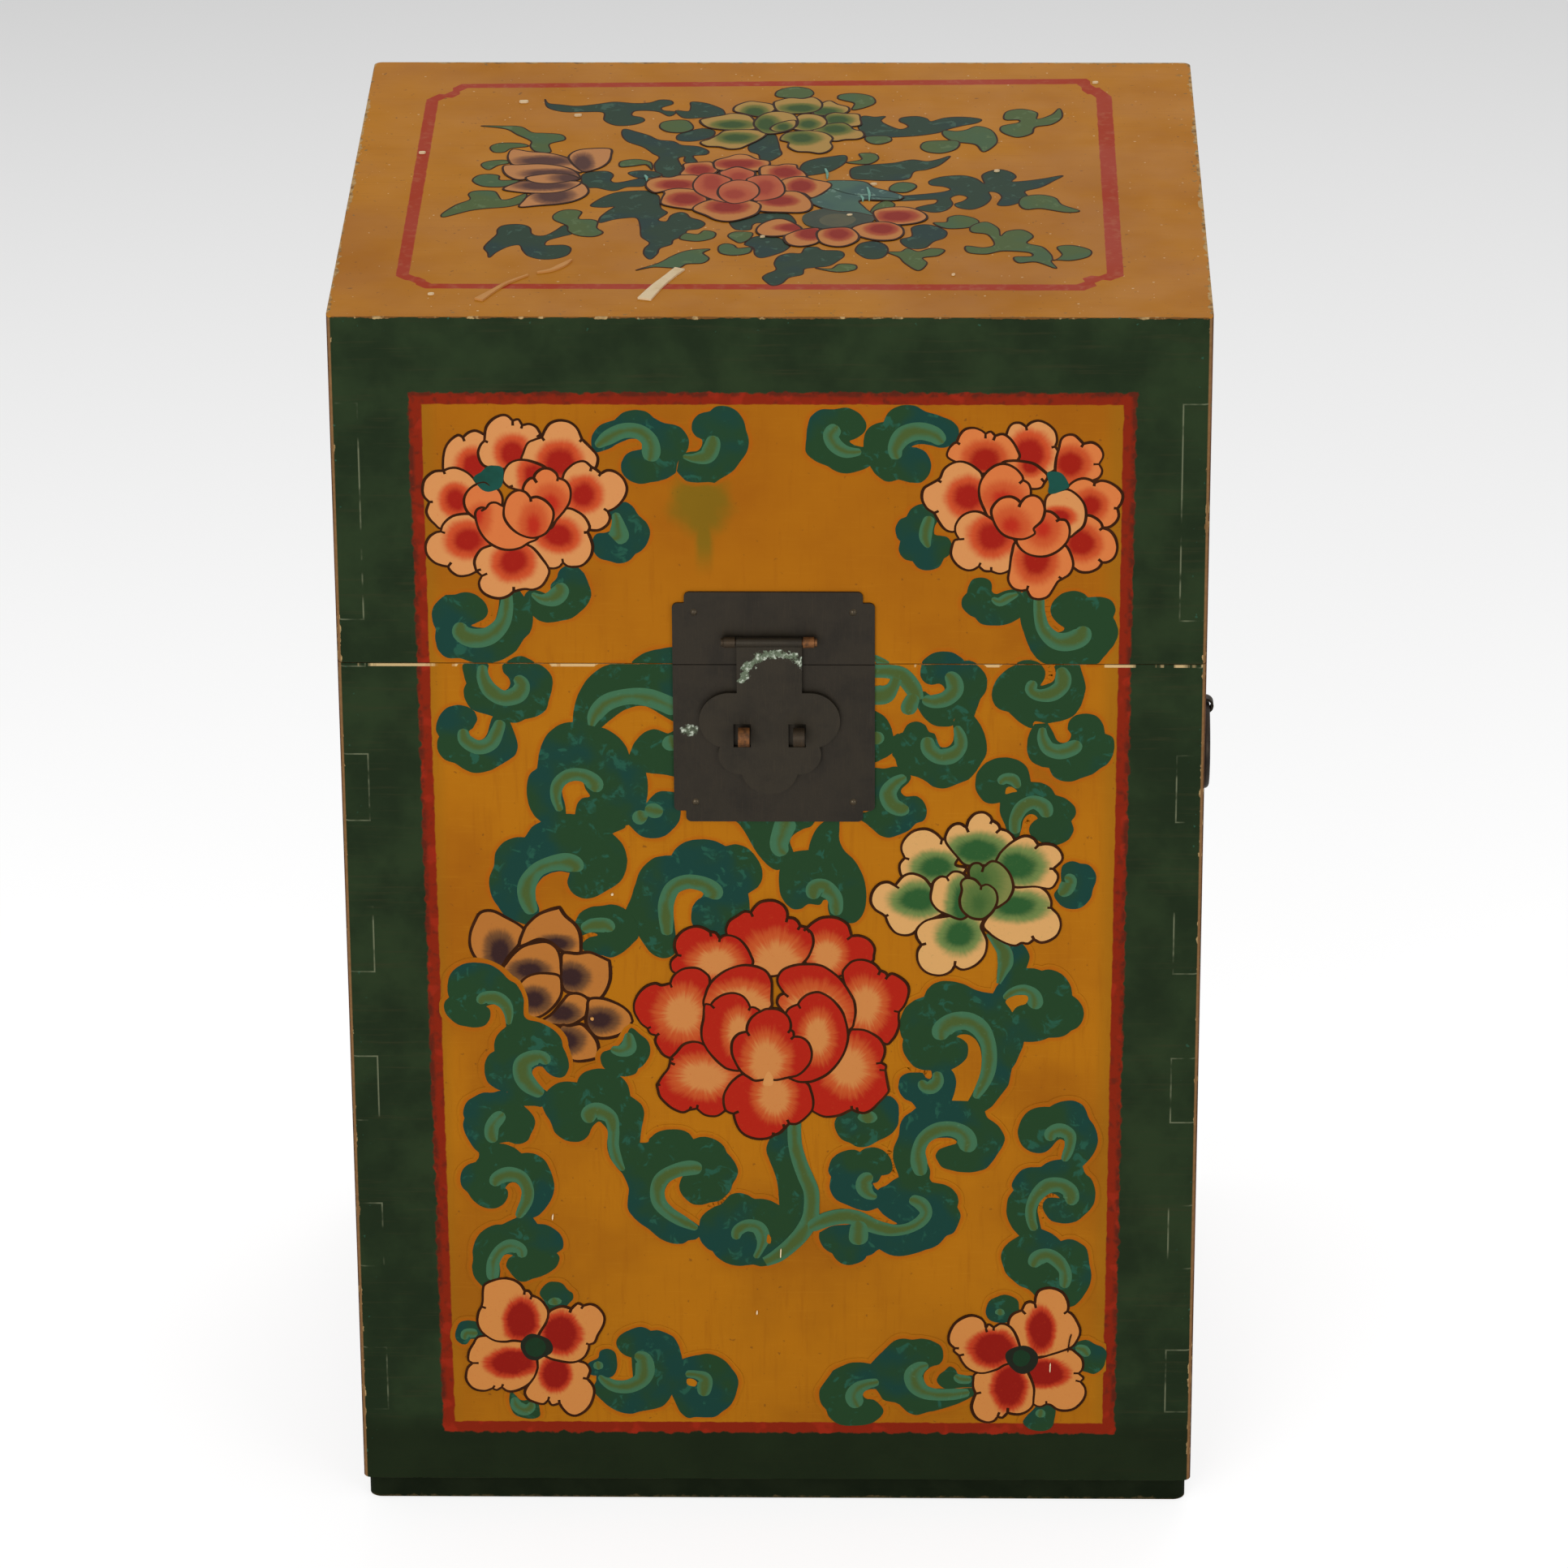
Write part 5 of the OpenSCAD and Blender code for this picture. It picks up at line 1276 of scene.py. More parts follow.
def green_peony():
    p = Painting("green_peony", depth=0.55)
    for outline, core in (
        ([(59.6, 337), (59, 342), (61.4, 345.6, C), (59.8, 350), (60.6, 354), (63.4, 357.8), (67, 360),
         (71.6, 360.4), (75.6, 358.4), (78.6, 355.2, C), (81, 355), (84, 353), (86.4, 349.4), (86.4, 346),
         (85, 342), (90, 340), (84, 334), (72, 332), (62, 335)], (76, 341, 10, 7)),
        ([(80.4, 354), (81, 359), (83.6, 362.4), (87, 363.2), (90, 361.2, C), (91, 365), (94, 368.4),
         (98, 369), (101, 367), (101.8, 365, C), (104.6, 363), (105.6, 360.6, C), (109, 359.4),
         (111.6, 356.6), (112, 354), (107, 350), (104, 343), (98, 342), (90, 342), (86, 346)],
         (95, 349, 13, 8)),
        ([(112, 331.4), (118, 331.6), (123.6, 331), (127.6, 328), (129.6, 323.6), (129.6, 320, C), (133, 316),
         (134.2, 311), (132.6, 306), (129, 303), (125, 302), (121.8, 303.6, C), (119, 301.4), (116, 301.8),
         (113.4, 300.4), (110, 301), (105, 303.6), (101, 306.8), (98, 311), (102, 318), (108, 325)],
         (113, 321, 13, 7)),
        ([(104, 342), (105, 347), (108, 351), (112, 354.6), (117, 357), (121, 355.8), (123.4, 352.4, C),
         (127, 353), (131, 352), (134, 348.6), (134.4, 344.6), (130.4, 340.2, C), (132.6, 337), (132, 333.4),
         (129, 330), (122, 331), (112, 331), (110, 337)], (114, 341.5, 11, 9)),
        ([(73, 332), (70, 335.6), (65, 337.6), (61, 336.4), (58, 332.8), (57, 331.2, C), (53.6, 333),
         (49.6, 332), (46.4, 328), (45.6, 323), (47.6, 319), (51, 316.6), (52.4, 315.4, C), (54, 311),
         (57, 307), (61, 305.6), (64.6, 306.2), (67.4, 308.6), (72, 313), (80, 318), (76, 326)],
         (67.5, 324, 11, 8)),
        ([(67, 308.6), (67, 304.6), (69.2, 300.6, C), (67.4, 297), (67.6, 292), (70, 287.6), (74, 285.2),
         (79, 284.8), (83, 286.8), (84.8, 289.8, C), (88, 287.8), (92, 288.6), (96, 291.4), (99, 296),
         (99.8, 302), (98.6, 306), (97, 310), (97.6, 314), (88, 316), (78, 315), (71, 313)], (87, 306, 9, 9)),
        ([(74, 330), (73.6, 324), (76.6, 319), (82, 316), (88, 314), (92, 318), (93, 328), (90.6, 335),
         (88, 338), (84, 338.6), (80.8, 335.8, C), (78, 336), (75, 333.6)], (88.5, 322, 7, 13))):
        p.petal(outline, "green", core)
    p.petal([(91, 338), (92.6, 342.4), (96, 343), (98, 341, C), (101.6, 344), (105.6, 343), (110, 338),
        (112, 331), (110.6, 326), (108, 322.6), (102, 320), (94, 328)], "bud", (96, 334, 8, 10))
    p.petal([(88, 329), (87.6, 333), (90, 335.4), (94, 334.6), (97, 331.2, C), (100, 332), (103.6, 329),
        (104.6, 324), (103, 319), (100, 315.4), (97, 314), (92, 315), (88, 319), (87, 324)], "bud",
        (96, 322, 6, 8))
    p.finish("trunk")


# Purple lotus

def purple_lotus():
    p = Painting("purple_lotus", depth=0.20)
    p.petal([(-136.6, 316.6), (-131, 317.4), (-124, 313.6), (-119, 310.4), (-116.6, 307.6), (-118, 303),
        (-119.4, 299.6), (-124, 294), (-128, 288), (-134, 288), (-137.6, 290.6), (-140.6, 295), (-142, 300),
        (-141.6, 306), (-139.6, 311.6)], "purple", (-128, 296, 6.5, 9.5), line=1.5)
    p.petal([(-116.4, 308), (-113, 312.6), (-109, 316), (-104, 318.2), (-99.6, 319.4, C), (-97, 315),
        (-92.6, 310.6), (-90.4, 306), (-90, 300), (-91, 295), (-98, 296), (-104, 301), (-110, 302.6),
        (-118.6, 299.4)], "purple", (-102, 300.5, 8, 4), line=1.6, hooks=False)
    p.petal([(-98.6, 295.6), (-92, 295.4), (-86, 296), (-80.6, 293.6), (-76.8, 291.6, C), (-76.4, 286),
        (-76.8, 281), (-78.6, 276), (-81.4, 272), (-85, 271.4), (-92, 274), (-98, 276), (-100, 283),
        (-99.6, 290)], "purple", (-95, 283, 8, 6.5), line=1.6, hooks=False)
    p.petal([(-127, 286), (-124.6, 291), (-121, 295.6), (-117, 299), (-111, 301), (-106, 301.4),
        (-102, 298.6), (-100, 294), (-99.6, 288), (-100.6, 283), (-110, 284.6), (-116, 281), (-122, 280)],
        "purple", (-114.5, 286.5, 8.5, 5), line=1.3, hooks=False)
    p.petal([(-99, 270.6), (-96, 274), (-91.6, 274.4), (-87.6, 272), (-86.4, 268), (-87.6, 263.6),
        (-91, 260.4), (-96, 258), (-103, 258), (-109, 259.6), (-104, 264)], "purple", (-99, 264, 7, 5),
        line=1.4)
    p.petal([(-117, 282), (-112, 284.6), (-106, 285), (-100.4, 283.6), (-99.4, 278), (-100, 273), (-103, 268),
        (-107.6, 263.6), (-112, 261.6), (-118, 261.8), (-118, 270), (-120, 277)], "purple",
        (-112.5, 271, 7, 6), line=1.5)
    p.petal([(-100, 257.6), (-96, 257.4), (-90.6, 258.4), (-86.6, 254.6), (-83.4, 249.6), (-82.6, 245),
        (-83.6, 240.4, C), (-88, 239.2), (-93, 238.8), (-97.6, 240.4), (-100.6, 243.4), (-104, 250)],
        "purple", (-98, 250, 8, 6.5), line=1.6, hooks=False)
    p.petal([(-86.6, 271.4), (-81, 272), (-76, 270.4), (-71, 267.6), (-67.6, 264), (-66.4, 260, C),
        (-69, 255.6), (-73, 252.6), (-78.6, 251), (-83.6, 251.6), (-87, 255.6), (-88.4, 260), (-87.6, 266)],
        "purple", (-81.5, 260.5, 8, 6), line=1.5, hooks=False)
    p.finish("trunk")



# Scroll leaves from the lotus down to the panel's foot

def lower_body_leaves():
    p = Painting("lower_scroll_leaves", depth=0.27)
    p.scroll_leaves([([(-117, 262), (-117.5, 272), (-120.5, 279), (-124, 281.5), (-127, 285, C), (-129, 287),
        (-133, 289.5), (-138, 290.5), (-142, 290.5), (-146, 289.5), (-149.5, 287), (-152, 283.5), (-153, 279),
        (-153, 275), (-152.4, 272.4, C), (-154.4, 270), (-155, 267), (-154, 263.5), (-151.6, 260.5),
        (-148.5, 258), (-145, 257), (-141, 256.4), (-137, 257), (-134.6, 259), (-133.2, 262.5), (-133.4, 266),
        (-135, 267.6, C), (-132.6, 268.6), (-129.6, 268.2), (-127.2, 265.6), (-126.2, 261), (-126, 257, C),
        (-129, 254), (-131, 251), (-131.8, 247.6), (-131.7, 244, C), (-134, 242.4), (-136, 239),
        (-136.6, 235), (-136.4, 231), (-135.2, 227.6), (-132.6, 225), (-129.4, 223.2), (-126, 222.4, C),
        (-120, 215.6), (-118, 215), (-113, 215), (-109.6, 214.8), (-107, 221.6), (-109.4, 224.4),
        (-112, 227.6), (-114, 231), (-113.8, 234.2), (-111.4, 236), (-109, 235.7, C), (-107.4, 233.4),
        (-104.6, 231), (-101.4, 230), (-98.8, 231), (-97, 234.4), (-96.8, 238.4), (-98, 243), (-99.4, 246.4),
        (-100, 250.4), (-102.6, 254.4), (-106, 257), (-110, 259.2)], [[(-137.8, 268.8, 4),
        (-136.4, 271.6, 6.4), (-131, 272.2, 7), (-126.6, 269.4, 6.4), (-124.6, 264, 4.6), (-124.8, 258, 2.4)],
        [(-107.4, 237, 3.6), (-108.6, 240, 7), (-113, 240.6, 8), (-118, 237.6, 9), (-118.6, 231.6, 9),
        (-115.6, 226, 8.6), (-109.4, 220.8, 5)]]),
        ([(-81.9, 241), (-80.6, 243.6), (-77.4, 245), (-73.6, 246.8), (-71, 250), (-69.4, 253), (-67, 256.6),
        (-62.7, 253), (-60, 250.6), (-58.6, 247.6), (-58.3, 243.6), (-59.7, 239.6), (-62, 236.4),
        (-64, 235, C), (-65.2, 232.4), (-68.7, 231), (-72.7, 231), (-76.6, 232.8), (-79.4, 234.4),
        (-81.4, 237.6)], [[(-76.8, 245.6, 3), (-72.6, 244.4, 6), (-68.8, 246, 8), (-68.2, 250.4, 5.6),
        (-68.6, 254, 3)]]),
        ([(-128, 223), (-133, 222), (-137.4, 222), (-141.4, 220), (-144.8, 217.6), (-146.6, 214.4),
        (-147.2, 210.6), (-146.6, 208.6, C), (-147.4, 205), (-146.8, 201), (-145, 197), (-143, 193),
        (-140.2, 190, C), (-140.2, 187.6), (-141.8, 185, C), (-145.4, 183.6), (-148.4, 180.4),
        (-149.4, 175.6), (-148.6, 171.6), (-146, 168.4), (-144, 165), (-140.8, 161.8), (-136.8, 160),
        (-132.6, 160.2), (-129, 162.6), (-127, 166.4), (-127, 169.6), (-128.2, 171, C), (-126, 173.6),
        (-123.4, 174), (-121.2, 171.8), (-120, 168.2), (-120.6, 163.6), (-122, 159.6), (-123.2, 155, C),
        (-127.2, 153), (-130, 151.4), (-134, 151), (-138, 149), (-141.4, 145.6), (-143.4, 141.6),
        (-144.4, 137), (-144.4, 131.8), (-145, 128), (-144.2, 123.6), (-142.6, 120.6), (-140, 117.6),
        (-136, 115), (-131, 118), (-131.8, 122), (-131.4, 126), (-131.8, 131.6), (-130.8, 133.6),
        (-128.2, 135.2), (-125.2, 134.8, C), (-127.6, 132.4), (-128.6, 129), (-127.4, 126.6), (-125.4, 123.4),
        (-122.8, 120.8), (-119.4, 120.4), (-116, 122), (-112.6, 123), (-108.6, 125), (-105.2, 127.8),
        (-103.4, 131), (-103, 134), (-104.2, 136, C), (-101.4, 138.4), (-101, 142.2), (-102.6, 146.4),
        (-106, 149.6), (-109.4, 151.4), (-113.2, 151.8, C), (-115.2, 155, C), (-112.6, 156.4),
        (-109.4, 159.8), (-106.6, 164.4), (-105.2, 168.4), (-104.8, 173), (-105.8, 178.4), (-107.2, 182.4),
        (-109.4, 186.4), (-112.8, 189), (-116.6, 190), (-120, 189.6, C), (-123.4, 192.6), (-127.2, 194.4),
        (-130.6, 195, C), (-126, 195.8), (-122.6, 194.6), (-119.4, 195), (-116.6, 197), (-115.6, 199.6),
        (-114, 203), (-113.2, 206.4), (-114, 209.6), (-116, 212.4), (-118.4, 215), (-121, 219)],
        [[(-132.4, 195.6, 4), (-134, 199, 6.4), (-133.6, 204, 6.8), (-130.8, 208.4, 6.8), (-127.8, 211, 5)],
        [(-133.4, 172, 5), (-131.8, 176, 7), (-126.4, 178.4, 8), (-120.6, 176.6, 7), (-117.6, 170.6, 6),
        (-118, 164.6, 6), (-120.6, 158.6, 5), (-122.6, 155, 3)], [(-121, 133.4, 4), (-121.4, 137.6, 6),
        (-126, 139.8, 7.2), (-131, 137.4, 6), (-134.4, 131.6, 6), (-135, 126, 6.4), (-135.2, 121, 5)]]),
        ([(-108, 222, C), (-106, 224.4), (-102.6, 227), (-98.6, 228), (-93, 227.6, C), (-92, 230.4),
        (-89.4, 233), (-84.6, 234.8), (-80, 234.8), (-76, 233), (-72, 230.4), (-69.4, 227), (-68.4, 223.6),
        (-68, 220.4, C), (-65.4, 218.4), (-62.6, 215.6), (-61.6, 211.6), (-62, 207.6), (-63, 202.4),
        (-63.8, 195.6, C), (-60, 195.8), (-59.4, 197.6, C), (-56, 200.8), (-52, 202.4), (-48, 202.8),
        (-44, 202.4), (-40.6, 200.8), (-38.4, 197.6, C), (-34.6, 198.8), (-30.6, 198.4), (-26.6, 196.4),
        (-24, 193.6), (-22.6, 190.2, C), (-20, 187), (-18.2, 183.6), (-17.4, 180.2), (-18.4, 176.4),
        (-20, 173.6), (-21.4, 169.6), (-24, 166.4), (-26.6, 164.4), (-30.6, 163.6), (-34.6, 162.4),
        (-38.6, 162.6), (-42, 165), (-44.8, 169), (-45.4, 172.4), (-44.4, 176.4), (-43.2, 178.4, C),
        (-46.8, 177), (-50, 174.4), (-52, 171), (-52.4, 167), (-51.2, 163.6), (-48.6, 160.2), (-45.2, 157.6),
        (-40.6, 154.4), (-36.2, 151, C), (-35.4, 155), (-32.8, 158.4), (-29.2, 161), (-25.4, 162.8),
        (-23.2, 165.4), (-20.8, 168), (-16.8, 168.8), (-12.8, 167.6), (-10, 165.8), (-6, 165.6), (-2, 164.6),
        (2, 162.2, C), (1.8, 167), (1.4, 172.4), (0.2, 178.4), (-2, 185), (-3.8, 191), (-3.4, 195),
        (-1.8, 199), (0, 204), (8, 208), (13, 190), (16, 165), (12, 148), (4, 138), (0, 131.4), (-6, 129.2),
        (-10.6, 130), (-16, 129.4), (-20.6, 129.8), (-24.6, 131.6), (-28, 134.4), (-30, 137.4, C),
        (-32, 138.4), (-34.8, 141.6), (-36.2, 145, C), (-38, 143.6), (-41.4, 143), (-44, 141.4), (-48, 141.2),
        (-52, 142.4), (-56, 145), (-60, 149), (-64, 152), (-67.4, 155.6), (-69.8, 159.6), (-70, 165),
        (-69.4, 170.4), (-70.6, 175), (-72.4, 179), (-74, 181), (-76.8, 185), (-78.6, 189), (-79.4, 194.4),
        (-78.8, 199.6), (-79.4, 203), (-81.4, 205.6), (-83, 206.8), (-85.4, 205), (-87, 202.4), (-88, 199.6),
        (-90, 197.4), (-92.6, 196), (-96.8, 196), (-100.6, 197.6), (-104, 201), (-105.4, 205),
        (-106.4, 207.6), (-108, 210.4), (-109.8, 214.8, C), (-110, 218)], [[(-87.4, 206, 4),
        (-87.4, 210.4, 8.6), (-83.4, 212.4, 9), (-77.6, 209, 7), (-76.2, 202, 5.6), (-76.4, 194, 5.4),
        (-74.8, 186.6, 5), (-71.8, 180.6, 2.4)], [(-34.6, 181.4, 6), (-40, 182.2, 8), (-47.4, 180.4, 7.4),
        (-53.4, 176.4, 7.4), (-55.8, 170.4, 7), (-55, 163.6, 7), (-50.6, 158, 6.6), (-44, 153.4, 6),
        (-37, 149.4, 3)], [(-18.6, 143.6, 4), (-18, 148, 5.6), (-13.6, 151.2, 6.4), (-8, 150, 7),
        (-5.8, 144.6, 6.6), (-7, 139, 4), (-9.6, 133.6, 3)]]),
        ([(52, 221), (54.8, 220.8), (57.4, 218.4), (58.8, 215), (58.8, 210.2), (58.4, 205.6), (56, 201.6),
        (52.6, 198.8), (49.4, 197.2), (46.6, 195.4), (43.4, 193.8), (39.4, 193.6), (36, 195.6), (32, 197.6),
        (29.6, 201), (28.4, 205), (29, 208.4), (31, 211.6), (38, 218), (46, 222)], [[(44, 213, 9.4),
        (44, 209, 10), (43.8, 206.4, 8)]]),
        ([(110, 302.6), (116, 301.4), (119.2, 297), (119.8, 293.6), (118.4, 288.4, C), (122, 288.4),
        (125.6, 287.2, C), (128.6, 287.8), (132, 287), (135.4, 285), (138, 281.6), (139.6, 277.8),
        (140, 274.2, C), (142.8, 271.8), (144.8, 268.4), (145.6, 264.4), (144.6, 260.4), (142.6, 257.4),
        (139.6, 255.6, C), (137.4, 253.6), (134, 252.2), (129.2, 252, C), (126, 250.6), (122, 249.8),
        (117.6, 249.8, C), (117, 247), (115.4, 243), (114, 239), (112, 235.6, C), (111.4, 232.4),
        (110.4, 227), (108, 223), (105.6, 219.6), (102.6, 215.4), (99.4, 212.8, C), (100.6, 209.6),
        (103.4, 207.4), (106, 205), (108, 201.6), (109, 198.4), (108, 194.6), (106, 191), (103.4, 186.4),
        (100.4, 182.6), (96.6, 181), (92.6, 180.2), (88, 180.4), (83.4, 181.4), (79.4, 183), (77.2, 186.4),
        (76.2, 189.2), (78, 192.4), (81.4, 194), (85.6, 195.4, C), (86.2, 196.8), (84, 198.4), (80, 198.8),
        (76, 198.2), (72.6, 195.6), (71.2, 191.6), (72, 186.4), (73.6, 181.6), (73.4, 177, C), (74.6, 175),
        (78, 174.2), (80.8, 173.6), (84, 171.6), (86.4, 168.4), (87.2, 165), (86.6, 161.6, C), (88.2, 157.6),
        (87.8, 154.4), (86.6, 151), (84.8, 147.6), (81.6, 146), (80, 144), (78, 141.6), (74.6, 139.4),
        (70.6, 138), (65.4, 136), (60, 135), (55.4, 135.4), (52, 137), (49.6, 138.6, C), (48, 137.6),
        (46, 135.8), (43.6, 135, C), (42, 132.6), (38.6, 130.8), (34.6, 130), (31.4, 131), (28.6, 133.6),
        (27, 136.4, C), (24.6, 137.8), (22.4, 140.4), (21, 144.4), (21, 147.6, C), (27, 151), (35, 152),
        (45, 153), (52, 152), (58, 152.4), (55.4, 154.4), (51.4, 157.6), (48.8, 161, C), (44.6, 159.4),
        (40.6, 159.8), (37.4, 161), (33.4, 163), (30, 164.6), (27.4, 167.6), (26, 171.6), (26.4, 175.6),
        (26.8, 177.6, C), (25.4, 180.4), (25.8, 183.6), (27, 187), (30, 190), (34, 191.8), (38, 192.2),
        (40.4, 191, C), (42.6, 192.8), (46, 193.6), (49.4, 193), (52.4, 191), (54.8, 187.6), (55.8, 183.6),
        (55.2, 180.4), (53.4, 179), (50.6, 178.4, C), (48.8, 175), (46.4, 174.2, C), (47.6, 171.8),
        (49, 170.6, C), (50.4, 172), (52.8, 173), (56, 175.8), (58.8, 177.6, C), (58.6, 179), (57, 183.6),
        (56, 188.4), (56.4, 193), (58, 197.6), (58.8, 200), (59.4, 205.6), (61.4, 209.8), (64.6, 212.4),
        (67, 214.6, C), (64.6, 217.8), (62, 219), (60, 221.4), (58.8, 224), (58.6, 227), (59.6, 231),
        (62.6, 233), (66, 233.4), (70, 233.2), (71.4, 230.8), (73.4, 230), (74.4, 231.8), (74, 234.4, C),
        (69.4, 235), (66, 236.6), (63.4, 239.8), (61.4, 243), (60.4, 247), (60.8, 251, C), (59.8, 253),
        (59, 258.4), (60, 263.6), (62, 267.8), (65.4, 271), (68, 272.4), (70.6, 273.4, C), (72, 277),
        (74.8, 280), (78.8, 281.6), (82.8, 281.6), (86.6, 280.8), (90, 279.6), (93.4, 277.6), (96.6, 276.4),
        (100, 275.6), (102.8, 275.2, C), (104.6, 279), (107.4, 282.4), (109.6, 286), (112, 291.6),
        (112, 296.4)], [[(78.6, 250.6, 6), (79, 255.6, 9.6), (84, 260, 9.6), (91, 260.6, 9.4), (97, 256.6, 9),
        (100.6, 249, 7.4), (101.4, 241, 7.2), (100.6, 233.6, 7), (97.8, 226.4, 6.2), (94.8, 219.8, 3)],
        [(108, 272.4, 3), (112, 275.8, 4.6), (117, 277.2, 5.4), (121.4, 274.6, 7), (122.4, 270.4, 8),
        (121.4, 267.4, 5)], [(69.4, 229.4, 3), (70.6, 226.6, 6), (74, 225.8, 7.6), (77, 229, 6.2),
        (76.6, 234, 4)], [(69.6, 178.4, 5), (68.4, 185, 8), (68.2, 192, 6.6), (71, 198.6, 6.8),
        (77, 202.8, 7.8), (84, 203.4, 8), (89.8, 200.4, 8.6), (91.2, 195.6, 9.4), (90, 191.4, 7)],
        [(46.6, 177.8, 5), (43.4, 176.4, 7.6), (42.4, 172, 8), (44.6, 168.4, 6), (48.4, 166.6, 2.6)]]),
        ([(130, 215.4, C), (133.4, 217.4), (137.4, 218.6), (141.4, 218.6), (144.8, 217), (146.8, 214.4),
        (148, 211), (149, 208.4, C), (151, 205.6), (152.4, 201.6), (153, 197.6), (152.2, 193.6),
        (150.6, 189.8), (148.6, 186.8), (145.8, 183.8, C), (147.4, 179.6), (150, 177), (151.6, 173),
        (152.2, 168.4), (151.4, 163.6), (149.4, 160.2), (146.6, 157), (143.4, 154.2), (139.2, 153),
        (135.2, 153.2), (131.4, 154.4), (128.8, 157.6), (127.2, 161.8), (128, 165), (130, 166.8),
        (135.2, 166.6, C), (133.4, 168.4), (130.8, 169.2), (127.6, 167.2), (125.4, 163.6), (124.8, 159.6),
        (125.6, 155), (126.6, 150, C), (130, 148.4), (133.4, 146.2), (136, 143.4, C), (138.8, 144.4),
        (142, 144.2), (145.4, 142.2), (148, 139.8), (149.2, 135.6), (149.8, 131), (150.8, 125), (150, 119.4),
        (148, 115.2), (145.4, 111.2), (142, 108), (136, 108), (126, 112), (121, 117), (116.8, 119),
        (112.8, 122.6), (110, 126), (108.6, 130), (107.6, 134), (108.2, 138), (110.2, 141.4), (112.8, 143.8),
        (116.2, 146.2, C), (113.4, 149.6), (111.2, 153.8), (110, 158.4), (110.2, 163), (111, 167),
        (113.4, 170.8, C), (112.4, 173), (113, 175.8), (114.8, 179), (117.4, 181.8), (120.8, 183),
        (126, 183.2, C), (128.8, 185.4), (132, 186.8), (135.8, 187.4, C), (136.4, 191.6), (137.8, 195.8),
        (136.6, 197.6), (134.8, 198.2), (132.8, 196.4), (131.2, 194, C), (128.6, 191.6), (125.2, 190.6),
        (121.4, 191.4), (118, 193.8), (116, 197), (115, 201.6), (115.8, 205.8), (117.4, 209.8),
        (119.8, 212.8), (123.4, 214.8), (126.8, 215.4)], [[(130.6, 197.2, 4), (131, 201, 7), (135, 203, 7.4),
        (139.4, 200.4, 6.4), (139.8, 195, 5), (138.4, 190, 4.6), (136.8, 186.4, 3)], [(123.6, 149, 4),
        (121.8, 155, 5), (121.8, 161.6, 5.4), (124.4, 168, 6.6), (129.4, 173, 8), (135.4, 173.6, 7.8),
        (140, 170.4, 7.6), (140.6, 166, 7.4), (139, 163.6, 5)], [(122.4, 129.4, 5), (125, 134, 8),
        (130, 135.6, 7.4), (134.8, 132.4, 7), (138, 127.4, 6), (138.4, 122.6, 6), (137.6, 118, 4)]]),
        ([(-65.6, 95.8), (-71, 93.8), (-75, 90.8), (-76.6, 86.8), (-75, 82.8), (-72.6, 80.4), (-69.4, 79, C),
        (-69, 71.4), (-68.8, 67, C), (-73, 66), (-78, 66.8), (-82, 68.4), (-86, 69.8), (-86.6, 66),
        (-88, 62.6), (-86.6, 58.6), (-83.4, 54.8), (-79.4, 51.2), (-74.8, 48.8), (-70, 48), (-66, 49.2),
        (-58.8, 50.8), (-54.6, 52.4), (-52, 55.4), (-50.2, 58.8, C), (-49.4, 56.6), (-48, 52.8), (-46, 48.8),
        (-42.6, 45.8), (-38.6, 46.4), (-33.4, 46.2), (-29.4, 46.6), (-26, 49.4), (-22.8, 52), (-20.4, 56),
        (-19, 60.8), (-18.2, 65.4), (-19, 69.4), (-21.4, 73.4), (-24, 76.8), (-27.4, 79.6), (-30.8, 81),
        (-34, 81.2), (-38, 80.4), (-42, 79.4), (-45, 78.4, C), (-45.6, 82), (-46.8, 86), (-48.8, 90),
        (-51.4, 92), (-56, 94), (-60, 93.8, C), (-62.6, 95.4)], [[(-67.8, 80.6, 4), (-63.8, 78.4, 8),
        (-63, 72, 9.4), (-65, 66.6, 8), (-71, 63.2, 7.4), (-77.6, 63.4, 6.6), (-82.4, 66.4, 5),
        (-84.8, 69.4, 3)], [(-43.6, 70.2, 4), (-38.4, 69.8, 4.6), (-34.4, 67.6, 7), (-34.6, 62, 7),
        (-35.4, 58, 5)]]),
        ([(20.6, 59.4), (21, 62), (23.4, 66), (26, 70), (27.8, 72.6), (32, 75), (36, 76.6), (41.4, 76.8),
        (45.4, 76, C), (48, 79.4), (50.4, 82), (53.4, 85.4), (56.6, 88.6), (60.8, 90), (65.4, 89.4),
        (69.4, 90), (73.4, 89.4), (76.8, 87.8), (79, 86), (80.2, 82.6), (80, 78.8), (78.4, 76), (76, 75.2),
        (74, 74.4, C), (71.4, 71.4), (71, 68), (72.6, 64), (75.4, 62.6), (80, 62.6), (88, 62.6), (94, 63),
        (96, 60), (92.6, 57.2), (88, 54.6), (82.6, 52.4), (77.4, 50.6), (72.8, 49.6), (68, 48), (64, 49),
        (61.4, 51.4), (59.4, 53.6, C), (57.4, 54.8), (54, 55.4), (51.4, 56.6), (49.4, 60), (48, 62.2, C),
        (44.8, 62), (41.8, 60.4), (42.2, 57.8), (44, 56.6, C), (46.8, 56.4), (49.4, 54.2), (51.4, 51.4),
        (51.4, 48.8), (49.4, 46), (46, 43.4), (42.6, 42.4), (38, 42), (32.6, 42), (28.8, 43.4), (25.4, 46.8),
        (24, 50.6), (22, 53.4), (21, 56)], [[(49.4, 66.2, 4), (44, 65, 5.4), (39.6, 62.6, 7),
        (37.4, 58.4, 8.4), (38.4, 54.6, 7.6), (39.4, 52, 4.6)], [(73.2, 75.6, 3), (69, 74, 7), (66, 70, 9),
        (67.4, 64.4, 9), (71.4, 60.6, 7.4), (78, 59.2, 6.4), (86, 59.6, 6.2), (93, 60.6, 4)]]),
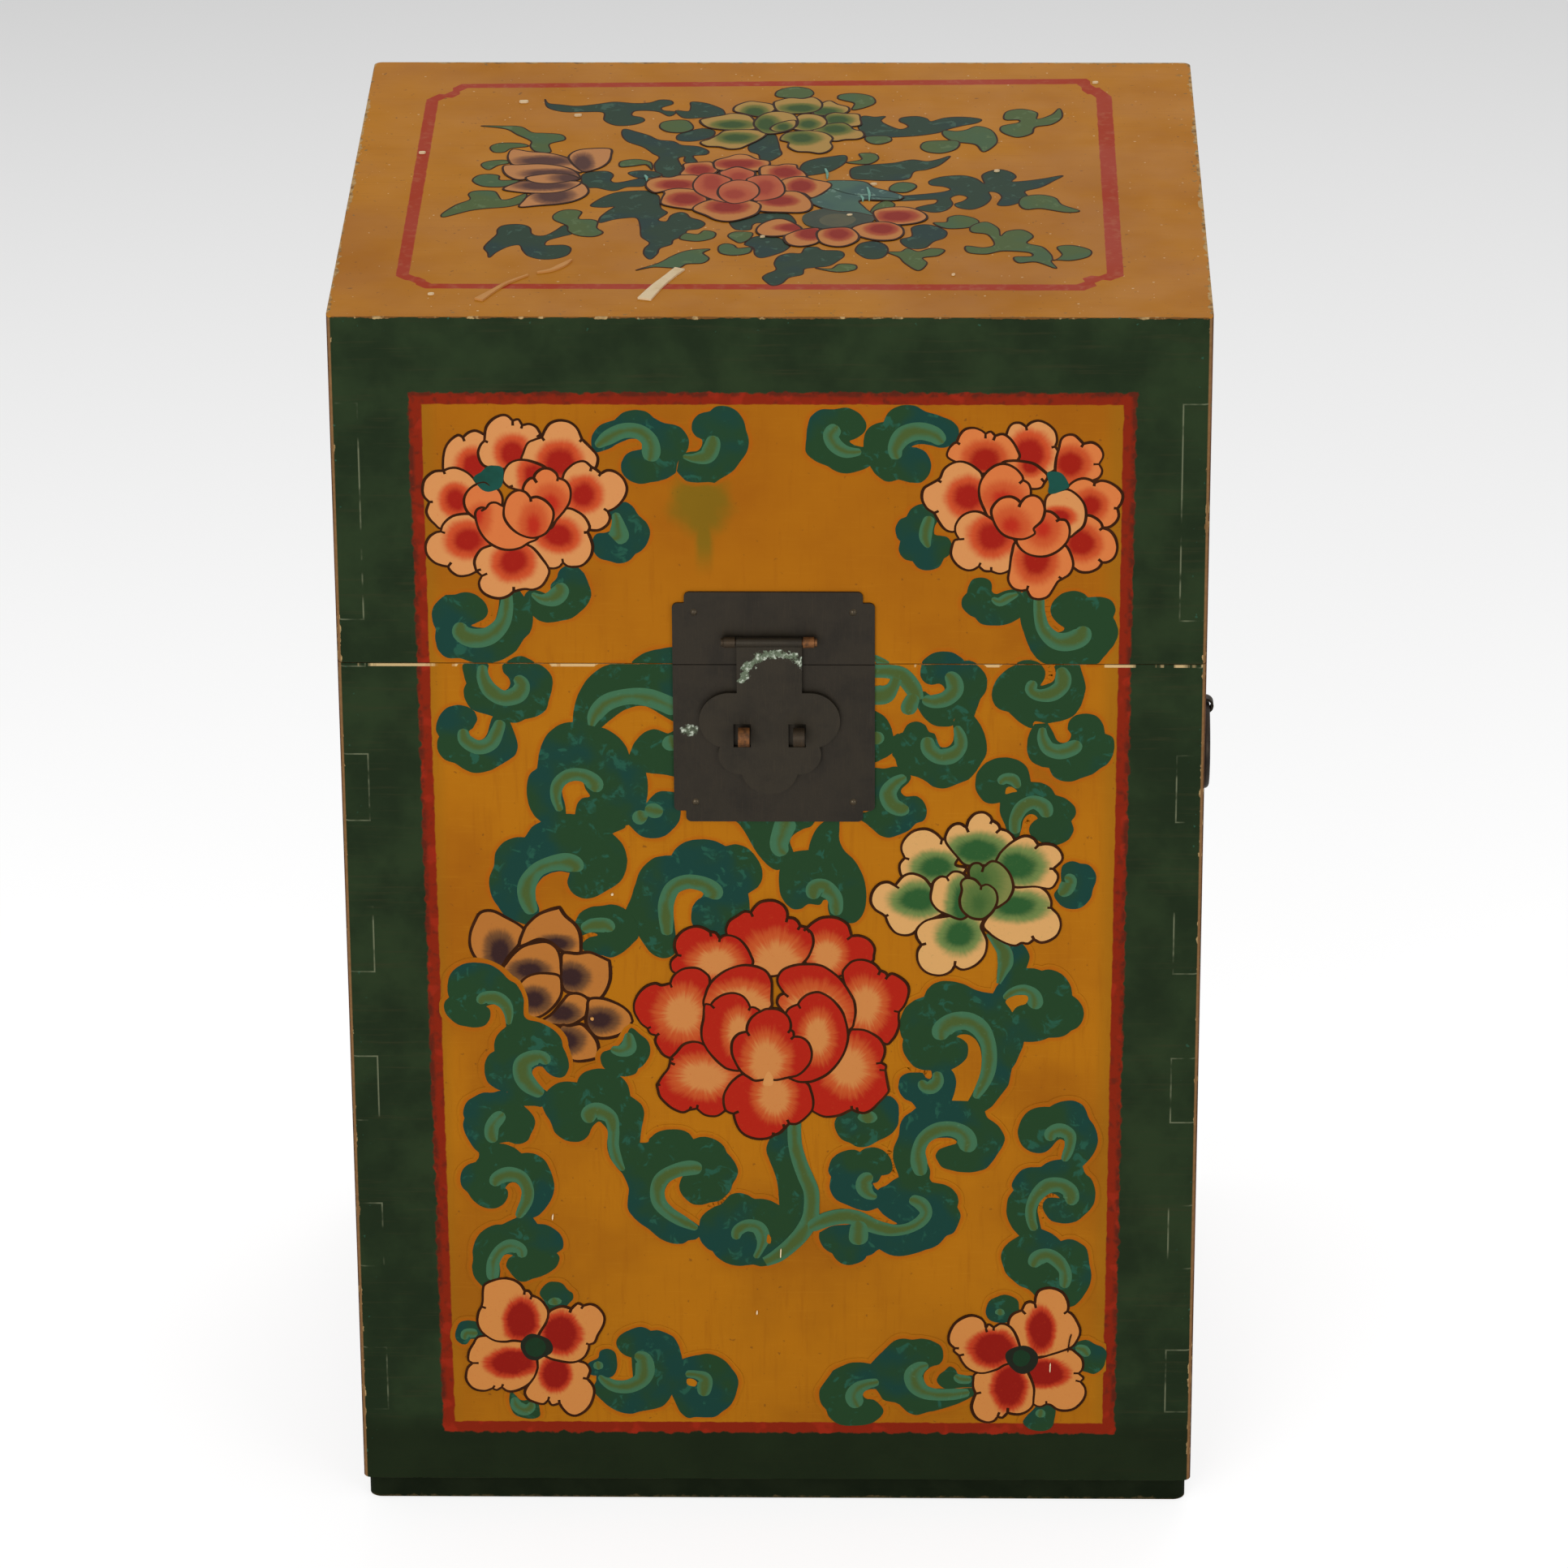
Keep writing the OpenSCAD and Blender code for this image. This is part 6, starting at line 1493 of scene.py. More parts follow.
        ([(83.4, 74.8), (86, 73.4), (87.4, 70.6), (90.6, 69.8), (96, 69.4), (96, 64), (92, 63.4), (86.8, 63),
        (82, 62.4), (78.6, 64.4), (77.2, 67.4), (78.8, 70.6), (80.8, 72.2)], [[(86, 70.2, 3), (88.4, 68, 5),
        (94, 67.4, 4)]]),
        ([(-112.8, 113.8), (-110.8, 118), (-108, 120.2), (-104, 120.2), (-101.4, 119), (-99.4, 116),
        (-97, 114), (-97, 110.8), (-99.4, 108), (-103, 103), (-109, 103), (-110.4, 109)], [[(-106, 111.8, 6),
        (-105.4, 107.6, 8.6)]]),
        ([(-151.8, 97.4), (-148.8, 99), (-144, 98.6), (-139, 96), (-139, 90), (-143.2, 89), (-146.6, 88.8),
        (-148, 86.4), (-150.6, 86), (-153.4, 88.6), (-153.8, 92)], [[(-149.6, 88.6, 3), (-148.4, 92, 5),
        (-143, 92, 5)]]),
        ([(-127.4, 60), (-128.6, 56), (-128, 51.4), (-126, 47.4), (-122, 45.6), (-117.4, 45), (-114, 46.6),
        (-114, 50), (-115, 56), (-118, 57), (-120, 55.4), (-123.4, 55.6)], [[(-126.2, 57, 3), (-125, 52.4, 6),
        (-121.4, 50, 6.4), (-118.4, 51.6, 5), (-118, 54.4, 3)]]),
        ([(-84.4, 82.6), (-80.6, 83.8), (-77.4, 82), (-76.4, 78), (-76.4, 73.4), (-78, 69.4), (-80.8, 68),
        (-84, 69.4), (-87.4, 69), (-91, 71), (-90, 76), (-85.4, 78.8)], [[(-85.4, 77, 4.6),
        (-85.4, 72.4, 5.6)]]),
        ([(103.4, 99.8), (100.6, 103.4), (101, 108), (102.8, 111.4), (106, 113), (109.4, 114.2), (113.4, 113),
        (115.8, 110.8), (116.4, 106.8), (116, 102), (110, 99)], [[(107.6, 106.6, 3.6), (107, 103, 6)]]),
        ([(141, 84), (142.6, 87.4), (145.4, 89), (149.4, 89.6), (152.8, 87.4), (156.8, 85.6), (158.6, 82.6),
        (158, 78), (156.6, 74), (152.8, 71), (149.4, 72), (145, 74)], [[(143.6, 85.6, 3), (147.4, 84.2, 5.4),
        (149.8, 80.8, 4)]]),
        ([(118.8, 44.6), (120.8, 48), (123.4, 50.8), (127, 55), (132, 54), (134.4, 51.4), (134, 46),
        (132.6, 41.4), (128.6, 39.4), (123.4, 40), (120, 42)], [[(128, 51.4, 5), (126.4, 47, 5.6)]]), ])
    for hole in ([(108.8, 270.8), (110, 272.6), (112.8, 274), (116, 274.4), (118.8, 274), (119.4, 272.2),
        (118.2, 269.8), (116, 269.2), (113.6, 267.8), (112, 265.4, C), (110.6, 267.8)], [(-42.8, 67.4),
        (-40, 67.4), (-38, 65.6), (-39, 63.4), (-42.6, 64.4)], [(-3.4, 146.6), (-2, 144.6), (-2.4, 141.6),
        (-4, 142.4)], [(83.4, 235, C), (86.8, 237), (90.2, 240.4), (91.4, 244.4), (91, 248.4), (88.8, 251),
        (86, 252.4, C), (88, 253.6), (91.4, 253.4), (94.6, 251.2), (96.6, 247.6), (97.6, 243), (97.6, 237.6),
        (97, 233), (95.4, 227.6), (93.4, 222.4), (91.4, 218.4, C), (88, 218.6), (83.8, 218.6, C),
        (85.2, 223.6), (85.8, 229), (84.8, 233)], ):
        p.fill(hole, "ground")
    p.stroke([(9.4, 208, 6.4), (9.6, 196, 6.6), (11.4, 187, 7), (14.4, 178, 7.4), (17.2, 170, 7.4),
        (17.4, 162, 7.4), (16.6, 155, 8), (13, 147.6, 8), (7.6, 141, 7.6), (1, 135, 7), (-5, 131.6, 5)],
        "crescent", taper=False)
    p.stroke([(16, 150, 6), (21, 153, 7.4), (27, 155.4, 8), (34, 156.4, 8), (40, 155, 8), (46, 151.6, 7.6),
        (52, 149.6, 7), (58, 149, 6), (64, 150.4, 5.6), (69.4, 154, 6), (71.8, 158.6, 6), (69.4, 163.4, 7),
        (64, 166.2, 5)], "crescent", taper=False, rounded=True)
    p.stroke([(39.8, 154, 7), (39.8, 148.4, 9), (39.6, 143.6, 9), (39.6, 141, 7)], "crescent", taper=False,
        rounded=True)
    p.stroke([(100.4, 306.6, 2.4), (104.2, 302.4, 5), (107.8, 297.4, 7), (108.6, 291.6, 7.4),
        (107.2, 286.4, 5), (105.4, 280.4, 2)], "crescent", taper=False)
    p.finish("trunk")


# Big red peony

def big_red_peony():
    p = Painting("big_red_peony", depth=0.55)
    for outline, core in (
        ([(-22, 307), (-21.4, 310.6), (-20, 313), (-16.6, 315.4), (-13.4, 317.6), (-10.4, 317.2, C),
         (-8.6, 320), (-6, 322.4), (-2, 323.4), (1.4, 323), (4.8, 320.8), (6.6, 317.4), (6.6, 314.4, C),
         (9.4, 314.2), (11.4, 312.6), (12.6, 310.2, C), (15.6, 309.4, C), (18, 306.4), (18.8, 302),
         (17.8, 297.4), (16, 293.6), (13.6, 290.6), (6, 286), (-2, 284), (-10, 288), (-18, 296)],
         (1, 290, 13, 15)),
        ([(15.6, 309, C), (18.6, 312), (22.6, 314.4), (27.4, 314.8), (31.4, 313.6), (34.8, 311), (36, 307.6),
         (36.6, 305, C), (40, 305.2), (43.4, 304), (46, 301.6), (47.4, 298.4), (47, 295), (46.4, 292),
         (38, 288), (30, 284), (20, 286), (13.6, 290.6, C), (16, 293.6), (17.8, 297.6), (18.8, 302),
         (18, 306.4)], (25, 295, 8, 10)),
        ([(32.4, 286), (34, 289), (36.8, 291.8), (40.6, 292.8), (44.6, 292), (48, 289.8), (50, 287, C),
         (52.6, 285.8), (53.4, 284, C), (55.4, 285.4), (58.6, 284), (62, 281), (63.4, 277.6), (63, 273.6),
         (61.4, 269), (58.8, 265.4, C), (58.6, 262.4), (58.8, 258.4), (57.4, 253.6), (55.4, 250.4),
         (53, 248.4), (46, 252), (36, 256), (37.6, 262), (38, 270), (36, 275), (33.4, 280)],
         (43, 269, 9, 13)),
        ([(36, 255.6), (38.6, 256.2), (42.6, 255.8), (46.6, 253.8), (50, 251), (52, 247), (52, 243),
         (50.4, 238.6, C), (52.6, 237), (52.4, 234.6, C), (53, 230.4), (53.8, 225.6), (54, 223.6),
         (52, 220.6), (49.4, 217.6), (46, 213.8), (42.6, 212), (39.4, 212.4, C), (36.6, 213.8, C),
         (34, 212.4), (31.4, 211), (27.4, 210), (23.4, 210), (20, 211.6), (17.6, 213.8), (17, 222), (15, 229),
         (22, 236), (32, 246)], (35, 236, 11, 13)),
        ([(-46.8, 286), (-48.2, 289), (-47.8, 292), (-45, 295, C), (-46.2, 299), (-45.6, 303), (-43.4, 306.4),
         (-40, 308.8), (-36, 309.8), (-32.6, 309), (-29.4, 307, C), (-26.8, 306.4), (-25, 303.4, C),
         (-23.2, 305), (-20, 305.2), (-16, 303.4), (-12.8, 299.6), (-10.6, 295), (-9.8, 290.2), (-16, 284),
         (-28, 280), (-38, 283)], (-27, 291, 11, 9)),
        ([(-30, 283), (-32, 285.8), (-34.8, 287.8), (-38, 288.4), (-42, 287.8), (-45.2, 285.8), (-47.4, 283),
         (-48.4, 280, C), (-52.6, 279), (-55.2, 280), (-58.8, 279), (-62, 276.4), (-64.4, 272.8),
         (-65.6, 269), (-65.4, 265), (-64, 261.8), (-62.2, 258.8), (-59.4, 256.4, C), (-58.2, 253.8),
         (-55.2, 252.6, C), (-55.8, 249.4), (-54.2, 245.6), (-52, 242.4), (-48.8, 240.8), (-44, 240),
         (-34, 244), (-31, 256), (-30, 272)], (-43, 264, 11, 13)),
        ([(-48.8, 240.8, C), (-49, 238.4, C), (-50, 235), (-52.8, 231), (-55.4, 226.4, C), (-54.8, 223.4),
         (-54, 220.4), (-51.4, 217), (-48, 214), (-43.4, 212), (-40, 213.4, C), (-36.6, 214, C), (-33.4, 211),
         (-30, 210), (-26.6, 210.4), (-22.6, 213.8), (-18, 220), (-14, 232), (-22, 238), (-32, 247),
         (-35, 249), (-38.8, 249.4), (-42.8, 247.8), (-46, 243.8)], (-33, 231, 14, 10)),
        ([(-14.8, 232.4), (-18.8, 229.6), (-21.4, 226.4), (-23.6, 221.8), (-24, 217.6), (-23.2, 213.6),
         (-21.4, 212), (-19.2, 211.4, C), (-19, 209.6), (-18, 205.8), (-16, 202), (-12.8, 199.4), (-8.6, 198),
         (-4.8, 198), (-2, 198.8), (-0.6, 199.8, C), (2.6, 201.4), (4.8, 203.8, C), (7, 206.2, C), (10, 206),
         (12.6, 207.4), (16, 210.8), (18, 214), (18.4, 218.4), (17.4, 223.4), (15.6, 227.6), (8, 232),
         (-6, 233)], (0, 221, 9, 12)),
        ([(3.4, 267), (1.6, 270.2), (2.6, 273.6), (5, 275, C), (3.4, 277.6), (2, 280.4), (2, 283.6), (4, 287),
         (7.4, 289), (12, 290.2), (17.4, 290.4), (20, 290.2), (23.4, 289.2), (27.4, 286.4), (30.6, 283.4),
         (33.4, 279.6), (36, 275), (37.8, 271), (38.4, 265.6), (37.8, 261), (36.2, 256.6), (26, 252),
         (12, 258)], (18, 263, 17, 15)),
        ([(6, 265.4), (8, 267.8), (11.4, 269.4, C), (12.8, 271.8), (16, 274.6), (20, 275.8), (22.8, 275.2),
         (26.8, 272.6), (30, 269), (32.4, 265), (33.8, 260.4), (34.8, 255), (34.8, 251), (33.6, 245.6),
         (31.6, 241), (28.6, 236.4), (24.8, 232.4), (20, 229.6), (16, 228.4), (10, 229), (4, 234), (2, 250)],
         (20.5, 252, 7.5, 12)),
        ([(-1.2, 268), (-1, 271.8), (-0.8, 277.8), (-1, 281.6), (-2.8, 285.8), (-5.4, 288), (-9.4, 289.4),
         (-14, 289.8), (-18.8, 288.6), (-23.2, 286.4), (-27.4, 283), (-30, 279.6), (-31.8, 275),
         (-32.8, 268.4), (-28, 262), (-12, 260)], (-15, 268, 17, 11)),
        ([(-32.4, 269), (-29.6, 269, C), (-27.4, 271.8), (-23.4, 274.4), (-18.8, 275.2), (-14.8, 273.8),
         (-12.4, 271), (-11, 267.8, C), (-8.8, 267.6), (-6, 265), (-4, 256), (-8, 240), (-15, 234.6),
         (-21.4, 235), (-25.4, 237.8), (-29.4, 242.4), (-32, 246.4), (-33.8, 251), (-34, 256.4), (-33, 262)],
         (-16.5, 255, 7, 11)),
        ([(-6.4, 265.4), (-4.4, 266.6), (-2, 267), (1.4, 266.8), (4.8, 265), (7, 262.4), (8, 259),
         (7.8, 256, C), (9.2, 254.8), (9.4, 252.4, C), (12.8, 252), (15.8, 249.8), (17.4, 246.2),
         (17.8, 242.4), (16.8, 238.4), (14, 234.4), (10.8, 231.8), (6.8, 230.8), (1, 229.4), (-3, 229.8),
         (-8.8, 229), (-11.4, 230.4), (-14.8, 233), (-16.8, 235.8), (-19.4, 241.8), (-20, 245.8),
         (-19.4, 250.2), (-16.8, 253.6), (-12.8, 255, C), (-12.4, 258.4), (-10.8, 261.8), (-8, 264.6)],
         (-3.5, 239, 10, 14))):
        p.petal(outline, "red", core)
    p.fill([(-4.6, 230.4), (-5, 226.6), (-1, 226.6), (-0.6, 230.4), (-2.6, 234)], "peach_tip")
    p.finish("trunk")


# Four-petalled flowers of the lower corners

def lower_left_flower():
    p = Painting("lower_left_flower", depth=0.55)
    for outline, core in (
        ([(-142, 90.4), (-145.4, 86), (-147.4, 82), (-147.8, 77.4), (-145.6, 75.8, C), (-148, 73.4),
         (-149, 70), (-149, 66.6), (-147, 63), (-144, 61), (-140, 60.6), (-136.4, 62, C), (-134.6, 61),
         (-132, 62.6, C), (-130, 60.8), (-127.4, 60.2), (-123.4, 61.4), (-119.4, 64), (-116.4, 68),
         (-114.8, 72.6), (-113.6, 77.4), (-116, 86), (-128, 90)], (-127, 76, 12, 7.5)),
        ([(-120, 62.6), (-121, 59.4), (-119.4, 56), (-115.4, 54), (-112, 53.4), (-109.8, 55.6, C),
         (-108, 52.8), (-104.4, 53.8, C), (-102.8, 50.8), (-100, 47.8), (-96.6, 47), (-92.8, 49),
         (-89.8, 52.6), (-88, 57.4), (-87.6, 61.4), (-88.6, 64.4), (-90.8, 67.4, C), (-89.8, 70),
         (-89.4, 72.6), (-91.4, 75.8), (-95, 77), (-106, 80), (-114, 80), (-114.6, 73), (-116.4, 68)],
         (-106, 70, 7, 9.5)),
        ([(-108.8, 103.4), (-106, 105.8), (-102, 107), (-97.8, 105.8, C), (-94.8, 108.6), (-92, 107.4, C),
         (-88.6, 108.2), (-85.4, 106.8), (-82.8, 103.4), (-82, 100), (-83, 96), (-85.4, 91.4), (-87, 87.4),
         (-89.6, 86.2, C), (-90, 83.4), (-92, 79.4), (-95.4, 77), (-99.4, 76.4), (-104.8, 77.4), (-109.4, 79),
         (-115, 84), (-113, 93), (-110, 98)], (-103, 92.5, 9.5, 11)),
        ([(-140.2, 110), (-140, 115), (-139, 118.8), (-134, 121.4), (-129.4, 122.2), (-125.4, 121.4),
         (-122, 119), (-120, 115.4, C), (-118, 115.2), (-116.6, 112.8, C), (-113.4, 111.4), (-110.8, 108.6),
         (-109, 104.8), (-109.2, 100.8), (-110.8, 96.8), (-113.2, 92.6), (-116, 87), (-121, 87.6),
         (-125.8, 88.2), (-130, 87.6), (-134.8, 88.2), (-138.8, 90.8), (-141.6, 94), (-143, 98.6),
         (-142.4, 103.4), (-140.8, 106.8, C)], (-122, 99.5, 8, 12))):
        p.petal(outline, "blossom", core)
    p.fill([(-122.4, 86.6), (-120.6, 90), (-117.4, 92), (-112.8, 91), (-108.8, 88.8), (-107, 84.6),
        (-108, 81.4), (-112, 79), (-115.4, 77.4), (-119.4, 78.6), (-122, 82.6)], "eye_ring")
    p.fill([(-120.4, 85), (-118.6, 88.6), (-115, 90), (-111.6, 88.2), (-110.4, 84.6), (-112, 81),
        (-115.4, 79.4), (-119, 81)], "eye")
    p.finish("trunk")


def lower_right_flower():
    p = Painting("lower_right_flower", depth=0.55)
    for outline, core in (
        ([(111.4, 97.4), (112, 101.4), (114, 104), (117.8, 105.8, C), (119.4, 109.4), (122, 110.4),
         (124, 109.4, C), (124.4, 113.4), (126, 116.6), (130, 118), (134, 117.4), (137.4, 115.2),
         (139.4, 111.4), (140, 108), (139.6, 105.4, C), (142, 103.4), (144, 100), (145.6, 96), (145.6, 92.6),
         (144, 88.8), (142, 86), (136.8, 83.4), (131.4, 81), (126.6, 80.4), (118, 78), (113, 86)],
         (127, 95, 6.5, 12)),
        ([(140.8, 84.6), (144, 82.6), (146.8, 79.4), (147.4, 75.4), (146.6, 72.8), (145.2, 71.4, C),
         (147.6, 68.8), (146.2, 66.8, C), (148.4, 63.4), (148.6, 59.4), (146.8, 55.4), (143.4, 52),
         (139.4, 50.8), (135.4, 51.4), (132, 54), (130, 54.4, C), (127.4, 53), (124.8, 53.6), (122.6, 56),
         (121, 66), (118, 78), (127, 80), (134, 82.4)], (129, 71.5, 11, 7.5)),
        ([(95.8, 71), (94.8, 67.4), (94.8, 63.4), (96, 60, C), (94.8, 56.8), (94, 52.8), (95, 48.8),
         (97.4, 45.8), (101.4, 44.2), (104.8, 45), (106.6, 47.4, C), (108.8, 46.8), (111.4, 49.6, C),
         (114, 48.8), (117.4, 48.8), (120.8, 50.4), (123.4, 53.6), (123.8, 57.4), (124, 62.6), (123, 66.8),
         (121.4, 71), (118, 79), (108, 76)], (112, 64, 8, 13)),
        ([(110, 76), (106, 73.4), (100, 71.4), (96, 71.8), (92, 74), (89.4, 77.4), (87.8, 81, C),
         (85.4, 83.4), (85.8, 85, C), (83.4, 87.4), (82.8, 90.8), (83.8, 94.8), (86, 98.6), (89.4, 101.4),
         (93.4, 102.8), (97.4, 101.8), (99.8, 99.4), (100.6, 95.8, C), (102, 98), (104.4, 96.4, C),
         (107.4, 98.4), (110.8, 97.8), (113.4, 95.4), (115.4, 91.4), (116.8, 86.6), (118, 79)],
         (104, 84.5, 11, 9.5))):
        p.petal(outline, "blossom", core)
    p.fill([(110, 80.8), (111.6, 84), (115.4, 86), (120, 86.4), (123.4, 84.6), (125.6, 81.4), (125.6, 77.4),
        (123.4, 73.4), (119.4, 71), (115.4, 72), (112, 75.4)], "eye_ring")
    p.fill([(113.6, 79.4), (114.6, 82.8), (117.6, 84.2), (121, 82.6), (122, 79.4), (120.4, 76.2), (117.4, 75),
        (114.6, 76.4)], "eye")
    p.finish("trunk")



# Ornament of the lid's top

def sprig(p, outline, paint):
    """A leaf of the top: its paint and a thin ink outline."""
    p.fill(outline, paint, step=1.2)
    p.stroke(outline, "ink", width=0.8, closed=True, step=1.2)


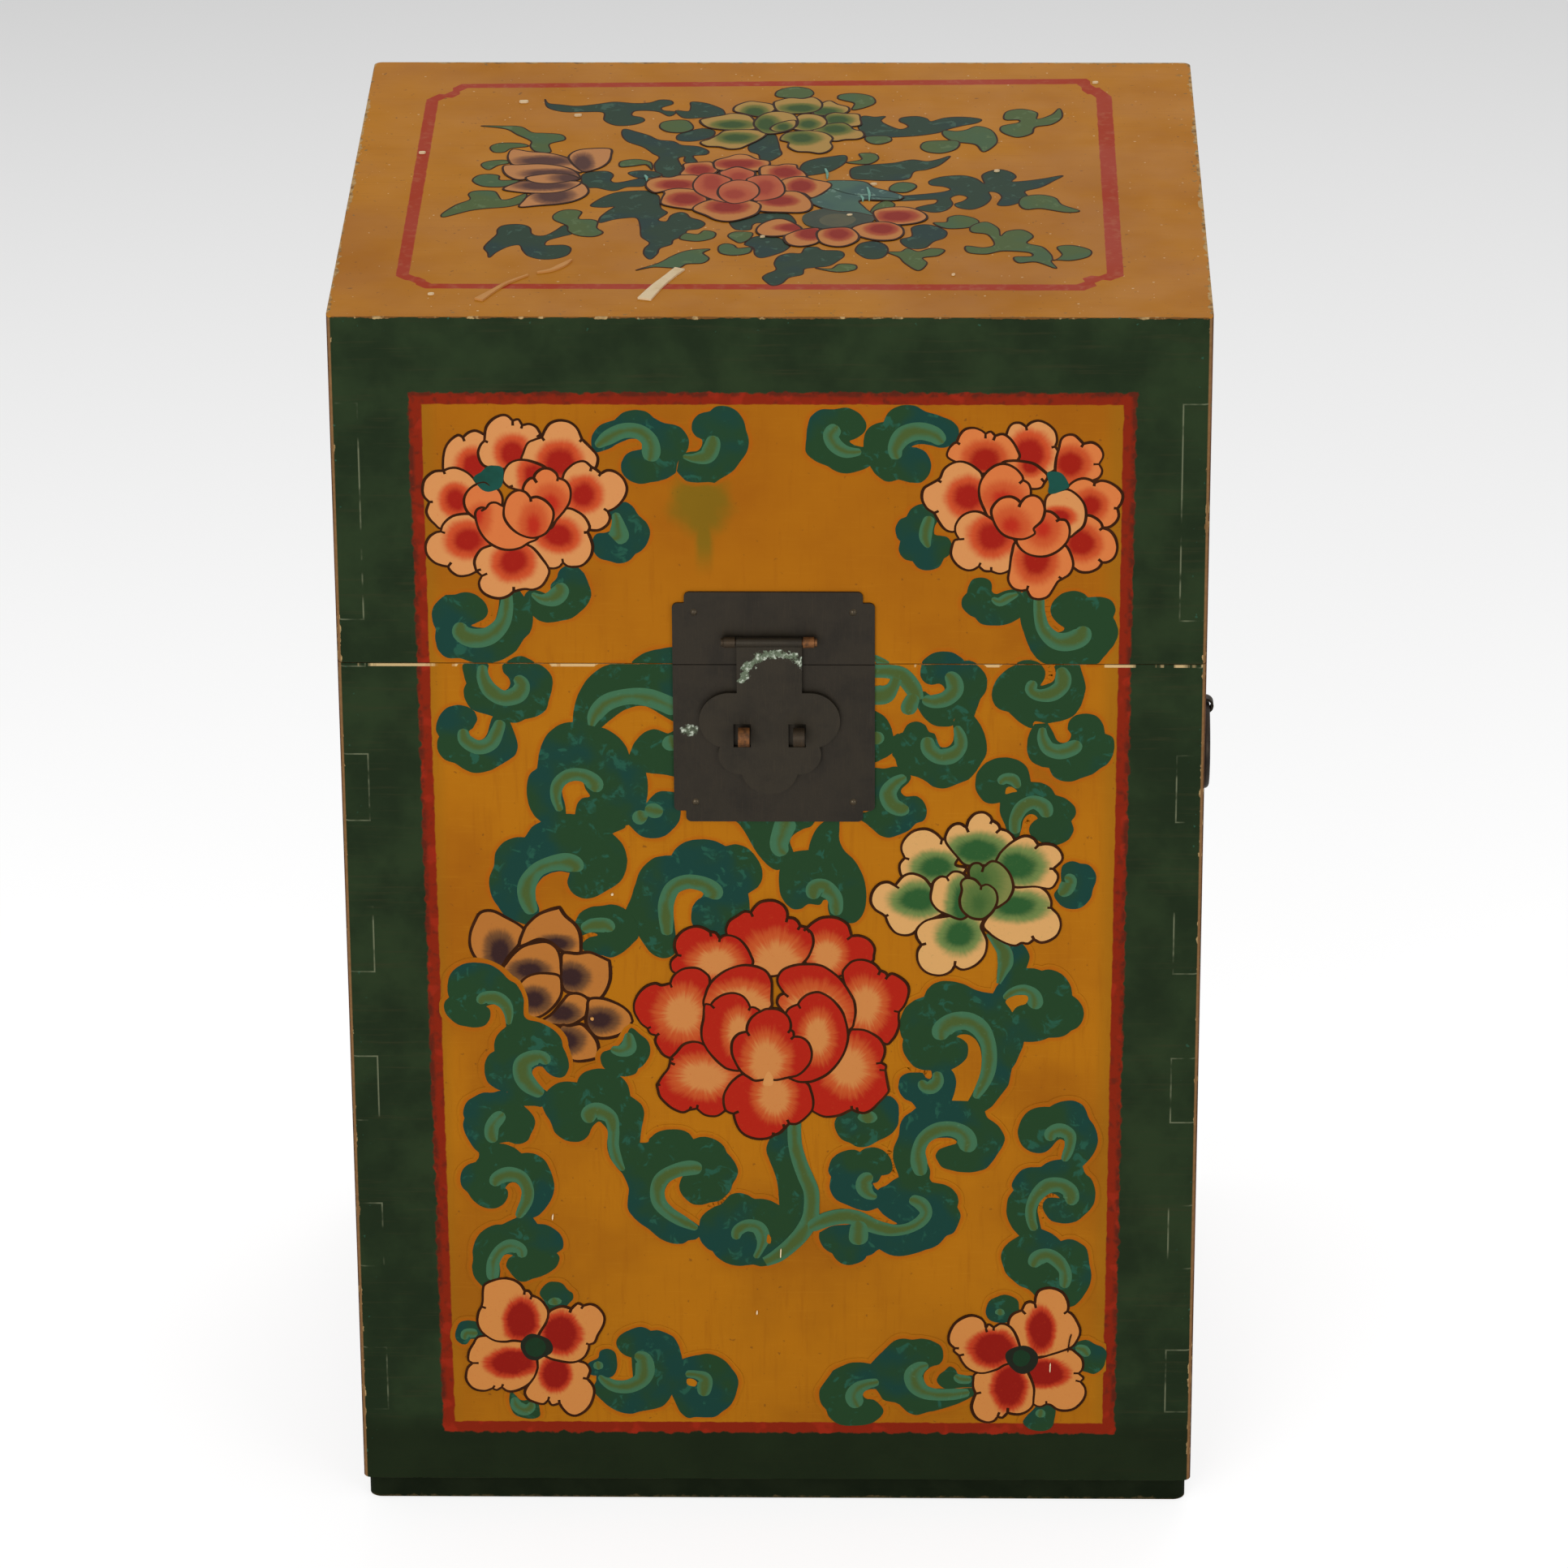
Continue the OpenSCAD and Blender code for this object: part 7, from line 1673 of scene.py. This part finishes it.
def top_leaves():
    p = Painting("top_leaves", face="top")
    for outline in ([(-130, -96), (-131, -90), (-133, -84), (-132, -78), (-130, -72), (-128, -66),
        (-128, -60), (-126, -55), (-121, -53), (-116, -54), (-113, -58), (-112, -65), (-109, -68),
        (-105, -67), (-101, -61), (-97, -54), (-93, -57), (-93, -65), (-98, -69), (-104, -74), (-105, -80),
        (-101, -80), (-96, -80), (-93, -84), (-94, -92), (-99, -97), (-106, -98), (-112, -94), (-115, -87),
        (-117, -80), (-122, -82), (-127, -89)], [(-86, -29), (-83, -21), (-78, -14), (-72, -10), (-60, -9),
        (-55, -15), (-54, -22), (-53, -32), (-50, -38), (-54, -47), (-50, -49), (-48, -41), (-44, -37),
        (-41, -39), (-39, -44), (-34, -48), (-32, -53), (-35, -59), (-40, -61), (-41, -68), (-46, -73),
        (-47, -79), (-52, -84), (-53, -91), (-56, -98), (-59, -92), (-59, -84), (-57, -77), (-61, -69),
        (-62, -56), (-64, -45), (-70, -45), (-75, -47), (-81, -51), (-81, -44), (-78, -36), (-75, -30),
        (-80, -31)], [(-20, -48), (-20, -54), (-17, -60), (-11, -60), (-10, -54), (-8, -51), (-4, -51),
        (0, -47), (5, -46), (10, -52), (9, -45), (6, -39), (0, -38), (-7, -39), (-13, -43)], [(-11, -72),
        (-7, -68), (-1, -68), (4, -72), (8, -79), (6, -86), (2, -91), (-5, -96), (-8, -92), (-9, -83),
        (-13, -79)], [(1, -131), (-2, -127), (-4, -121), (-2, -116), (2, -111), (1, -103), (3, -94), (8, -90),
        (13, -90), (15, -83), (20, -82), (23, -86), (31, -87), (33, -93), (30, -100), (26, -106), (20, -108),
        (15, -110), (14, -117), (8, -121), (5, -128)], [(40, -78), (44, -75), (48, -75), (52, -80), (53, -88),
        (50, -96), (44, -97), (40, -92), (38, -86)], [(64, -57), (69, -53), (75, -55), (80, -62), (79, -70),
        (74, -75), (70, -83), (64, -84), (60, -79), (59, -72), (64, -68)], [(72, 4), (75, 8), (80, 11),
        (88, 12), (94, 8), (98, 1), (97, 12), (101, 18), (106, 20), (111, 16), (113, 10), (111, 4), (118, 5),
        (126, 8), (135, 12), (130, 4), (124, -4), (117, -9), (118, -16), (115, -23), (109, -28), (104, -27),
        (106, -17), (104, -11), (100, -10), (101, -18), (98, -27), (92, -33), (86, -31), (84, -26), (88, -22),
        (90, -17), (86, -14), (82, -18), (83, -26), (80, -34), (74, -37), (66, -32), (70, -28), (75, -25),
        (75, -20), (60, -22), (45, -22), (45, -16), (60, -15), (76, -11), (82, -7), (79, -3), (73, -1)],
        [(-92, 10), (-90, 15), (-86, 17), (-80, 17), (-77, 12), (-78, 5), (-76, 2), (-72, 3), (-67, 6),
        (-62, 9), (-60, 2), (-63, -3), (-70, -4), (-76, -9), (-84, -5), (-90, -4)], [(-114, 117), (-112, 111),
        (-106, 109), (-98, 107), (-88, 110), (-80, 113), (-70, 111), (-63, 112), (-58, 116), (-53, 115),
        (-52, 110), (-57, 105), (-56, 101), (-50, 99), (-53, 93), (-58, 99), (-64, 101), (-70, 100),
        (-71, 94), (-66, 91), (-65, 86), (-70, 81), (-78, 80), (-84, 87), (-85, 98), (-94, 99), (-104, 99),
        (-112, 105)], [(-43, 113), (-37, 112), (-31, 107), (-27, 101), (-27, 92), (-36, 91), (-45, 90),
        (-49, 96), (-50, 101), (-44, 100), (-43, 106)], [(-48, 60), (-48, 67), (-42, 73), (-36, 76),
        (-31, 73), (-31, 66), (-35, 61), (-42, 58)], [(-74, 75), (-75, 68), (-72, 58), (-64, 50), (-59, 41),
        (-56, 36), (-58, 26), (-56, 14), (-49, 8), (-45, 13), (-44, 20), (-46, 28), (-47, 35), (-44, 37),
        (-44, 31), (-41, 27), (-38, 30), (-40, 38), (-34, 40), (-33, 45), (-38, 51), (-46, 53), (-50, 58),
        (-57, 60), (-62, 66), (-68, 71)], [(-70, 15), (-65, 18), (-58, 17), (-54, 12), (-60, 8), (-66, 9)],
        [(-7, 66), (-11, 58), (-14, 51), (-13, 44), (-9, 40), (-8, 34), (-4, 31), (0, 36), (2, 41), (1, 48),
        (0, 58), (-2, 68)], [(40, 93), (46, 92), (51, 93), (49, 87), (52, 81), (58, 75), (62, 78), (61, 82),
        (58, 86), (59, 91), (66, 93), (71, 90), (73, 86), (80, 91), (89, 92), (97, 89), (95, 84), (88, 80),
        (81, 75), (76, 70), (66, 66), (55, 64), (44, 63), (40, 70), (38, 80)], [(36, 8), (43, 6), (52, 5),
        (62, 7), (65, 17), (71, 20), (77, 26), (82, 38), (77, 34), (71, 31), (64, 33), (56, 29), (48, 27),
        (40, 25), (35, 20)], [(11, 20), (13, 29), (18, 34), (25, 37), (32, 39), (33, 32), (30, 24), (24, 16),
        (14, 12)], ):
        sprig(p, outline, "top_leaf")
    for outline in ([(-144, -14), (-142, -10), (-137, -9), (-132, -10), (-130, -15), (-128, -21), (-124, -20),
        (-117, -13), (-118, -24), (-124, -30), (-136, -33), (-143, -36), (-154, -44), (-155, -40),
        (-149, -28), (-143, -21)], [(-143, 4), (-141, 11), (-136, 13), (-131, 11), (-130, 5), (-121, 5),
        (-124, 0), (-129, -4), (-138, -3)], [(-139, 22), (-140, 27), (-136, 31), (-129, 32), (-127, 28),
        (-132, 25), (-136, 19)], [(-137, 50), (-133, 55), (-123, 55), (-119, 51), (-127, 48), (-130, 43),
        (-135, 43)], [(-143, 79), (-133, 79), (-124, 78), (-118, 70), (-112, 69), (-104, 67), (-102, 60),
        (-109, 54), (-108, 43), (-115, 44), (-118, 51), (-118, 58), (-125, 67), (-131, 75)], [(-102, -48),
        (-103, -42), (-100, -36), (-95, -34), (-90, -37), (-91, -46), (-85, -47), (-82, -50), (-82, -58),
        (-79, -64), (-83, -69), (-90, -68), (-95, -62), (-96, -55)], [(-43, -72), (-41, -65), (-35, -66),
        (-32, -61), (-27, -64), (-28, -71), (-35, -75)], [(-21, -68), (-18, -74), (-15, -77), (-11, -72),
        (-10, -64), (-18, -63)], [(-25, -82), (-22, -78), (-18, -80), (-16, -84), (-10, -83), (-11, -90),
        (-18, -93), (-24, -90)], [(-62, -112), (-52, -103), (-46, -94), (-39, -87), (-29, -85), (-32, -90),
        (-29, -97), (-32, -103), (-39, -104), (-43, -109), (-54, -108)], [(20, -109), (27, -110), (31, -104),
        (38, -105), (38, -111), (30, -114)], [(45, -38), (47, -28), (52, -22), (56, -27), (53, -34)],
        [(116, -17), (124, -14), (131, -18), (134, -27), (142, -35), (136, -37), (124, -32), (117, -33),
        (114, -26)], [(74, -51), (80, -50), (81, -44), (86, -41), (93, -45), (95, -51), (90, -57), (80, -58)],
        [(94, -52), (99, -50), (104, -58), (105, -68), (108, -62), (115, -60), (120, -68), (117, -77),
        (124, -82), (128, -92), (129, -99), (133, -92), (131, -82), (138, -80), (146, -86), (145, -94),
        (137, -99), (128, -99), (130, -109), (121, -101), (113, -102), (111, -95), (119, -94), (118, -89),
        (106, -87), (98, -91), (90, -89), (89, -81), (97, -83), (102, -79), (99, -66), (92, -63), (91, -57)],
        [(53, -89), (59, -88), (62, -84), (67, -88), (73, -84), (79, -86), (76, -93), (69, -96), (71, -103),
        (67, -112), (61, -103), (58, -95)], [(79, 73), (79, 66), (84, 58), (94, 54), (98, 44), (104, 55),
        (104, 66), (101, 75), (95, 79), (90, 74), (85, 72)], [(68, 50), (70, 57), (77, 59), (86, 58),
        (85, 48), (78, 42), (71, 44)], [(108, 93), (110, 100), (117, 103), (124, 98), (124, 89), (131, 95),
        (135, 104), (136, 92), (131, 82), (123, 78), (121, 69), (114, 64), (107, 71), (107, 79), (115, 84),
        (115, 88), (109, 88)], [(33, 29), (40, 33), (39, 41), (46, 41), (48, 34), (43, 27)], [(42, 64),
        (43, 57), (48, 54), (54, 59), (52, 65)], [(28, 118), (29, 123), (36, 125), (44, 121), (46, 112),
        (41, 105), (35, 102), (36, 111), (31, 115)], [(-1, 120), (-2, 127), (2, 132), (8, 134), (14, 131),
        (16, 124), (11, 118)], [(-56, 84), (-57, 77), (-53, 71), (-46, 70), (-41, 76), (-44, 86), (-50, 87)],
        [(-59, 19), (-62, 26), (-68, 24), (-74, 23), (-74, 30), (-67, 33), (-60, 29)], [(54, -9), (54, -3),
        (58, 2), (64, 1), (66, -4), (61, -11)], ):
        sprig(p, outline, "spray")
    p.finish("lid", "top_paint")


def top_flowers():
    p = Painting("top_flowers", face="top", depth=0.36)
    for outline, core in (
        ([(-126, 46), (-128, 38), (-127, 30), (-124, 25), (-112, 26), (-101, 22), (-93, 15), (-92, 20),
         (-95, 28), (-101, 36), (-109, 41), (-118, 43)], (-110, 30, 13, 7)),
        ([(-91, 16), (-95, 22), (-98, 30), (-99, 37), (-96, 44), (-90, 47), (-80, 47), (-79, 39), (-80, 29),
         (-84, 21)], (-92, 27, 5, 13)),
        ([(-129, 24), (-129, 16), (-126, 9), (-121, 5), (-112, 8), (-94, 6), (-95, 16), (-102, 23),
         (-112, 26), (-122, 25)], (-106, 13, 14, 6)),
        ([(-119, -31), (-118, -24), (-114, -14), (-102, -8), (-92, 0), (-88, -8), (-89, -16), (-94, -23),
         (-101, -27), (-110, -29)], (-104, -17, 9, 10)),
        ([(-128, -7), (-122, -11), (-112, -13), (-103, -12), (-96, -7), (-92, 2), (-104, 3), (-116, 3),
         (-121, 2)], (-109, -3, 13, 6)),
        ([(-118, 8), (-116, 3), (-110, 0), (-102, 1), (-93, 6), (-98, 12), (-106, 13), (-113, 11)],
         (-95, 7, 11, 7))):
        p.petal(outline, "mauve", core, line=1.1)
    for outline, core in (
        ([(-22, 100), (-21, 107), (-15, 113), (-10, 112), (-4, 109), (-2, 103), (-5, 96), (-10, 92),
         (-17, 96)], (-12, 98, 6, 8)),
        ([(20, 110), (24, 114), (28, 109), (33, 105), (33, 99), (28, 94), (18, 94), (16, 100)],
         (22, 99, 8, 6)),
        ([(-3, 111), (0, 115), (5, 118), (11, 117), (16, 119), (20, 112), (20, 104), (16, 98), (6, 96),
         (-1, 100)], (10, 103, 9, 6)),
        ([(22, 92), (26, 97), (32, 96), (38, 95), (39, 88), (39, 80), (32, 78), (24, 80)], (28, 87, 7, 7)),
        ([(16, 71), (22, 80), (30, 83), (34, 79), (36, 74), (40, 71), (41, 65), (38, 61), (32, 60), (27, 58),
         (22, 62)], (27, 74, 8, 7)),
        ([(1, 60), (5, 56), (5, 50), (9, 44), (15, 43), (20, 41), (24, 44), (26, 50), (25, 56), (26, 62),
         (22, 69), (14, 72), (4, 69)], (11, 62, 8, 8)),
        ([(-38, 86), (-34, 90), (-28, 93), (-22, 96), (-14, 92), (-11, 80), (-12, 74), (-24, 73), (-34, 77)],
         (-22, 80, 9, 6)),
        ([(-37, 56), (-33, 60), (-29, 66), (-25, 72), (-12, 73), (-6, 68), (-9, 60), (-14, 53), (-18, 48),
         (-23, 47), (-28, 50), (-34, 51)], (-20, 62, 9, 7)),
        ([(7, 86), (10, 94), (16, 95), (21, 91), (23, 83), (20, 76), (13, 72), (6, 76)], (14, 81, 5, 7)),
        ([(-12, 84), (-9, 93), (-4, 98), (2, 98), (7, 94), (9, 86), (8, 77), (2, 70), (-6, 68), (-11, 76)],
         (-6, 80, 6, 11)),
        ([(-4, 74), (-2, 80), (3, 85), (8, 86), (8, 78), (5, 73), (0, 70)], (2, 77, 4, 6))):
        p.petal(outline, "sage", core, line=1.1)
    p.fill([(13, -45), (16, -38), (24, -33), (36, -34), (45, -38), (47, -46), (42, -55), (32, -60), (22, -59),
        (15, -54)], "smoke")
    p.fill([(21, -48), (24, -42), (30, -40), (36, -43), (38, -48), (35, -54), (29, -57), (23, -54)], "mist")
    sprig(p, [(24, 3), (34, 4), (42, 2), (46, -5), (53, -10), (60, -17), (56, -22), (40, -22), (42, -32),
        (46, -42), (38, -38), (28, -36), (20, -30), (16, -22), (22, -14), (25, -6)], "frost")
    p.stroke([(24, -4, 0.8), (32, -12, 1.4), (40, -16, 1), (58, -20, 0.8)], "top_leaf", taper=False)
    for outline, core in (
        ([(46, -38), (50, -33), (57, -31), (63, -32), (69, -38), (71, -45), (67, -51), (58, -54), (49, -51)],
         (57, -43, 9, 7)),
        ([(-8, -62), (-6, -54), (-1, -48), (4, -47), (9, -52), (13, -60), (8, -66), (2, -69), (-5, -68)],
         (10, -58, 9, 5)),
        ([(5, -70), (9, -64), (14, -60), (21, -59), (22, -70), (20, -78), (13, -82), (7, -79)],
         (17, -66, 6, 8)),
        ([(36, -60), (40, -54), (46, -51), (53, -51), (59, -57), (60, -66), (56, -73), (48, -74), (40, -69)],
         (50, -60, 7, 7)),
        ([(20, -66), (23, -60), (34, -58), (39, -66), (39, -74), (34, -81), (28, -82), (22, -77)],
         (30, -66, 6, 8)),
        ([(-44, 26), (-38, 28), (-32, 29), (-29, 24), (-28, 16), (-34, 10), (-45, 11), (-44, 19)],
         (-36, 18, 6, 7)),
        ([(-29, 31), (-24, 35), (-19, 39), (-14, 38), (-10, 33), (-4, 30), (-4, 24), (-9, 17), (-27, 18),
         (-30, 25)], (-18, 26, 10, 6)),
        ([(-8, 20), (-5, 24), (0, 24), (4, 26), (9, 25), (10, 20), (13, 15), (14, 8), (6, 2), (-6, 8)],
         (4, 15, 7, 8)),
        ([(13, 9), (18, 5), (25, 1), (26, -4), (22, -13), (17, -19), (13, -13), (4, -9), (2, 2), (7, 8)],
         (12, -3, 6, 9)),
        ([(4, -11), (10, -11), (14, -16), (17, -25), (17, -33), (13, -38), (4, -38), (-7, -36), (-9, -26),
         (-4, -18)], (2, -23, 8, 7)),
        ([(-60, 4), (-55, 8), (-50, 8), (-45, 11), (-37, 10), (-34, 2), (-37, -8), (-46, -7), (-52, -10),
         (-57, -12), (-61, -4)], (-47, -2, 9, 6)),
        ([(-52, -10), (-46, -7), (-38, -9), (-33, -16), (-32, -26), (-38, -34), (-43, -33), (-48, -31),
         (-53, -27), (-53, -20), (-52, -14)], (-42, -21, 8, 8)),
        ([(-12, -23), (-7, -28), (-7, -35), (-9, -41), (-15, -47), (-21, -50), (-27, -48), (-32, -42),
         (-38, -35), (-36, -28), (-30, -22), (-20, -20)], (-22, -31, 9, 8))):
        p.petal(outline, "pink", core, line=1.1)
    for outline, core in (
        ([(-27, 14), (-24, 18), (-19, 22), (-14, 19), (-10, 14), (-12, 6), (-17, 2), (-24, 6)],
         (-18, 9, 6, 8)),
        ([(-37, 8), (-34, 13), (-29, 13), (-24, 9), (-21, 4), (-25, -10), (-22, -25), (-30, -21), (-37, -12),
         (-39, -2)], (-30, 0, 6, 15)),
        ([(-14, 4), (-11, 9), (-6, 11), (-1, 10), (2, 4), (4, -4), (4, -13), (0, -20), (-10, -23), (-10, -8)],
         (-5, -6, 6, 14)),
        ([(-21, 3), (-16, 4), (-11, 1), (-8, -6), (-8, -15), (-12, -23), (-19, -27), (-24, -23), (-27, -14),
         (-26, -4)], (-19, -15, 7, 9))):
        p.petal(outline, "pink_heart", core, line=1.1)
    p.finish("lid", "top_paint")


# Marks of wear: scratches, chips and specks

def top_wear():
    p = Painting("top_wear", face="top", depth=0.9)
    p.stroke([(-42, -111, 5), (-47, -122, 4.6), (-52, -134, 5.4), (-57, -149, 6.4)], "bare", taper=False)
    p.stroke([(-92, -100, 1), (-96, -107, 3), (-101, -113, 2), (-107, -116, 1)], "rubbed", taper=False)
    p.stroke([(-111, -119, 0.8), (-120, -129, 1.8), (-126, -139, 2.4), (-132, -150, 4.4)], "rubbed", taper=False)
    for x, y, size in ((-124, 112, 2.2), (-97, 93, 1.8), (-154, -143, 1.4), (104, 17, 1.3), (46, -1, 1.5),
                       (-169, 41, 1.6), (153, 140, 1.4), (83, -118, 0.8), (35, -42, 1.3), (-5, -70, 1.1)):
        p.stroke([(x - size, y, size), (x + size, y + 0.5, size)], "bare", taper=False, rounded=True)
    for x, y, tall in ((43, -14, 8), (23, 13, 6), (40, -20, 3), (-62, 7, 3)):
        p.stroke([(x, y + tall, 0.8), (x + 1, y, 1.2), (x + 1, y - tall, 0.6)], "chip", taper=False)
    p.finish("lid", "top_paint")


def front_wear(name, body, marks):
    """Small scratches and chips on the front: (x, z, across, up, width, paint)."""
    p = Painting(name, depth=0.9)
    for x, z, across, up, width, paint in marks:
        p.stroke([(x, z), (x + across * 0.4, z + up * 0.6), (x + across, z + up)], paint, width=width)
    p.finish(body)


lid_leaves()
upper_body_leaves()
upper_left_peony()
upper_right_peony()
purple_lotus()
lower_body_leaves()
green_peony()
big_red_peony()
lower_left_flower()
lower_right_flower()
top_leaves()
top_flowers()
top_wear()
front_wear("trunk_wear", "trunk", (
    (2.5, 134, 0.3, 5, 0.6, "bare"), (131.5, 72, 0.2, 5, 0.6, "bare"), (-9, 103, 0.2, 2, 0.6, "bare"),
    (-106, 154, 0.4, 3, 0.7, "bare"), (-75.4, 326, 1, 0.6, 1.2, "bare"), (-86, 261, 1.4, 0.6, 1.4, "rubbed"),
    (140, 83, 1.6, 10, 0.8, "ink"),
))
